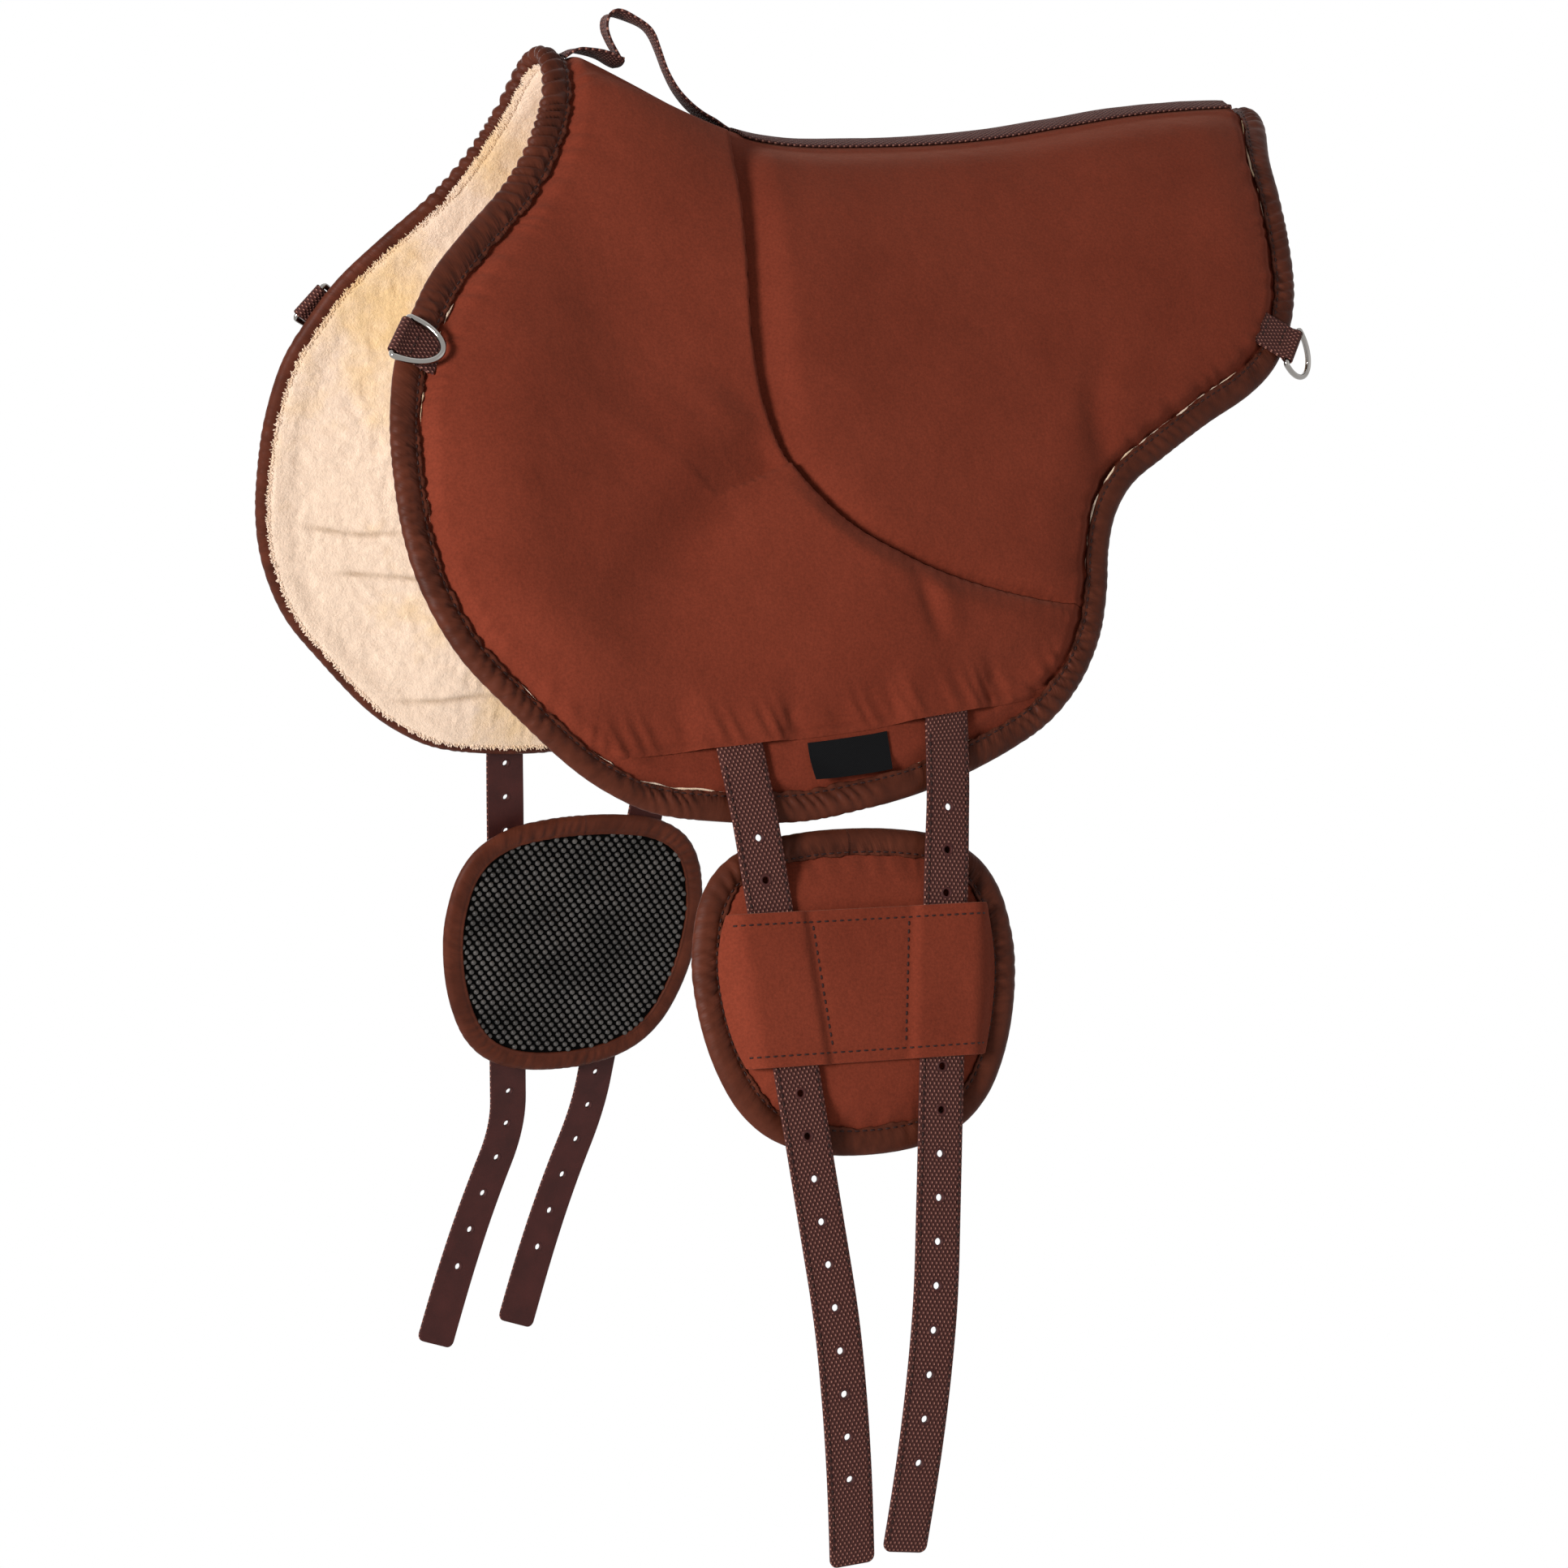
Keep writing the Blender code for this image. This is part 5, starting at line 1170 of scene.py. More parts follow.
class Curtain:
    """Surface that the two straps of one side hang in, hinged at its top.

    a runs along the hinge towards the tail, b down the straps, h outwards.
    """

    def __init__(self, side):
        t = LINING_THICK + LAYER_GAP + MARGIN_THICK + STRAP_LIFT + STRAP_THICK / 2
        xs = np.array((STRAP_FRONT_X, STRAP_REAR_X))
        ends = side_place(xs, FLAP.fold_height(xs) + HINGE_DROP, t, side)
        self.side = side
        self.middle = ends.mean(0)
        self.half = np.linalg.norm(ends[1] - ends[0]) / 2
        self.along = unit(ends[1] - ends[0])
        x = xs.mean()
        s = FLAP.fold_height(x)
        down = side_place(x, s + WEB_WIDTH, t, side) - side_place(x, s, t, side)
        self.down = unit(down - self.along * down.dot(self.along))
        self.out = np.cross(self.down, self.along)
        if self.out[1] * side < 0.0:
            self.out = -self.out
        self.tilt = {-1: self.tilt_at(xs[0]), 1: self.tilt_at(xs[1])}
        self.steps = np.linspace(-CURTAIN_ABOVE, STRAP_LENGTH + CURTAIN_BELOW, CURTAIN_STEPS)
        turn = self.turn(self.steps)
        step = self.steps[1] - self.steps[0]
        self.fallen = np.cumsum(np.cos(turn)) * step
        self.drawn_in = np.cumsum(np.sin(turn)) * step
        self.fallen -= np.interp(0.0, self.steps, self.fallen)
        self.drawn_in -= np.interp(0.0, self.steps, self.drawn_in)

    def tilt_at(self, x):
        """Rise of the flap along the hinge at a strap."""
        s = FLAP.fold_height(x)
        place = side_place(x, s, 0.0, self.side)
        across = side_place(x + WEB_WIDTH, s, 0.0, self.side) - place
        normal = np.cross(across, side_place(x, s + WEB_WIDTH, 0.0, self.side) - place)
        return -normal.dot(self.along) / normal.dot(self.out)

    def turn(self, b):
        """Angle by which the curtain has turned in from the flap's slope at b."""
        knee = STRAP_KNEE * smooth_step(b, STRAP_KNEE_START, STRAP_KNEE_START + STRAP_KNEE_LENGTH)
        return knee + STRAP_CURL[self.side] * smooth_step(b, STRAP_CURL_START, STRAP_LENGTH)

    def normal(self, b):
        """Outward normal at b."""
        turn = np.asarray(self.turn(b))[..., None]
        return self.out * np.cos(turn) + self.down * np.sin(turn)

    def fall(self, b):
        """Direction down the curtain at b."""
        turn = np.asarray(self.turn(b))[..., None]
        return self.down * np.cos(turn) - self.out * np.sin(turn)

    def point(self, a, b, h):
        """Places in the curtain."""
        a, b, h = (np.asarray(v, dtype=float) for v in np.broadcast_arrays(a, b, h))
        fallen = np.interp(b, self.steps, self.fallen)[..., None]
        drawn_in = np.interp(b, self.steps, self.drawn_in)[..., None]
        return (self.middle + self.along * a[..., None] + self.normal(b) * h[..., None]
                + self.down * fallen - self.out * drawn_in)

    def past_bend(self, b):
        """Length beyond the place where the straps hang free, eased in."""
        past = np.maximum(b - STRAP_CURL_START, 0.0)
        reached = np.minimum(past, STRAP_SWING_RUN)
        return reached * reached / (2 * STRAP_SWING_RUN) + past - reached

    def drift(self, b):
        """How far the pair of straps has moved forward at b."""
        return b * math.tan(STRAP_LEAN) + self.past_bend(b) * math.tan(STRAP_SWING[self.side])

    def strap_centre(self, way, b):
        """Place a of a strap's centre line at b; way is -1 for the front strap."""
        closing = b - self.past_bend(b) * (1.0 - STRAP_CLOSING[self.side])
        return way * (self.half - closing * math.tan(STRAP_CONVERGE)) - self.drift(b)

    def strap_point(self, way, w, b, h):
        """Places on a strap, w across it."""
        step = STRAP_SWING_RUN / 10
        slope = (self.strap_centre(way, b + step) - self.strap_centre(way, b - step)) / (2 * step)
        angle = np.arctan(slope) * smooth_step(b, 0.0, WEB_WIDTH)
        h = h + w * self.tilt[way] * (1.0 - smooth_step(b, STRAP_TILT_END / 2, STRAP_TILT_END))
        return self.point(self.strap_centre(way, b) + w * np.cos(angle), b - w * np.sin(angle), h)


CURTAINS = {side: Curtain(side) for side in SIDES}


def hole_rows():
    """Places b of a strap's buckle holes."""
    first = STRAP_LENGTH - LAST_HOLE - HOLE_PITCH * (HOLE_COUNT - 1)
    return first + HOLE_PITCH * np.arange(HOLE_COUNT)


def strap_pattern():
    """Flat strap with rounded corners and its row of holes, in places and faces."""
    half, end, corner = WEB_WIDTH / 2, STRAP_LENGTH, STRAP_CORNER
    edge = np.arange(0.0, end - corner, STRAP_STEP)
    quarter = np.radians(np.linspace(0.0, 90.0, 7))
    left_tip = np.stack([-half + corner - corner * np.cos(quarter),
                         end - corner + corner * np.sin(quarter)], 1)
    left = np.stack([np.full_like(edge, -half), edge], 1)
    left = np.concatenate([left, left_tip])
    outline = np.concatenate([left, left[::-1] * (-1.0, 1.0)])
    turns = circle_turns(16)
    rounds = np.stack([np.cos(turns), np.sin(turns)], 1) * HOLE_RADIUS
    holes = [rounds + (0.0, b) for b in hole_rows()]
    return pattern_mesh(outline, holes, STRAP_STEP)


def hole_rims(name, curtain, way, material):
    """Melted rims of one strap's holes."""
    turns = circle_turns(18)
    rows = hole_rows()
    places = [place for b in rows for r, h in RIM_PROFILE
              for place in curtain.strap_point(way, (HOLE_RADIUS + r) * np.cos(turns),
                                               b + (HOLE_RADIUS + r) * np.sin(turns), h)]
    rim = grid_faces(len(RIM_PROFILE), len(turns), wrap_rows=True, wrap_columns=True)
    faces = repeated(rim, len(rows), len(RIM_PROFILE) * len(turns))
    return add_mesh(name, places, faces, material)


# Girth pads

class GirthPad:
    """Flat pattern of a girth pad, u across it and v down it, and its place on the straps."""

    def __init__(self, side):
        curtain = CURTAINS[side]
        self.side = side
        centre = GIRTH_PLACE[side]
        rounds = [(GIRTH_HALF_WIDTH * u, GIRTH_HALF_HEIGHT * v) for u, v in GIRTH_SHARES]
        rounds += [(-u, v) for u, v in reversed(rounds[1:-1])]
        self.outline = curve_through(rounds, step=0.004, closed=True)
        # The outline's own way round decides the sign of distances from it
        self.turned = np.sign(nearest(self.outline, np.zeros((1, 2)), closed=True)[0][0])
        self.tape_line = curve_through(self.outline, TAPE_STEP, closed=True)
        self.tape_normals = inward_normals(self.tape_line)
        self.half = (curtain.half - centre * math.tan(STRAP_CONVERGE)) * math.cos(STRAP_LEAN)
        self.normal = unit(curtain.normal(centre))
        fall = curtain.fall(centre)
        self.down = fall * math.cos(STRAP_LEAN) - curtain.along * math.sin(STRAP_LEAN)
        self.across = curtain.along * math.cos(STRAP_LEAN) + fall * math.sin(STRAP_LEAN)
        self.origin = curtain.point(-curtain.drift(centre), centre, -STRAP_THICK / 2)
        self.stack = CHANNEL_CLEAR + GIRTH_FOAM_THICK + GIRTH_EDGE_TOP

    def put(self, p, h):
        """Places at height h over the pad's inner face."""
        h = np.broadcast_to(np.asarray(h, dtype=float), p.shape[:-1])
        return (self.origin + self.across * p[..., :1] + self.down * p[..., 1:]
                + self.normal * (h[..., None] - self.stack))

    def inside(self, p):
        """Distance inside the outline."""
        return self.turned * nearest(self.outline, p, closed=True)[0]

    def strap_u(self, way, v):
        """Centre line of a strap over the pad."""
        return way * (self.half - v * math.tan(STRAP_CONVERGE))

    def cover_height(self, p, detail):
        """Height of the padded cover's outside, with soft puckers near the binding."""
        away = self.inside(p)
        run = nearest(self.outline, p, closed=True)[1]
        loft = GIRTH_FOAM_THICK * swell(away - BINDING_WIDTH, GIRTH_CROWN_RUN, power=2.0)
        pucker = ripples(run, period=0.013, unrest=1.0, cell=0.03, seed=83)
        pucker = 0.5 * detail.gather * pucker * bell(away, centre=0.020, width=0.006)
        soft = COVER_CRUMPLE * layered_noise(p, 0.05, 91) * smooth_step(away, 0.02, 0.05)
        return GIRTH_EDGE_TOP + np.minimum(loft + pucker + soft, GIRTH_FOAM_THICK - 0.0001)

    def band_height(self, p, detail):
        """Height of the band's inner face, bridging over the straps."""
        away = np.minimum(abs(p[:, 0] - self.strap_u(-1, p[:, 1])),
                          abs(p[:, 0] - self.strap_u(1, p[:, 1])))
        outside = abs(p[:, 0]) > abs(self.strap_u(1, p[:, 1]))
        foot = np.where(outside, 1.6 * CHANNEL_HALF_FOOT, CHANNEL_HALF_FOOT)
        share = 1.0 - smooth_step(away, CHANNEL_HALF_TOP, foot)
        foot = self.cover_height(p, detail) + LAYER_GAP
        belly = BAND_BELLY * smooth_step(away, WEB_WIDTH / 2, WEB_WIDTH)
        foot = foot + np.where(outside, 0.0, belly)
        top = self.stack + STRAP_THICK + CHANNEL_CLEAR
        return foot + (top - foot) * share


GIRTH_PADS = {side: GirthPad(side) for side in SIDES}


def band_crumple(p):
    """Soft unevenness of the band's outside."""
    return BAND_CRUMPLE * layered_noise(p, 0.035, 641)


# Tape folded over an edge

def tape_profile(edge_top):
    """Closed section of the folded tape: distance inside the edge, height, softness."""
    outer = edge_top + BINDING_SLACK + BINDING_WALL
    puff = BINDING_PUFF
    back = BINDING_SLACK + BINDING_WALL
    knots = (
        (0.0151, outer - 0.0018, 0.0), (0.0152, outer - 0.0004, 0.15),
        (0.0143, outer + 0.0002, 0.5), (0.0127, outer - 0.0005, 0.1),
        (0.0108, outer + 0.0005, 0.6), (0.0070, outer + puff + 0.0001, 1.0),
        (0.0030, outer + 0.0007, 1.0), (0.0002, outer - 0.0006, 1.0),
        (-0.0019, edge_top * 0.85, 0.8), (-0.0028, edge_top * 0.5, 0.6),
        (-0.0020, edge_top * 0.05, 0.8), (0.0002, -0.0016, 0.9), (0.0036, -back - 0.0004, 0.9),
        (0.0078, -back - 0.0003, 0.7), (0.0104, -back + 0.0004, 0.1),
        (0.0119, -back - 0.0001, 0.3), (0.0124, -0.0006, 0.1), (0.0121, 0.0012, 0.0),
    )
    return curve_through(knots, step=0.0011)


def folded_tape(name, line, normals, put, edge_top, material, closed, ripple):
    """Skin of a tape folded over an edge; ripple(run, d) gives the gathers' height."""
    profile = tape_profile(edge_top)
    flat = profile[:, :2]
    outward = -left_normals(flat)
    if ((flat - flat.mean(0)) * outward).sum() < 0.0:
        outward = -outward
    run = arc_lengths(np.concatenate([line, line[:1]]) if closed else line)[:len(line)]
    along = arc_lengths(flat)
    rows, columns = len(line), len(flat)
    height = ripple(np.repeat(run, columns), np.tile(flat[:, 0], rows)).reshape(rows, columns)
    height = height * profile[:, 2]
    d = flat[:, 0] + height * outward[:, 0]
    t = flat[:, 1] + height * outward[:, 1]
    # The sewn lip wanders a little
    wave = layered_noise(on_line(run), 0.0065, 113, 2)
    lip = smooth_step(flat[:, 0], start=0.0120, end=0.0150)
    d = d + LIP_WANDER * wave[:, None] * lip
    t = t + LIP_LIFT * wave[:, None] * lip * (flat[:, 1] > 0.0)
    places = put(line[:, None, :] + normals[:, None, :] * d[..., None], t)
    uv = np.stack(np.broadcast_arrays(run[:, None], along), -1)
    return draped(name, places, material, uv, closed=closed)


def gather_ripple(run, d, period, lean, seed):
    """Irregular rounded ridges across a tape, leaning by a share of the distance d."""
    wave = ripples(run + lean * d, period, unrest=0.9, cell=0.03, seed=seed)
    return 2.0 * np.sqrt(np.clip(0.5 - 0.5 * wave, 0.0, 1.0)) - 1.2


def patchy(run, cell, seed):
    """Patches from 0 to 1 along a run."""
    return smooth_step(lattice_noise(on_line(run), cell, seed), start=0.35, end=0.8)


def flap_ripple(detail, side):
    """Gathers of the flap's binding: like rope at the withers, calm under tabs and straps."""
    outline = FLAP.outline
    lengths = arc_lengths(outline)
    half = len(outline) // 2
    calm_runs = []
    for end, start, part in zip(ENDS, (0, half), (outline[:half], outline[half:])):
        k = start + np.abs(part[:, 1] - RING_PLACE[end, side]).argmin()
        calm_runs.append((lengths[k], TAB_CALM))
    for x in STRAP_CROSSINGS:
        # Only the flap's lower edge crosses the straps
        away = np.where(outline[:, 1] > LOWER_EDGE, np.abs(outline[:, 0] - x), np.inf)
        calm_runs.append((lengths[away.argmin()], STRAP_CALM))

    def ripple(run, d):
        calm = np.ones_like(run)
        for centre, width in calm_runs:
            calm *= smooth_step(np.abs(run - centre), 0.9 * width, 1.5 * width)
        wither = 1.0 - smooth_step(run, start=0.09, end=0.19)
        height = detail.gather * (0.25 + 1.1 * patchy(run, cell=0.055, seed=103))
        height = height * gather_ripple(run, d, period=0.0082, lean=0.35, seed=107)
        height *= 0.3 + 0.7 * smooth_step(d, start=0.0, end=0.008)
        rope = detail.wither_gather * gather_ripple(run, d, period=0.0088, lean=0.75, seed=109)
        return (height * (1.0 - wither) + rope * wither) * calm
    return ripple


# Tabs and rings

class EdgeFrame:
    """Local axes at a place on the flap's edge: d inwards, w along it, t off the coat."""

    def __init__(self, side, end):
        s = RING_PLACE[end, side]
        line, normals = FLAP.coarse, FLAP.coarse_normals
        spans = list(range(len(line) - 1))
        if end == "rear":
            spans.reverse()
        for i in spans:
            if (line[i][1] - s) * (line[i + 1][1] - s) <= 0.0:
                break
        share = (s - line[i][1]) / (line[i + 1][1] - line[i][1])
        place = line[i] + (line[i + 1] - line[i]) * share
        inward = unit(normals[i] + (normals[i + 1] - normals[i]) * share)
        inner = place + inward * BINDING_WIDTH
        beside = place + np.array((-inward[1], inward[0])) * BINDING_WIDTH
        self.origin = side_place(*place, 0.0, side)
        self.d = unit(side_place(*inner, 0.0, side) - self.origin)
        w = side_place(*beside, 0.0, side) - self.origin
        self.t = unit(np.cross(self.d, w))
        if self.t[1] * side < 0.0:
            self.t = -self.t
        self.w = np.cross(self.t, self.d)
        top = FLAP_EDGE_TOP + BINDING_SLACK + BINDING_WALL + BINDING_PUFF
        self.middle = top + LAYER_GAP + TAB_PLY + TAB_GAP / 2
        self.tilt = RING_TILT if end == "front" else math.atan2(-self.t[2], -self.d[2])

    def place(self, d, t, w=0.0):
        """Places in the local axes."""
        d, t, w = (np.asarray(v, dtype=float)[..., None] for v in (d, t, w))
        return self.origin + self.d * d + self.t * t + self.w * w


def ring_places():
    """Name and local axes of each ring's place."""
    for side, name in SIDE_NAMES.items():
        for end in ENDS:
            yield f"{name}_{end}", EdgeFrame(side, end)


def ring_path(at):
    """Centre line of a D-ring's wire: bar, corners and bow; with the ring's flat normal."""
    half, corner = RING_INNER / 2 + RING_WIRE, RING_CORNER
    flat = [(w, 0.0) for w in np.linspace(-half + corner, half - corner, 8)]
    turns = np.radians(np.linspace(-90.0, 0.0, 6))[1:]
    right = [(half - corner + corner * math.cos(a), corner + corner * math.sin(a)) for a in turns]
    bow = [(half * math.cos(a), corner + (RING_DEPTH - corner) * math.sin(a))
           for a in np.linspace(0.0, math.pi, 41)[1:]]
    left = [(-w, r) for w, r in reversed(right[:-1])]
    path = np.array(flat + right + bow + left)
    reach = at.d * math.cos(at.tilt) + at.t * math.sin(at.tilt)
    bar = at.place(-BAR_OUT, at.middle)
    return bar + at.w * path[:, :1] + reach * path[:, 1:], np.cross(at.w, reach)


def tube(name, line, flat_normal, radius, material):
    """Closed tube round a closed flat line."""
    ahead = np.roll(line, -1, 0) - np.roll(line, 1, 0)
    ahead /= np.linalg.norm(ahead, axis=1, keepdims=True)
    across = np.cross(ahead, flat_normal)
    turns = circle_turns(16)
    sections = (line[:, None, :] + across[:, None, :] * np.cos(turns)[:, None] * radius
                + flat_normal * np.sin(turns)[:, None] * radius)
    return draped(name, sections, material, ring=True, closed=True)


def band_map(across, run):
    """Flat map of a band's sections, in metres."""
    return np.stack(np.broadcast_arrays(across[None, :], run[:, None]), -1)


def web_edges(shares):
    """Closed section of webbing with rounded edges, from places across half of it."""
    across = np.concatenate([-shares[:0:-1], shares])
    rise = np.interp(np.abs(across), (0.93, 0.985, 1.0), (1.0, 0.7, 0.0))
    return there_and_back(across), there_and_back(rise, -1.0)


def flat_band(name, centres, ups, across, thickness, material):
    """Webbing along a row of centres, with rounded edges; across is half its width."""
    width = np.linalg.norm(across, axis=-1).max()
    shares, rise = web_edges(np.array((0.0, 0.5, 0.93, 0.985, 1.0)))
    across = np.broadcast_to(across, centres.shape)
    sections = (centres[:, None, :] + across[:, None, :] * shares[:, None]
                + ups[:, None, :] * (rise[:, None] * thickness / 2))
    uv = band_map(shares * width, arc_lengths(centres))
    return draped(name, sections, material, uv, ring=True, creases=WEB_CREASE)


# Operators, one for each piece or group of like pieces

def open_sheet(name, p, faces, put, height, material, side_up):
    """Smooth sheet over a flat pattern, with its faces turned to the side given."""
    places = put(p, height)
    lifted = put(p, height + NORMAL_STEP)
    a, b, c = faces[len(faces) // 2][:3]
    turn = np.cross(places[b] - places[a], places[c] - places[a])
    if turn.dot((lifted[a] - places[a]) * side_up) < 0.0:
        faces = [tuple(reversed(f)) for f in faces]
    return add_mesh(name, places, faces, material, p)


def flap_put(side):
    """Places of pattern points on one side, closed over the spine."""
    def put(p, t):
        places = side_place(p[..., 0], p[..., 1], t, side)
        places[..., 1] *= p[..., 1] > 1e-5
        return places
    return put


def region(*tests):
    """Depth inside all of several regions."""
    def signed(p):
        return np.minimum.reduce([test(p) for test in tests])
    return signed


def inside_outline(inset):
    """Depth inside the flap's outline, less an inset."""
    return lambda p: nearest(FLAP.outline, p)[0] - inset


def above_fold(p):
    """Distance above the padding's lower edge."""
    return FLAP.fold_height(p[:, 0]) - p[:, 1]


class PAD_OT_fleece_linings(bpy.types.Operator):
    """Fleece linings with curled pile, seams and tufts over the binding"""
    bl_idname = "pad.fleece_linings"
    bl_label = "Fleece Linings"

    def execute(self, context):
        detail = context.scene.pad_detail
        material = finish_of("fleece")
        step = detail.fleece_step
        p, faces = sheet_grid((-FRONT_REACH, 0.0), (REAR_REACH, FLAP_DROP + step), step,
                              inside_outline(PILE_SPILL))
        height = self.pile(p, detail)
        for side, name in SIDE_NAMES.items():
            lining = open_sheet(f"{name}_fleece", p, faces, flap_put(side), height, material, -1)
            # The seams' share also drives the painted shade along the seams in the fleece material
            seams = lining.data.attributes.new("seam", "FLOAT", "POINT")
            seams.data.foreach_set("value", self.seam_share(p).astype(np.float32))
            place_piece(lining, "pad", [f"{name}_fleece_lining"])
            self.add_tufts(side, detail, material)
            self.add_peek(side, material)
        return {"FINISHED"}

    def pile(self, p, detail):
        """Height of the pile's surface, towards the coat."""
        warp = np.stack([layered_noise(p, 0.016, 201), layered_noise(p, 0.016, 211)], 1)
        q = p + 0.005 * warp
        curls = 1.0 - np.abs(layered_noise(q, 0.0105, 221, 1))
        fine = 1.0 - np.abs(layered_noise(q * (1.0, 0.62), 0.0048, 231, 1))
        tips = lattice_noise(p, 0.0027, 241)
        billows = layered_noise(p, 0.06, 251)
        edge = nearest(FLAP.outline, p)[0]
        rise = smooth_step(edge, PILE_SPILL - PILE_ROUND, PILE_SPILL + 4.5 * PILE_ROUND)
        over_tape = 1.0 - smooth_step(edge, BINDING_INSIDE - 4 * PILE_ROUND,
                                      BINDING_INSIDE + 16 * PILE_ROUND)
        height = detail.pile * (0.26 * curls + 0.20 * fine + 0.12 * tips + 0.36 * billows)
        height *= 1.0 - 0.97 * self.seam_share(p)
        # The pile closes over the fold along the spine
        height += 0.6 * detail.pile * bell(p[:, 1], centre=0.0, width=0.008)
        lift = BINDING_SLACK + BINDING_WALL + PILE_ROUND
        return -(LAYER_GAP + lift * over_tape + height * rise * (1.0 - 0.4 * over_tape))

    @staticmethod
    def seam_share(p):
        """1 in the lining's seams, where the pile parts, 0 away from them."""
        share = np.zeros(len(p))
        for seam in FLEECE_SEAMS:
            away, run = nearest(curve_through(seam, step=0.006), p)
            fade = smooth_step(run, 0.0, 0.030)
            share = np.maximum(share, fade * bell(away, centre=0.0, width=0.0021))
        return share * (0.6 + 0.4 * layered_noise(p, 0.010, 261))

    def add_tufts(self, side, detail, material):
        """Ragged tufts of pile that spill over the binding's inner edge."""
        rng = np.random.default_rng(300 + side)
        run = arc_lengths(FLAP.outline)
        at = np.concatenate([rng.uniform(0.0, run[-1], detail.tufts),
                             rng.uniform(0.0, WITHER_RUN, detail.tufts // 4)])
        count = len(at)
        base = along_line(at, run, FLAP.outline).T
        inward = along_line(at, run, FLAP.normals).T
        inward /= np.linalg.norm(inward, axis=1, keepdims=True)
        beside = inward[:, ::-1] * (1.0, -1.0)
        reach = rng.uniform(*TUFT_LENGTH, count) * (2.0 - smooth_step(at, start=0.08, end=0.16))
        lean = rng.uniform(-TUFT_LEAN, TUFT_LEAN, count) * reach
        width = rng.uniform(*TUFT_WIDTH, count)
        depth = rng.uniform(PILE_SPILL, PILE_SPILL + TUFT_ROWS, count)
        flat, heights = [], []
        for share, girth, height in TUFT_PROFILE:
            centre = base + inward * (depth - reach * share)[:, None]
            centre += beside * (lean * share)[:, None]
            for turn in circle_turns(TUFT_SIDES)[:TUFT_SIDES if girth else 1]:
                flat.append(centre + beside * (math.cos(turn) * girth * width)[:, None])
                heights.append(0.7 * math.sin(turn) * girth * width - height)
        flat = np.stack(flat, 1)
        flat[..., 1] = np.maximum(flat[..., 1], 0.0)
        places = flap_put(side)(flat, np.stack(heights, 1)).reshape(-1, 3)
        tuft = spike_faces(len(TUFT_PROFILE) - 1, TUFT_SIDES)
        faces = repeated(tuft, count, flat.shape[1])
        made = add_mesh(f"{SIDE_NAMES[side]}_fleece_tufts", places, faces, material)
        place_piece(made, "pad")

    def add_peek(self, side, material):
        """Thin line of pile that shows between the binding and the panels."""
        line, normals = FLAP.outline, FLAP.normals
        run = arc_lengths(line)
        shown = lattice_noise(on_line(run), 0.045, 317 + side)
        shown = smooth_step(shown, start=0.50, end=0.66) * smooth_step(run, start=0.10, end=0.16)
        fine = lattice_noise(on_line(run), 0.007, 331 + side)
        width = PEEK_WIDTH * shown * smooth_step(fine, start=0.3, end=0.7)
        wave = PEEK_WANDER * layered_noise(on_line(run), 0.012, 337 + side)
        shares = np.linspace(-0.6, 1.0, 6)
        d = BINDING_WIDTH + 0.0008 + wave[:, None] + width[:, None] * shares
        edge = line[:, None, :] + normals[:, None, :] * d[..., None]
        edge[..., 1] = np.maximum(edge[..., 1], 0.0)
        low = self.edge_height(edge.reshape(-1, 2)).reshape(d.shape)
        t = low + width[:, None] * 0.7 * (1.0 - shares ** 2) - 0.0003
        made = draped(f"{SIDE_NAMES[side]}_fleece_edge", flap_put(side)(edge, t), material)
        place_piece(made, "pad")

    @staticmethod
    def edge_height(p):
        """Height of panels and margin next to the binding."""
        margin = FLAP.lining_top(nearest(FLAP.outline, p)[0]) + LAYER_GAP + MARGIN_THICK
        return np.where(above_fold(p) > 0.0, FLAP.cover_height(p), margin)


class PAD_OT_panels(bpy.types.Operator):
    """Padded front and seat panels with their seam, valley and creases"""
    bl_idname = "pad.panels"
    bl_label = "Panels"

    def execute(self, context):
        detail = context.scene.pad_detail
        material = finish_of("suede")
        step = detail.panel_step

        def before_seam(p):
            return -nearest(FLAP.seam, p)[0] - SEAM_GAP

        def behind_seam(p):
            return nearest(FLAP.seam, p)[0] - SEAM_GAP

        tucked = inside_outline(BINDING_WIDTH - TUCK)
        panels = (
            ("front_panel", region(tucked, before_seam, above_fold), ("front_panel", "foam_core")),
            ("seat_panel", region(tucked, behind_seam, above_fold), ("seat_panel",)),
        )
        for panel, signed, nodes in panels:
            p, faces = sheet_grid((-FRONT_REACH, 0.0), (REAR_REACH, FLAP_DROP), step, signed)
            height = FLAP.cover_height(p, detail)
            for side, name in SIDE_NAMES.items():
                made = open_sheet(f"{name}_padded_{panel}", p, faces, flap_put(side), height,
                                  material, 1)
                place_piece(made, "pad", [f"{name}_{node}" for node in nodes])
        for side in SIDES:
            self.add_seam_allowance(side, material)
        return {"FINISHED"}

    def add_seam_allowance(self, side, material):
        """Turned-in cloth that closes the seam from below."""
        seam = curve_through(FLAP.seam, step=0.003)
        seam = seam[nearest(FLAP.outline, seam)[0] > BINDING_INSIDE]
        d = np.linspace(-TUCK, TUCK, 5)
        flat = seam[:, None, :] + left_normals(seam)[:, None, :] * d[:, None]
        flat[..., 1] = np.maximum(flat[..., 1], 0.0)
        height = FLAP.lining_top(nearest(FLAP.outline, flat.reshape(-1, 2))[0]) + LAYER_GAP
        made = open_sheet(f"{SIDE_NAMES[side]}_seam_allowance", flat.reshape(-1, 2),
                          grid_faces(len(seam), len(d)), flap_put(side), height + 0.0005,
                          material, 1)
        place_piece(made, "pad")


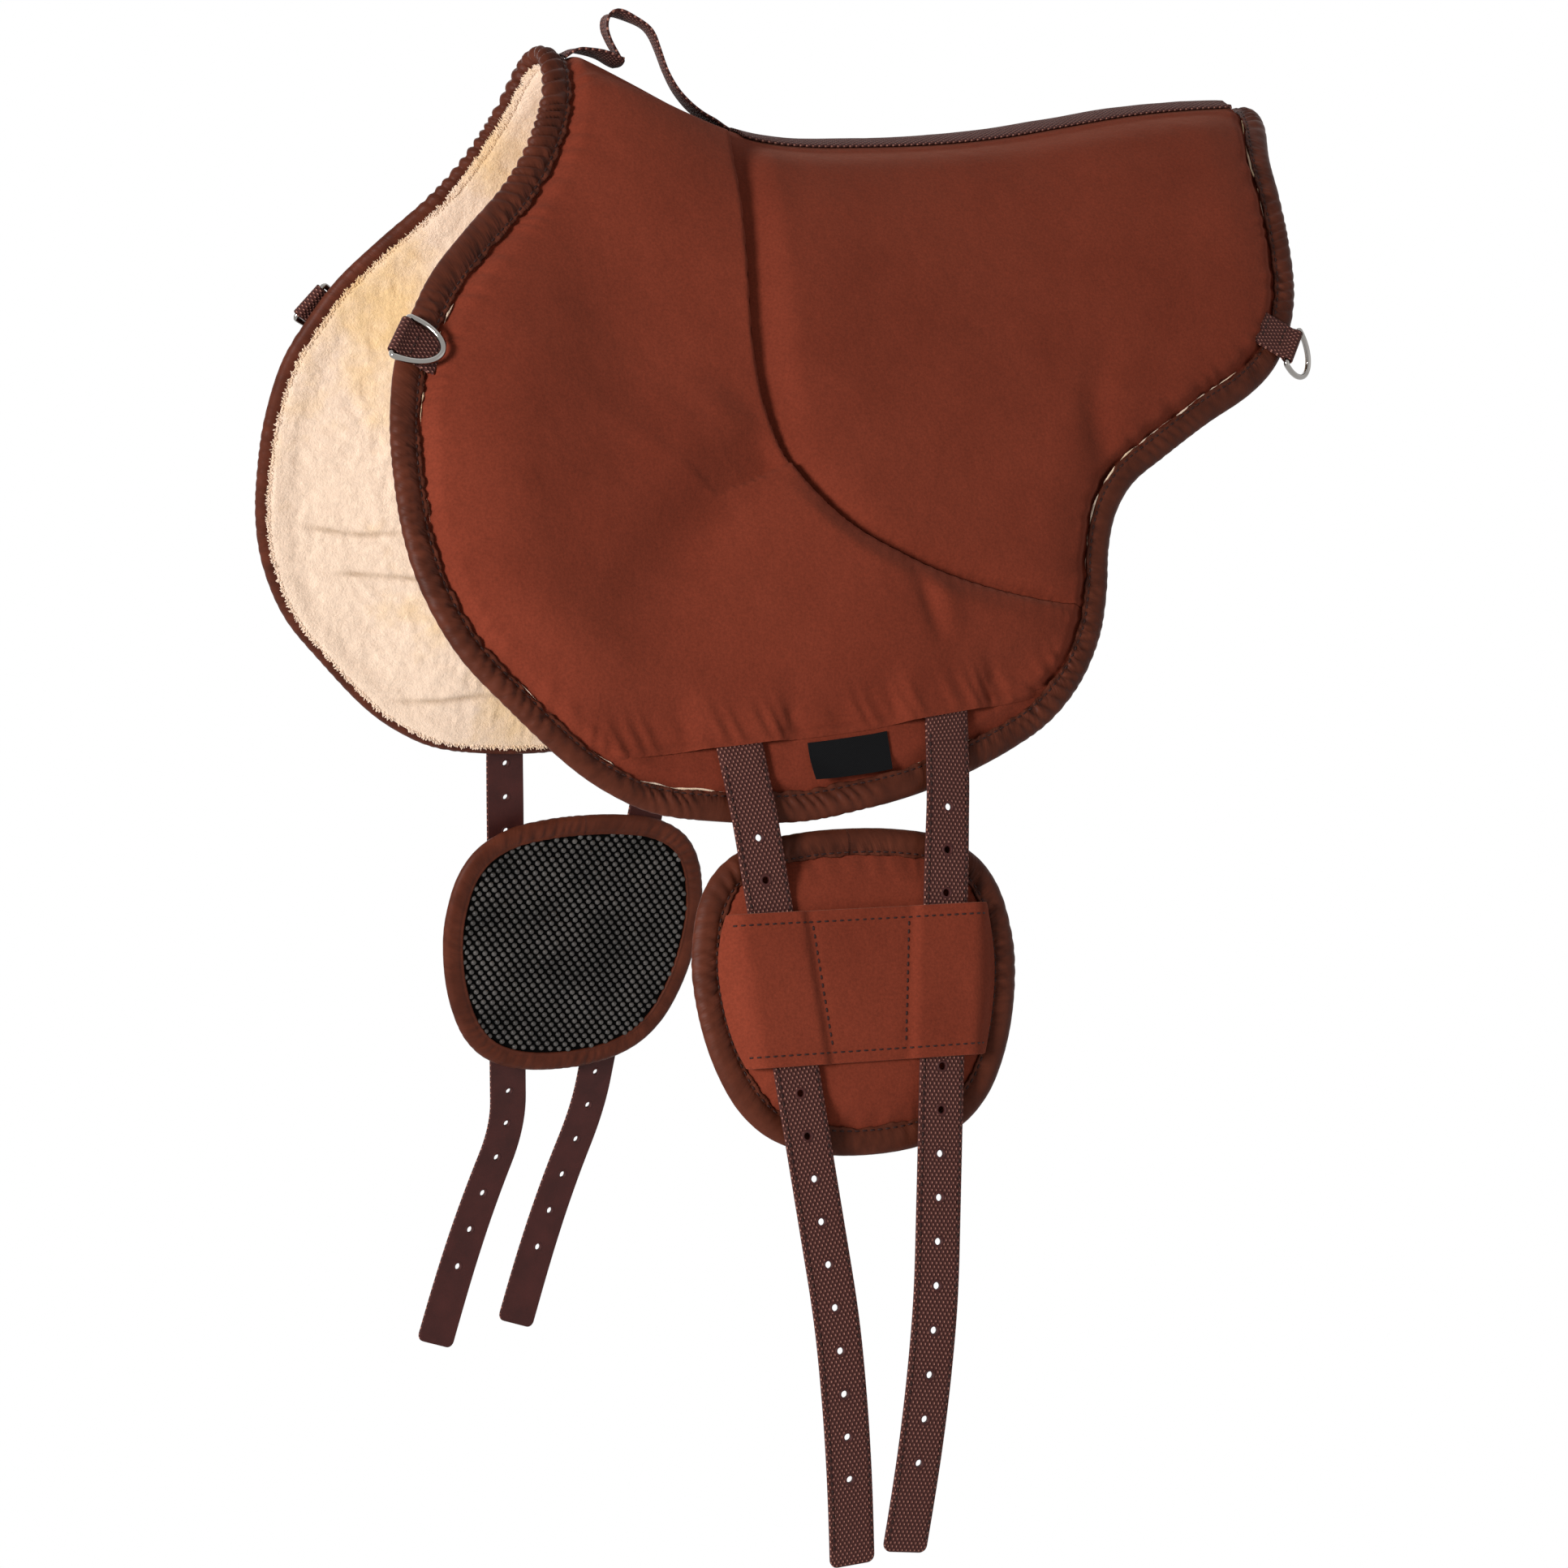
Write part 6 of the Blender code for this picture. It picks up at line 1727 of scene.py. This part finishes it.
class PAD_OT_girth_margins(bpy.types.Operator):
    """Unpadded margins below the panels, with soft ripples"""
    bl_idname = "pad.girth_margins"
    bl_label = "Girth Margins"

    def execute(self, context):
        material = finish_of("suede")

        def below_fold(p):
            return TUCK - above_fold(p)

        p, faces = sheet_grid((-FRONT_REACH, MARGIN_FROM), (REAR_REACH, FLAP_DROP), MARGIN_STEP,
                              region(inside_outline(BINDING_WIDTH - TUCK), below_fold))
        edge = nearest(FLAP.outline, p)[0]
        height = FLAP.lining_top(edge) + LAYER_GAP + MARGIN_THICK
        ripple = layered_noise(p * (1.0, 0.35), 0.022, 401)
        calm = 1.0 - FLAP.over_strap(p[:, 0] + 0.006)
        label = 1.0 - smooth_step(np.abs(p[:, 0] - LABEL_X), LABEL_LENGTH / 2, LABEL_LENGTH)
        height = height - LAYER_GAP + MARGIN_RIPPLE * ripple * calm * (1.0 - label)
        for side, name in SIDE_NAMES.items():
            made = open_sheet(f"{name}_margin", p, faces, flap_put(side), height, material, 1)
            place_piece(made, "pad", [f"{name}_girth_margin"])
            width, length = np.ptp(p[:, 0]), np.ptp(p[:, 1])
        return {"FINISHED"}


class PAD_OT_edge_bindings(bpy.types.Operator):
    """Folded tape round both flaps, gathered like rope at the withers"""
    bl_idname = "pad.edge_bindings"
    bl_label = "Edge Bindings"

    def execute(self, context):
        detail = context.scene.pad_detail
        for side, name in SIDE_NAMES.items():

            def put(p, t, side=side):
                held = np.stack([p[..., 0], np.maximum(p[..., 1], 0.0)], -1)
                return flap_put(side)(held, t)
            made = folded_tape(f"{name}_edge_tape", FLAP.tape_line, FLAP.tape_normals, put,
                               FLAP_EDGE_TOP, finish_of("binding"), False,
                               flap_ripple(detail, side))
            place_piece(made, "pad", [f"{name}_edge_binding"])
        return {"FINISHED"}


def web_over_spine(x, lift):
    """Ridge and unit slopes of webbing laid over the spine at x."""
    x = np.atleast_1d(x)
    lift = lift + SPINE_WEB_LIFT
    top, low = (side_place(x, s, FLAP.cover_height(on_line(x, s)) + lift, NEAR)
                for s in (0.0, SPINE_BARE))
    slope = low - top
    return top[:, 2], slope / np.linalg.norm(slope, axis=1, keepdims=True)


def spine_sections(x, detail):
    """Closed sections of webbing laid over the spine and down both sides, at each x."""
    shares = np.array((0.0, 0.25, 0.5, 0.75, 0.92, 0.985, 1.0))
    both, rise = web_edges(shares)
    both = both * SPINE_WEB_SPREAD
    lift = (0.9 + 0.5 * rise) * SPINE_WEB_THICK
    along, down = np.meshgrid(x, np.abs(both), indexing="ij")
    flat = np.stack([along, down], -1).reshape(-1, 2)
    cover = FLAP.cover_height(flat, detail).reshape(along.shape)
    sections = side_place(along, down, cover + lift, FAR)
    sections[..., 1] *= np.sign(both)
    return sections, both


class PAD_OT_spine_webbing(bpy.types.Operator):
    """Webbing sewn over the spine seam"""
    bl_idname = "pad.spine_webbing"
    bl_label = "Spine Webbing"

    def execute(self, context):
        start = scaled(SEAM_SHARES)[0, 0]
        end = FLAP.outline[-1, 0] - SPINE_WEB_STOP
        x = np.linspace(start, end, 150)
        sections, across = spine_sections(x, context.scene.pad_detail)
        ripple = SPINE_WEB_RIPPLE * layered_noise(on_line(x), 0.03, 503)
        sections[..., 2] += ripple[:, None] * (1.0 - np.abs(across) / np.abs(across).max())
        made = draped("spine_web", sections, finish_of("webbing"), band_map(across, x),
                      ring=True, creases=WEB_CREASE)
        place_piece(made, "pad", ["spine_webbing"])
        return {"FINISHED"}


class PAD_OT_grab_handle(bpy.types.Operator):
    """Slack grab handle with its fold"""
    bl_idname = "pad.grab_handle"
    bl_label = "Grab Handle"

    def execute(self, context):
        half_thick = SPINE_WEB_THICK / 2
        shares = np.array(HANDLE_SHARES)
        x = HANDLE_FRONT + (HANDLE_REAR - HANDLE_FRONT) * shares[:, 0]
        ridge = web_over_spine(x, half_thick)[0]
        route = np.stack([x, ridge + HANDLE_RISE * shares[:, 1]], 1)
        line = curve_through(route, step=0.0022)
        normals = -left_normals(line)
        run = arc_lengths(line)
        share = run / run[-1]
        slopes = web_over_spine(line[:, 0], half_thick)[1]
        arch = np.sin(np.pi * share)
        twist = -HANDLE_TWIST * arch * np.sin(2.1 * np.pi * share)
        both, lift = web_edges(np.array((0.0, 0.3, 0.6, 0.92, 0.985, 1.0)))
        half = 0.42 * SPINE_WEB_WIDTH
        lift = lift * half_thick
        up = np.insert(normals, 1, 0.0, axis=1)
        centre = np.insert(line, 1, 0.0, axis=1)
        # The free loop twists and curls a little
        across = both * half * np.cos(twist)[:, None]
        off_up = both * half * np.sin(twist)[:, None] + HANDLE_CURL * arch[:, None] * both ** 2
        free = (centre[:, None, :] + np.array((0.0, 1.0, 0.0)) * across[..., None]
                + up[:, None, :] * (off_up + lift)[..., None])
        # Both ends lie on the spine and slope down to either side
        laid = centre[:, None, :] + up[:, None, :] * lift[:, None]
        laid = laid + np.abs(both)[:, None] * half * slopes[:, None, :] * (1.0, 0.0, 1.0)
        laid[..., 1] = -slopes[:, 1:2] * both * half
        drape = 1.0 - smooth_step(np.minimum(run, run[-1] - run), 0.0, HANDLE_SEWN)
        drape = drape[:, None, None]
        sections = laid * drape + free * (1.0 - drape)
        made = draped("handle_web", sections, finish_of("webbing"), band_map(both * half, run),
                      ring=True, creases=WEB_CREASE)
        place_piece(made, "pad", ["grab_handle"])
        return {"FINISHED"}


class PAD_OT_girth_straps(bpy.types.Operator):
    """Girth straps: woven webbing, smooth backing and melted hole rims"""
    bl_idname = "pad.girth_straps"
    bl_label = "Girth Straps"

    def execute(self, context):
        half = STRAP_THICK / 2
        webbing, backing = finish_of("webbing"), finish_of("backing")
        places, faces = strap_pattern()
        for side, name in SIDE_NAMES.items():
            curtain = CURTAINS[side]
            for way, end in ((-1, "front"), (1, "rear")):
                def put(p, h, way=way, curtain=curtain):
                    return curtain.strap_point(way, p[:, 0], p[:, 1], h)
                strap = slab(f"{name}_{end}_web", places, faces, put, half - WEB_THICK, half,
                             webbing, 0.0005)
                place_piece(strap, f"{name}_straps", [f"{name}_{end}_strap"])
                inner = slab(f"{name}_{end}_lining", places * (0.985, 1.0), faces, put, -half,
                             -half + BACKING_THICK, backing, 0.0003)
                place_piece(inner, f"{name}_straps", [f"{name}_{end}_strap_backing"])
                rims = hole_rims(f"{name}_{end}_hole_rims", curtain, way, backing)
                place_piece(rims, f"{name}_straps")
                self.add_sewn_end(name, end, curtain, way, webbing)
        return {"FINISHED"}

    def add_sewn_end(self, name, end, curtain, way, material):
        """Top of a strap, sewn in under the padding's edge."""
        b = np.linspace(-SEWN_END_GAP - SEWN_END_LENGTH, SEWN_END_BELOW, 24)
        centres = curtain.strap_point(way, 0.0, b, 0.0)
        across = curtain.strap_point(way, WEB_WIDTH / 2 + SEWN_END_PLAY, b, 0.0) - centres
        ups = np.cross(across, np.gradient(centres, axis=0))
        ups /= np.linalg.norm(ups, axis=1, keepdims=True)
        made = flat_band(f"{name}_{end}_sewn_web", centres, ups, across,
                         STRAP_THICK + 2 * SEWN_END_PLAY, material)
        above, below = curtain.strap_point(way, 0.0, np.array(SEWN_END_BEND), 0.0)
        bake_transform(made)
        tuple(above)
        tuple(below)
        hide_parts(f"{name}_{end}_strap_sewn_end")


class PAD_OT_girth_pads(bpy.types.Operator):
    """Girth pads: padded cover, band over the straps, knobbly mesh and binding"""
    bl_idname = "pad.girth_pads"
    bl_label = "Girth Pads"

    def execute(self, context):
        detail = context.scene.pad_detail
        for side, name in SIDE_NAMES.items():
            pad = GIRTH_PADS[side]
            body = f"{name}_girth_pad"
            self.add_cover(name, pad, body, detail)
            self.add_band(name, pad, body, detail)
            self.add_mesh_side(name, pad, body)
            self.add_knobs(name, pad, body, detail)

            def ripple(run, d, side=side):
                amount = detail.gather * (0.2 + 0.9 * patchy(run, cell=0.04, seed=601 + side))
                amount *= 0.3 + 0.7 * smooth_step(d, start=0.0, end=0.008)
                return amount * gather_ripple(run, d, period=0.0085, lean=0.3, seed=607 + side)
            tape = folded_tape(f"{name}_girth_tape", pad.tape_line, pad.tape_normals, pad.put,
                               GIRTH_EDGE_TOP, finish_of("binding"), True, ripple)
            place_piece(tape, body, [f"{name}_girth_pad_binding"])
        return {"FINISHED"}

    def add_cover(self, name, pad, body, detail):
        """Padded suede cover."""
        p, faces = sheet_grid(pad.outline.min(0), pad.outline.max(0), COVER_STEP,
                              lambda q: pad.inside(q) - COVER_FROM)
        height = pad.cover_height(p, detail)
        made = open_sheet(f"{name}_girth_cover", p, faces, pad.put, height, finish_of("suede"), 1)
        place_piece(made, body, [f"{name}_girth_pad_cover", f"{name}_girth_pad_foam"])

    def add_band(self, name, pad, body, detail):
        """Band with two channels for the straps, hemmed at its open edges."""
        def signed(q):
            return np.minimum.reduce([pad.inside(q) - BAND_FROM, q[:, 1] + BAND_UP,
                                      BAND_DOWN - q[:, 1]])
        low, high = (pad.outline.min(0)[0], -BAND_UP), (pad.outline.max(0)[0], BAND_DOWN + 0.002)
        p, faces = sheet_grid(low, high, BAND_STEP, signed)
        base = pad.band_height(p, detail)
        hem = np.minimum(p[:, 1] + BAND_UP, BAND_DOWN - p[:, 1])
        thick = BAND_THICK + HEM_THICKER * (1.0 - smooth_step(hem, start=0.0075, end=0.0088))
        thick -= HEM_THICKER * bell(hem, centre=BAND_HEM, width=0.0008)
        soft = band_crumple(p) * smooth_step(hem, start=0.002, end=0.012)
        made = slab(f"{name}_girth_band", p, faces, pad.put, base, base + thick + soft + 0.0002,
                    finish_of("suede"), round_edge=0.0003)
        place_piece(made, body, [f"{name}_girth_pad_band"])

    def add_mesh_side(self, name, pad, body):
        """Cloth of the mesh on the inner face, coloured as the painted shade between the knobs."""
        p, faces = sheet_grid(pad.outline.min(0), pad.outline.max(0), MESH_STEP,
                              lambda q: pad.inside(q) - MESH_FROM)
        base = open_sheet(f"{name}_girth_mesh", p, faces, pad.put, np.full(len(p), KNOB_FOOT),
                          finish_of("ground"), -1)
        place_piece(base, body, [f"{name}_girth_pad_mesh"])

    def add_knobs(self, name, pad, body, detail):
        """Knobs of the mesh, in offset rows a little aslant."""
        pitch = detail.knob_pitch
        count = int(KNOB_FIELD / pitch)
        i, k = np.meshgrid(np.arange(-count, count + 1), np.arange(-count, count + 1))
        centres = np.stack([(i + 0.5 * (k % 2)) * pitch, k * pitch * 0.5], -1).reshape(-1, 2)
        cos, sin = math.cos(KNOB_SLANT), math.sin(KNOB_SLANT)
        centres = centres @ np.array(((cos, sin), (-sin, cos)))
        centres = centres[pad.inside(centres) > KNOB_FROM]
        turns = circle_turns(KNOB_SIDES)
        ring = np.stack([np.cos(turns), np.sin(turns)], 1) * (KNOB_RADIUS_SHARE * pitch)
        knob = np.concatenate([ring * share for share, rise in KNOB_PROFILE] + [np.zeros((1, 2))])
        rises = np.append(np.repeat([rise for share, rise in KNOB_PROFILE], KNOB_SIDES), 1.0)
        spots = (centres[:, None, :] + knob).reshape(-1, 2)
        places = pad.put(spots, KNOB_FOOT - np.tile(rises, len(centres)) * detail.knob_height)
        faces = repeated(spike_faces(len(KNOB_PROFILE), KNOB_SIDES), len(centres), len(knob))
        made = add_mesh(f"{name}_girth_knobs", places, faces, finish_of("knob_mesh"))
        place_piece(made, body)


class PAD_OT_ring_tabs(bpy.types.Operator):
    """Webbing tabs folded round the D-rings' bars"""
    bl_idname = "pad.ring_tabs"
    bl_label = "Ring Tabs"

    def execute(self, context):
        for name, at in ring_places():
            line = self.path(at)
            normals = left_normals(line)
            made = flat_band(f"{name}_tab_web", at.place(line[:, 0], line[:, 1]),
                             at.d * normals[:, :1] + at.t * normals[:, 1:],
                             at.w * (TAB_WIDTH / 2), TAB_PLY, finish_of("webbing"))
            place_piece(made, "pad", [f"{name}_ring_tab"])
        return {"FINISHED"}

    def path(self, at):
        """Centre line of the folded tab, from its upper to its lower ply."""
        apart = (TAB_PLY + TAB_GAP) / 2
        upper, lower = at.middle + apart, at.middle - apart
        bore = RING_WIRE + RING_CLEAR + TAB_PLY / 2
        neck = -BAR_OUT + bore * 1.6
        first = math.radians(60.0)
        angles = first + (math.tau - 2 * first) * np.arange(19) / 18
        # The upper ply's cut end is pressed down a little
        plies = [(TAB_REACH + 0.002, upper - LAYER_GAP), (TAB_REACH, upper + LAYER_GAP / 2),
                 (BINDING_WIDTH, upper), (BINDING_WIDTH / 2, upper), (neck, upper)]
        loop = [(-BAR_OUT + bore * math.cos(a), at.middle + bore * math.sin(a)) for a in angles]
        back = [(d, lower) for d in (neck, BINDING_WIDTH / 2, BINDING_WIDTH, TAB_REACH)]
        return np.array(plies + loop + back)


class PAD_OT_d_rings(bpy.types.Operator):
    """Polished D-rings"""
    bl_idname = "pad.d_rings"
    bl_label = "D-Rings"

    def execute(self, context):
        for name, at in ring_places():
            line, flat_normal = ring_path(at)
            made = tube(f"{name}_wire", line, flat_normal, RING_WIRE, finish_of("nickel"))
            place_piece(made, f"{name}_d_ring", [f"{name}_ring"])
        return {"FINISHED"}


class PAD_OT_label(bpy.types.Operator):
    """Bare woven label with one curled corner"""
    bl_idname = "pad.label"
    bl_label = "Label"

    def execute(self, context):
        xs = np.linspace(LABEL_X - LABEL_LENGTH / 2, LABEL_X + LABEL_LENGTH / 2, 28)
        downs = np.linspace(0.0, LABEL_HEIGHT, 14)
        x, down = np.meshgrid(xs, downs)
        p = np.stack([x, FLAP.fold_height(x) + LABEL_DROP + down], -1).reshape(-1, 2)
        corner = (p - p.min(0))[:, 0] / LABEL_LENGTH + (1.0 - down.ravel() / LABEL_HEIGHT) * 0.8
        low = LINING_THICK + MARGIN_THICK + 2 * LAYER_GAP
        low = low + LABEL_CURL * np.clip(1.0 - corner / 0.55, 0.0, 1.0) ** 1.6
        low += LABEL_CRUMPLE * layered_noise(p, 0.012, 701)
        faces = grid_faces(len(downs), len(xs))

        def put(q, t):
            return side_place(q[:, 0], q[:, 1], t, NEAR)
        made = slab("bare_label", p, faces, put, low, low + LABEL_THICK, finish_of("label"),
                    round_edge=0.0002)
        place_piece(made, "pad", ["blank_label"])
        return {"FINISHED"}


class PAD_OT_stitching(bpy.types.Operator):
    """Sewn rows of the flaps, the tabs, the girth pads and the straps"""
    bl_idname = "pad.stitching"
    bl_label = "Stitching"

    def execute(self, context):
        detail = context.scene.pad_detail
        for side, name in SIDE_NAMES.items():
            stitches(f"{name}_flap_stitches", self.flap_rows(side), detail, "pad")
            stitches(f"{name}_girth_stitches", self.girth_rows(side, detail), detail,
                     f"{name}_girth_pad")
            stitches(f"{name}_strap_stitches", self.strap_rows(side), detail, f"{name}_straps")
        return {"FINISHED"}

    @staticmethod
    def lifted(put, p, height):
        """Line on a surface and the surface's normals along it."""
        line = put(p, height)
        normals = put(p, height + NORMAL_STEP) - line
        return line, normals / np.linalg.norm(normals, axis=1, keepdims=True)

    def tape_row(self, put, line, edge_top):
        """Row along a binding's sewn edge."""
        height = edge_top + BINDING_SLACK + BINDING_WALL - STITCH_SUNK
        return self.lifted(put, line, np.full(len(line), height))

    def flap_rows(self, side):
        """Rows on the flap: binding and ring tabs."""
        p = FLAP.tape_line + FLAP.tape_normals * TAPE_SEWN_AT
        rows = [self.tape_row(flap_put(side), p[p[:, 1] > 0.012], FLAP_EDGE_TOP)]
        w = np.linspace(-TAB_ROW_HALF, TAB_ROW_HALF, 12)
        for end in ENDS:
            at = EdgeFrame(side, end)
            top = np.full_like(w, at.middle + TAB_PLY + TAB_GAP / 2)
            for d in TAB_ROWS:
                line = at.place(np.full_like(w, d), top, w)
                rows.append((line, np.broadcast_to(at.t, line.shape)))
        return rows

    def girth_rows(self, side, detail):
        """Rows on a girth pad: hems of the band, edges of the channels and the binding."""
        pad = GIRTH_PADS[side]
        flat = []
        us = np.arange(-GIRTH_HALF_WIDTH, GIRTH_HALF_WIDTH, 0.002)
        for v in (-BAND_UP + BAND_HEM, BAND_DOWN - BAND_HEM):
            p = np.stack([us, np.full_like(us, v)], 1)
            flat.append(p[pad.inside(p) > 0.0155])
        inside_hem = BAND_HEM + 0.0006
        vs = np.arange(-BAND_UP + inside_hem, BAND_DOWN - inside_hem, 0.002)
        for way in (-1, 1):
            us = pad.strap_u(way, vs) - way * (CHANNEL_HALF_FOOT + LAYER_GAP)
            flat.append(np.stack([us, vs], 1))
        rows = [self.lifted(pad.put, p, pad.band_height(p, detail) + BAND_THICK + band_crumple(p))
                for p in flat]
        p = pad.tape_line + pad.tape_normals * TAPE_SEWN_AT
        rows.append(self.tape_row(pad.put, np.concatenate([p, p[:1]]), GIRTH_EDGE_TOP))
        return rows

    def strap_rows(self, side):
        """Rows along both edges of each strap."""
        curtain = CURTAINS[side]
        b = np.arange(0.004, STRAP_LENGTH - 0.006, 0.003)
        return [(curtain.strap_point(way, w, b, STRAP_THICK / 2), curtain.normal(b))
                for way in (-1, 1) for w in (-STRAP_ROW, STRAP_ROW)]


class PAD_OT_stage(bpy.types.Operator):
    """Studio floor, soft lights and the camera"""
    bl_idname = "pad.stage"
    bl_label = "Stage"

    def execute(self, context):
        colours = context.scene.pad_colours
        self.add_floor(colours)
        self.add_world(context.scene, colours)
        for name, place, size, power in LIGHTS:
            self.add_light(name, place, size, power)
        self.add_camera(context.scene)
        context.scene.view_settings.view_transform = "Standard"
        return {"FINISHED"}

    def add_floor(self, colours):
        """Wide pale floor that reads white from the camera and still takes a shadow."""
        finish = Finish("floor", 0.9)
        plane = bmesh.new()
        bmesh.ops.create_grid(plane, x_segments=1, y_segments=1, size=FLOOR_HALF)
        bmesh.ops.translate(plane, verts=plane.verts, vec=(0.0, 0.0, FLOOR_HEIGHT))
        mesh = bpy.data.meshes.new("studio_floor")
        plane.to_mesh(mesh)
        plane.free()
        mesh.materials.append(finish.finish(colours.floor))
        floor = bpy.data.objects.new("studio_floor", mesh)
        bpy.context.scene.collection.objects.link(floor)
        self.show_white(finish.tree, finish.shader.outputs[0], "Material Output")

    @staticmethod
    def show_white(tree, surface, output):
        """White for camera, glossy and transmission rays, the given surface for others."""
        seen = add_node(tree, "ShaderNodeLightPath", output="Is Camera Ray")
        for ray in ("Is Glossy Ray", "Is Transmission Ray"):
            other = add_node(tree, "ShaderNodeLightPath", output=ray)
            seen = add_node(tree, "ShaderNodeMath", {0: seen, 1: other}, operation="MAXIMUM")
        white = add_node(tree, "ShaderNodeEmission", {"Color": (1.0, 1.0, 1.0, 1.0)})
        mix = add_node(tree, "ShaderNodeMixShader", {0: seen, 1: surface, 2: white})
        tree.links.new(mix, tree.nodes[output].inputs["Surface"])

    def add_world(self, scene, colours):
        """Even light from a pale room."""
        world = bpy.data.worlds.new("studio")
        world.use_nodes = True
        room = world.node_tree.nodes["Background"]
        room.inputs["Color"].default_value = (*colours.floor, 1.0)
        room.inputs["Strength"].default_value = ROOM_LIGHT
        self.show_white(world.node_tree, room.outputs[0], "World Output")
        scene.world = world

    def add_light(self, name, place, size, power):
        """Square soft light that faces the pad."""
        data = bpy.data.lights.new(name, "AREA")
        data.size = size
        data.energy = power
        lamp = bpy.data.objects.new(name, data)
        lamp.location = place
        aim = Vector(CAMERA_TARGET) - Vector(place)
        lamp.rotation_euler = aim.to_track_quat("-Z", "Y").to_euler()
        bpy.context.scene.collection.objects.link(lamp)

    def add_camera(self, scene):
        """Camera at the photograph's angle."""
        data = bpy.data.cameras.new("photo_camera")
        data.lens = CAMERA_LENS
        data.sensor_width = CAMERA_SENSOR
        data.clip_start = 0.05
        away = Vector((math.sin(CAMERA_AZIMUTH) * math.cos(CAMERA_ELEVATION),
                       -math.cos(CAMERA_AZIMUTH) * math.cos(CAMERA_ELEVATION),
                       math.sin(CAMERA_ELEVATION)))
        camera = bpy.data.objects.new("photo_camera", data)
        camera.location = Vector(CAMERA_TARGET) + away * CAMERA_DISTANCE
        camera.rotation_euler = (-away).to_track_quat("-Z", "Y").to_euler()
        scene.collection.objects.link(camera)
        scene.camera = camera


OPERATORS = (
    PAD_OT_fleece_linings, PAD_OT_panels, PAD_OT_girth_margins, PAD_OT_edge_bindings,
    PAD_OT_spine_webbing, PAD_OT_grab_handle, PAD_OT_girth_straps, PAD_OT_girth_pads,
    PAD_OT_ring_tabs, PAD_OT_d_rings, PAD_OT_label, PAD_OT_stitching, PAD_OT_stage,
)


class PAD_PT_sidebar(bpy.types.Panel):
    """Pieces, colours and detail of the bareback pad"""
    bl_idname = "PAD_PT_sidebar"
    bl_label = "Bareback Pad"
    bl_space_type = "VIEW_3D"
    bl_region_type = "UI"
    bl_category = "Bareback Pad"

    def draw(self, context):
        pieces = self.layout.column(align=True)
        for operator in OPERATORS:
            pieces.operator(operator.bl_idname)
        for settings in (context.scene.pad_colours, context.scene.pad_detail):
            box = self.layout.box()
            for name in settings.__annotations__:
                box.prop(settings, name)


CLASSES = (PadColours, PadDetail, *OPERATORS, PAD_PT_sidebar)


def register():
    """Register the add-on's classes and settings."""
    for made in CLASSES:
        bpy.utils.register_class(made)
    bpy.types.Scene.pad_colours = PointerProperty(type=PadColours)
    bpy.types.Scene.pad_detail = PointerProperty(type=PadDetail)


def unregister():
    """Take the settings and classes out again."""
    del bpy.types.Scene.pad_detail
    del bpy.types.Scene.pad_colours
    for made in reversed(CLASSES):
        bpy.utils.unregister_class(made)


def main():
    """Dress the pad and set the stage."""
    register()
    for operator in OPERATORS:
        group, name = operator.bl_idname.split(".")
        done = getattr(getattr(bpy.ops, group), name)()
        if done != {"FINISHED"}:
            raise RuntimeError(f"{operator.bl_label} did not finish")


if __name__ == "__main__":
    main()
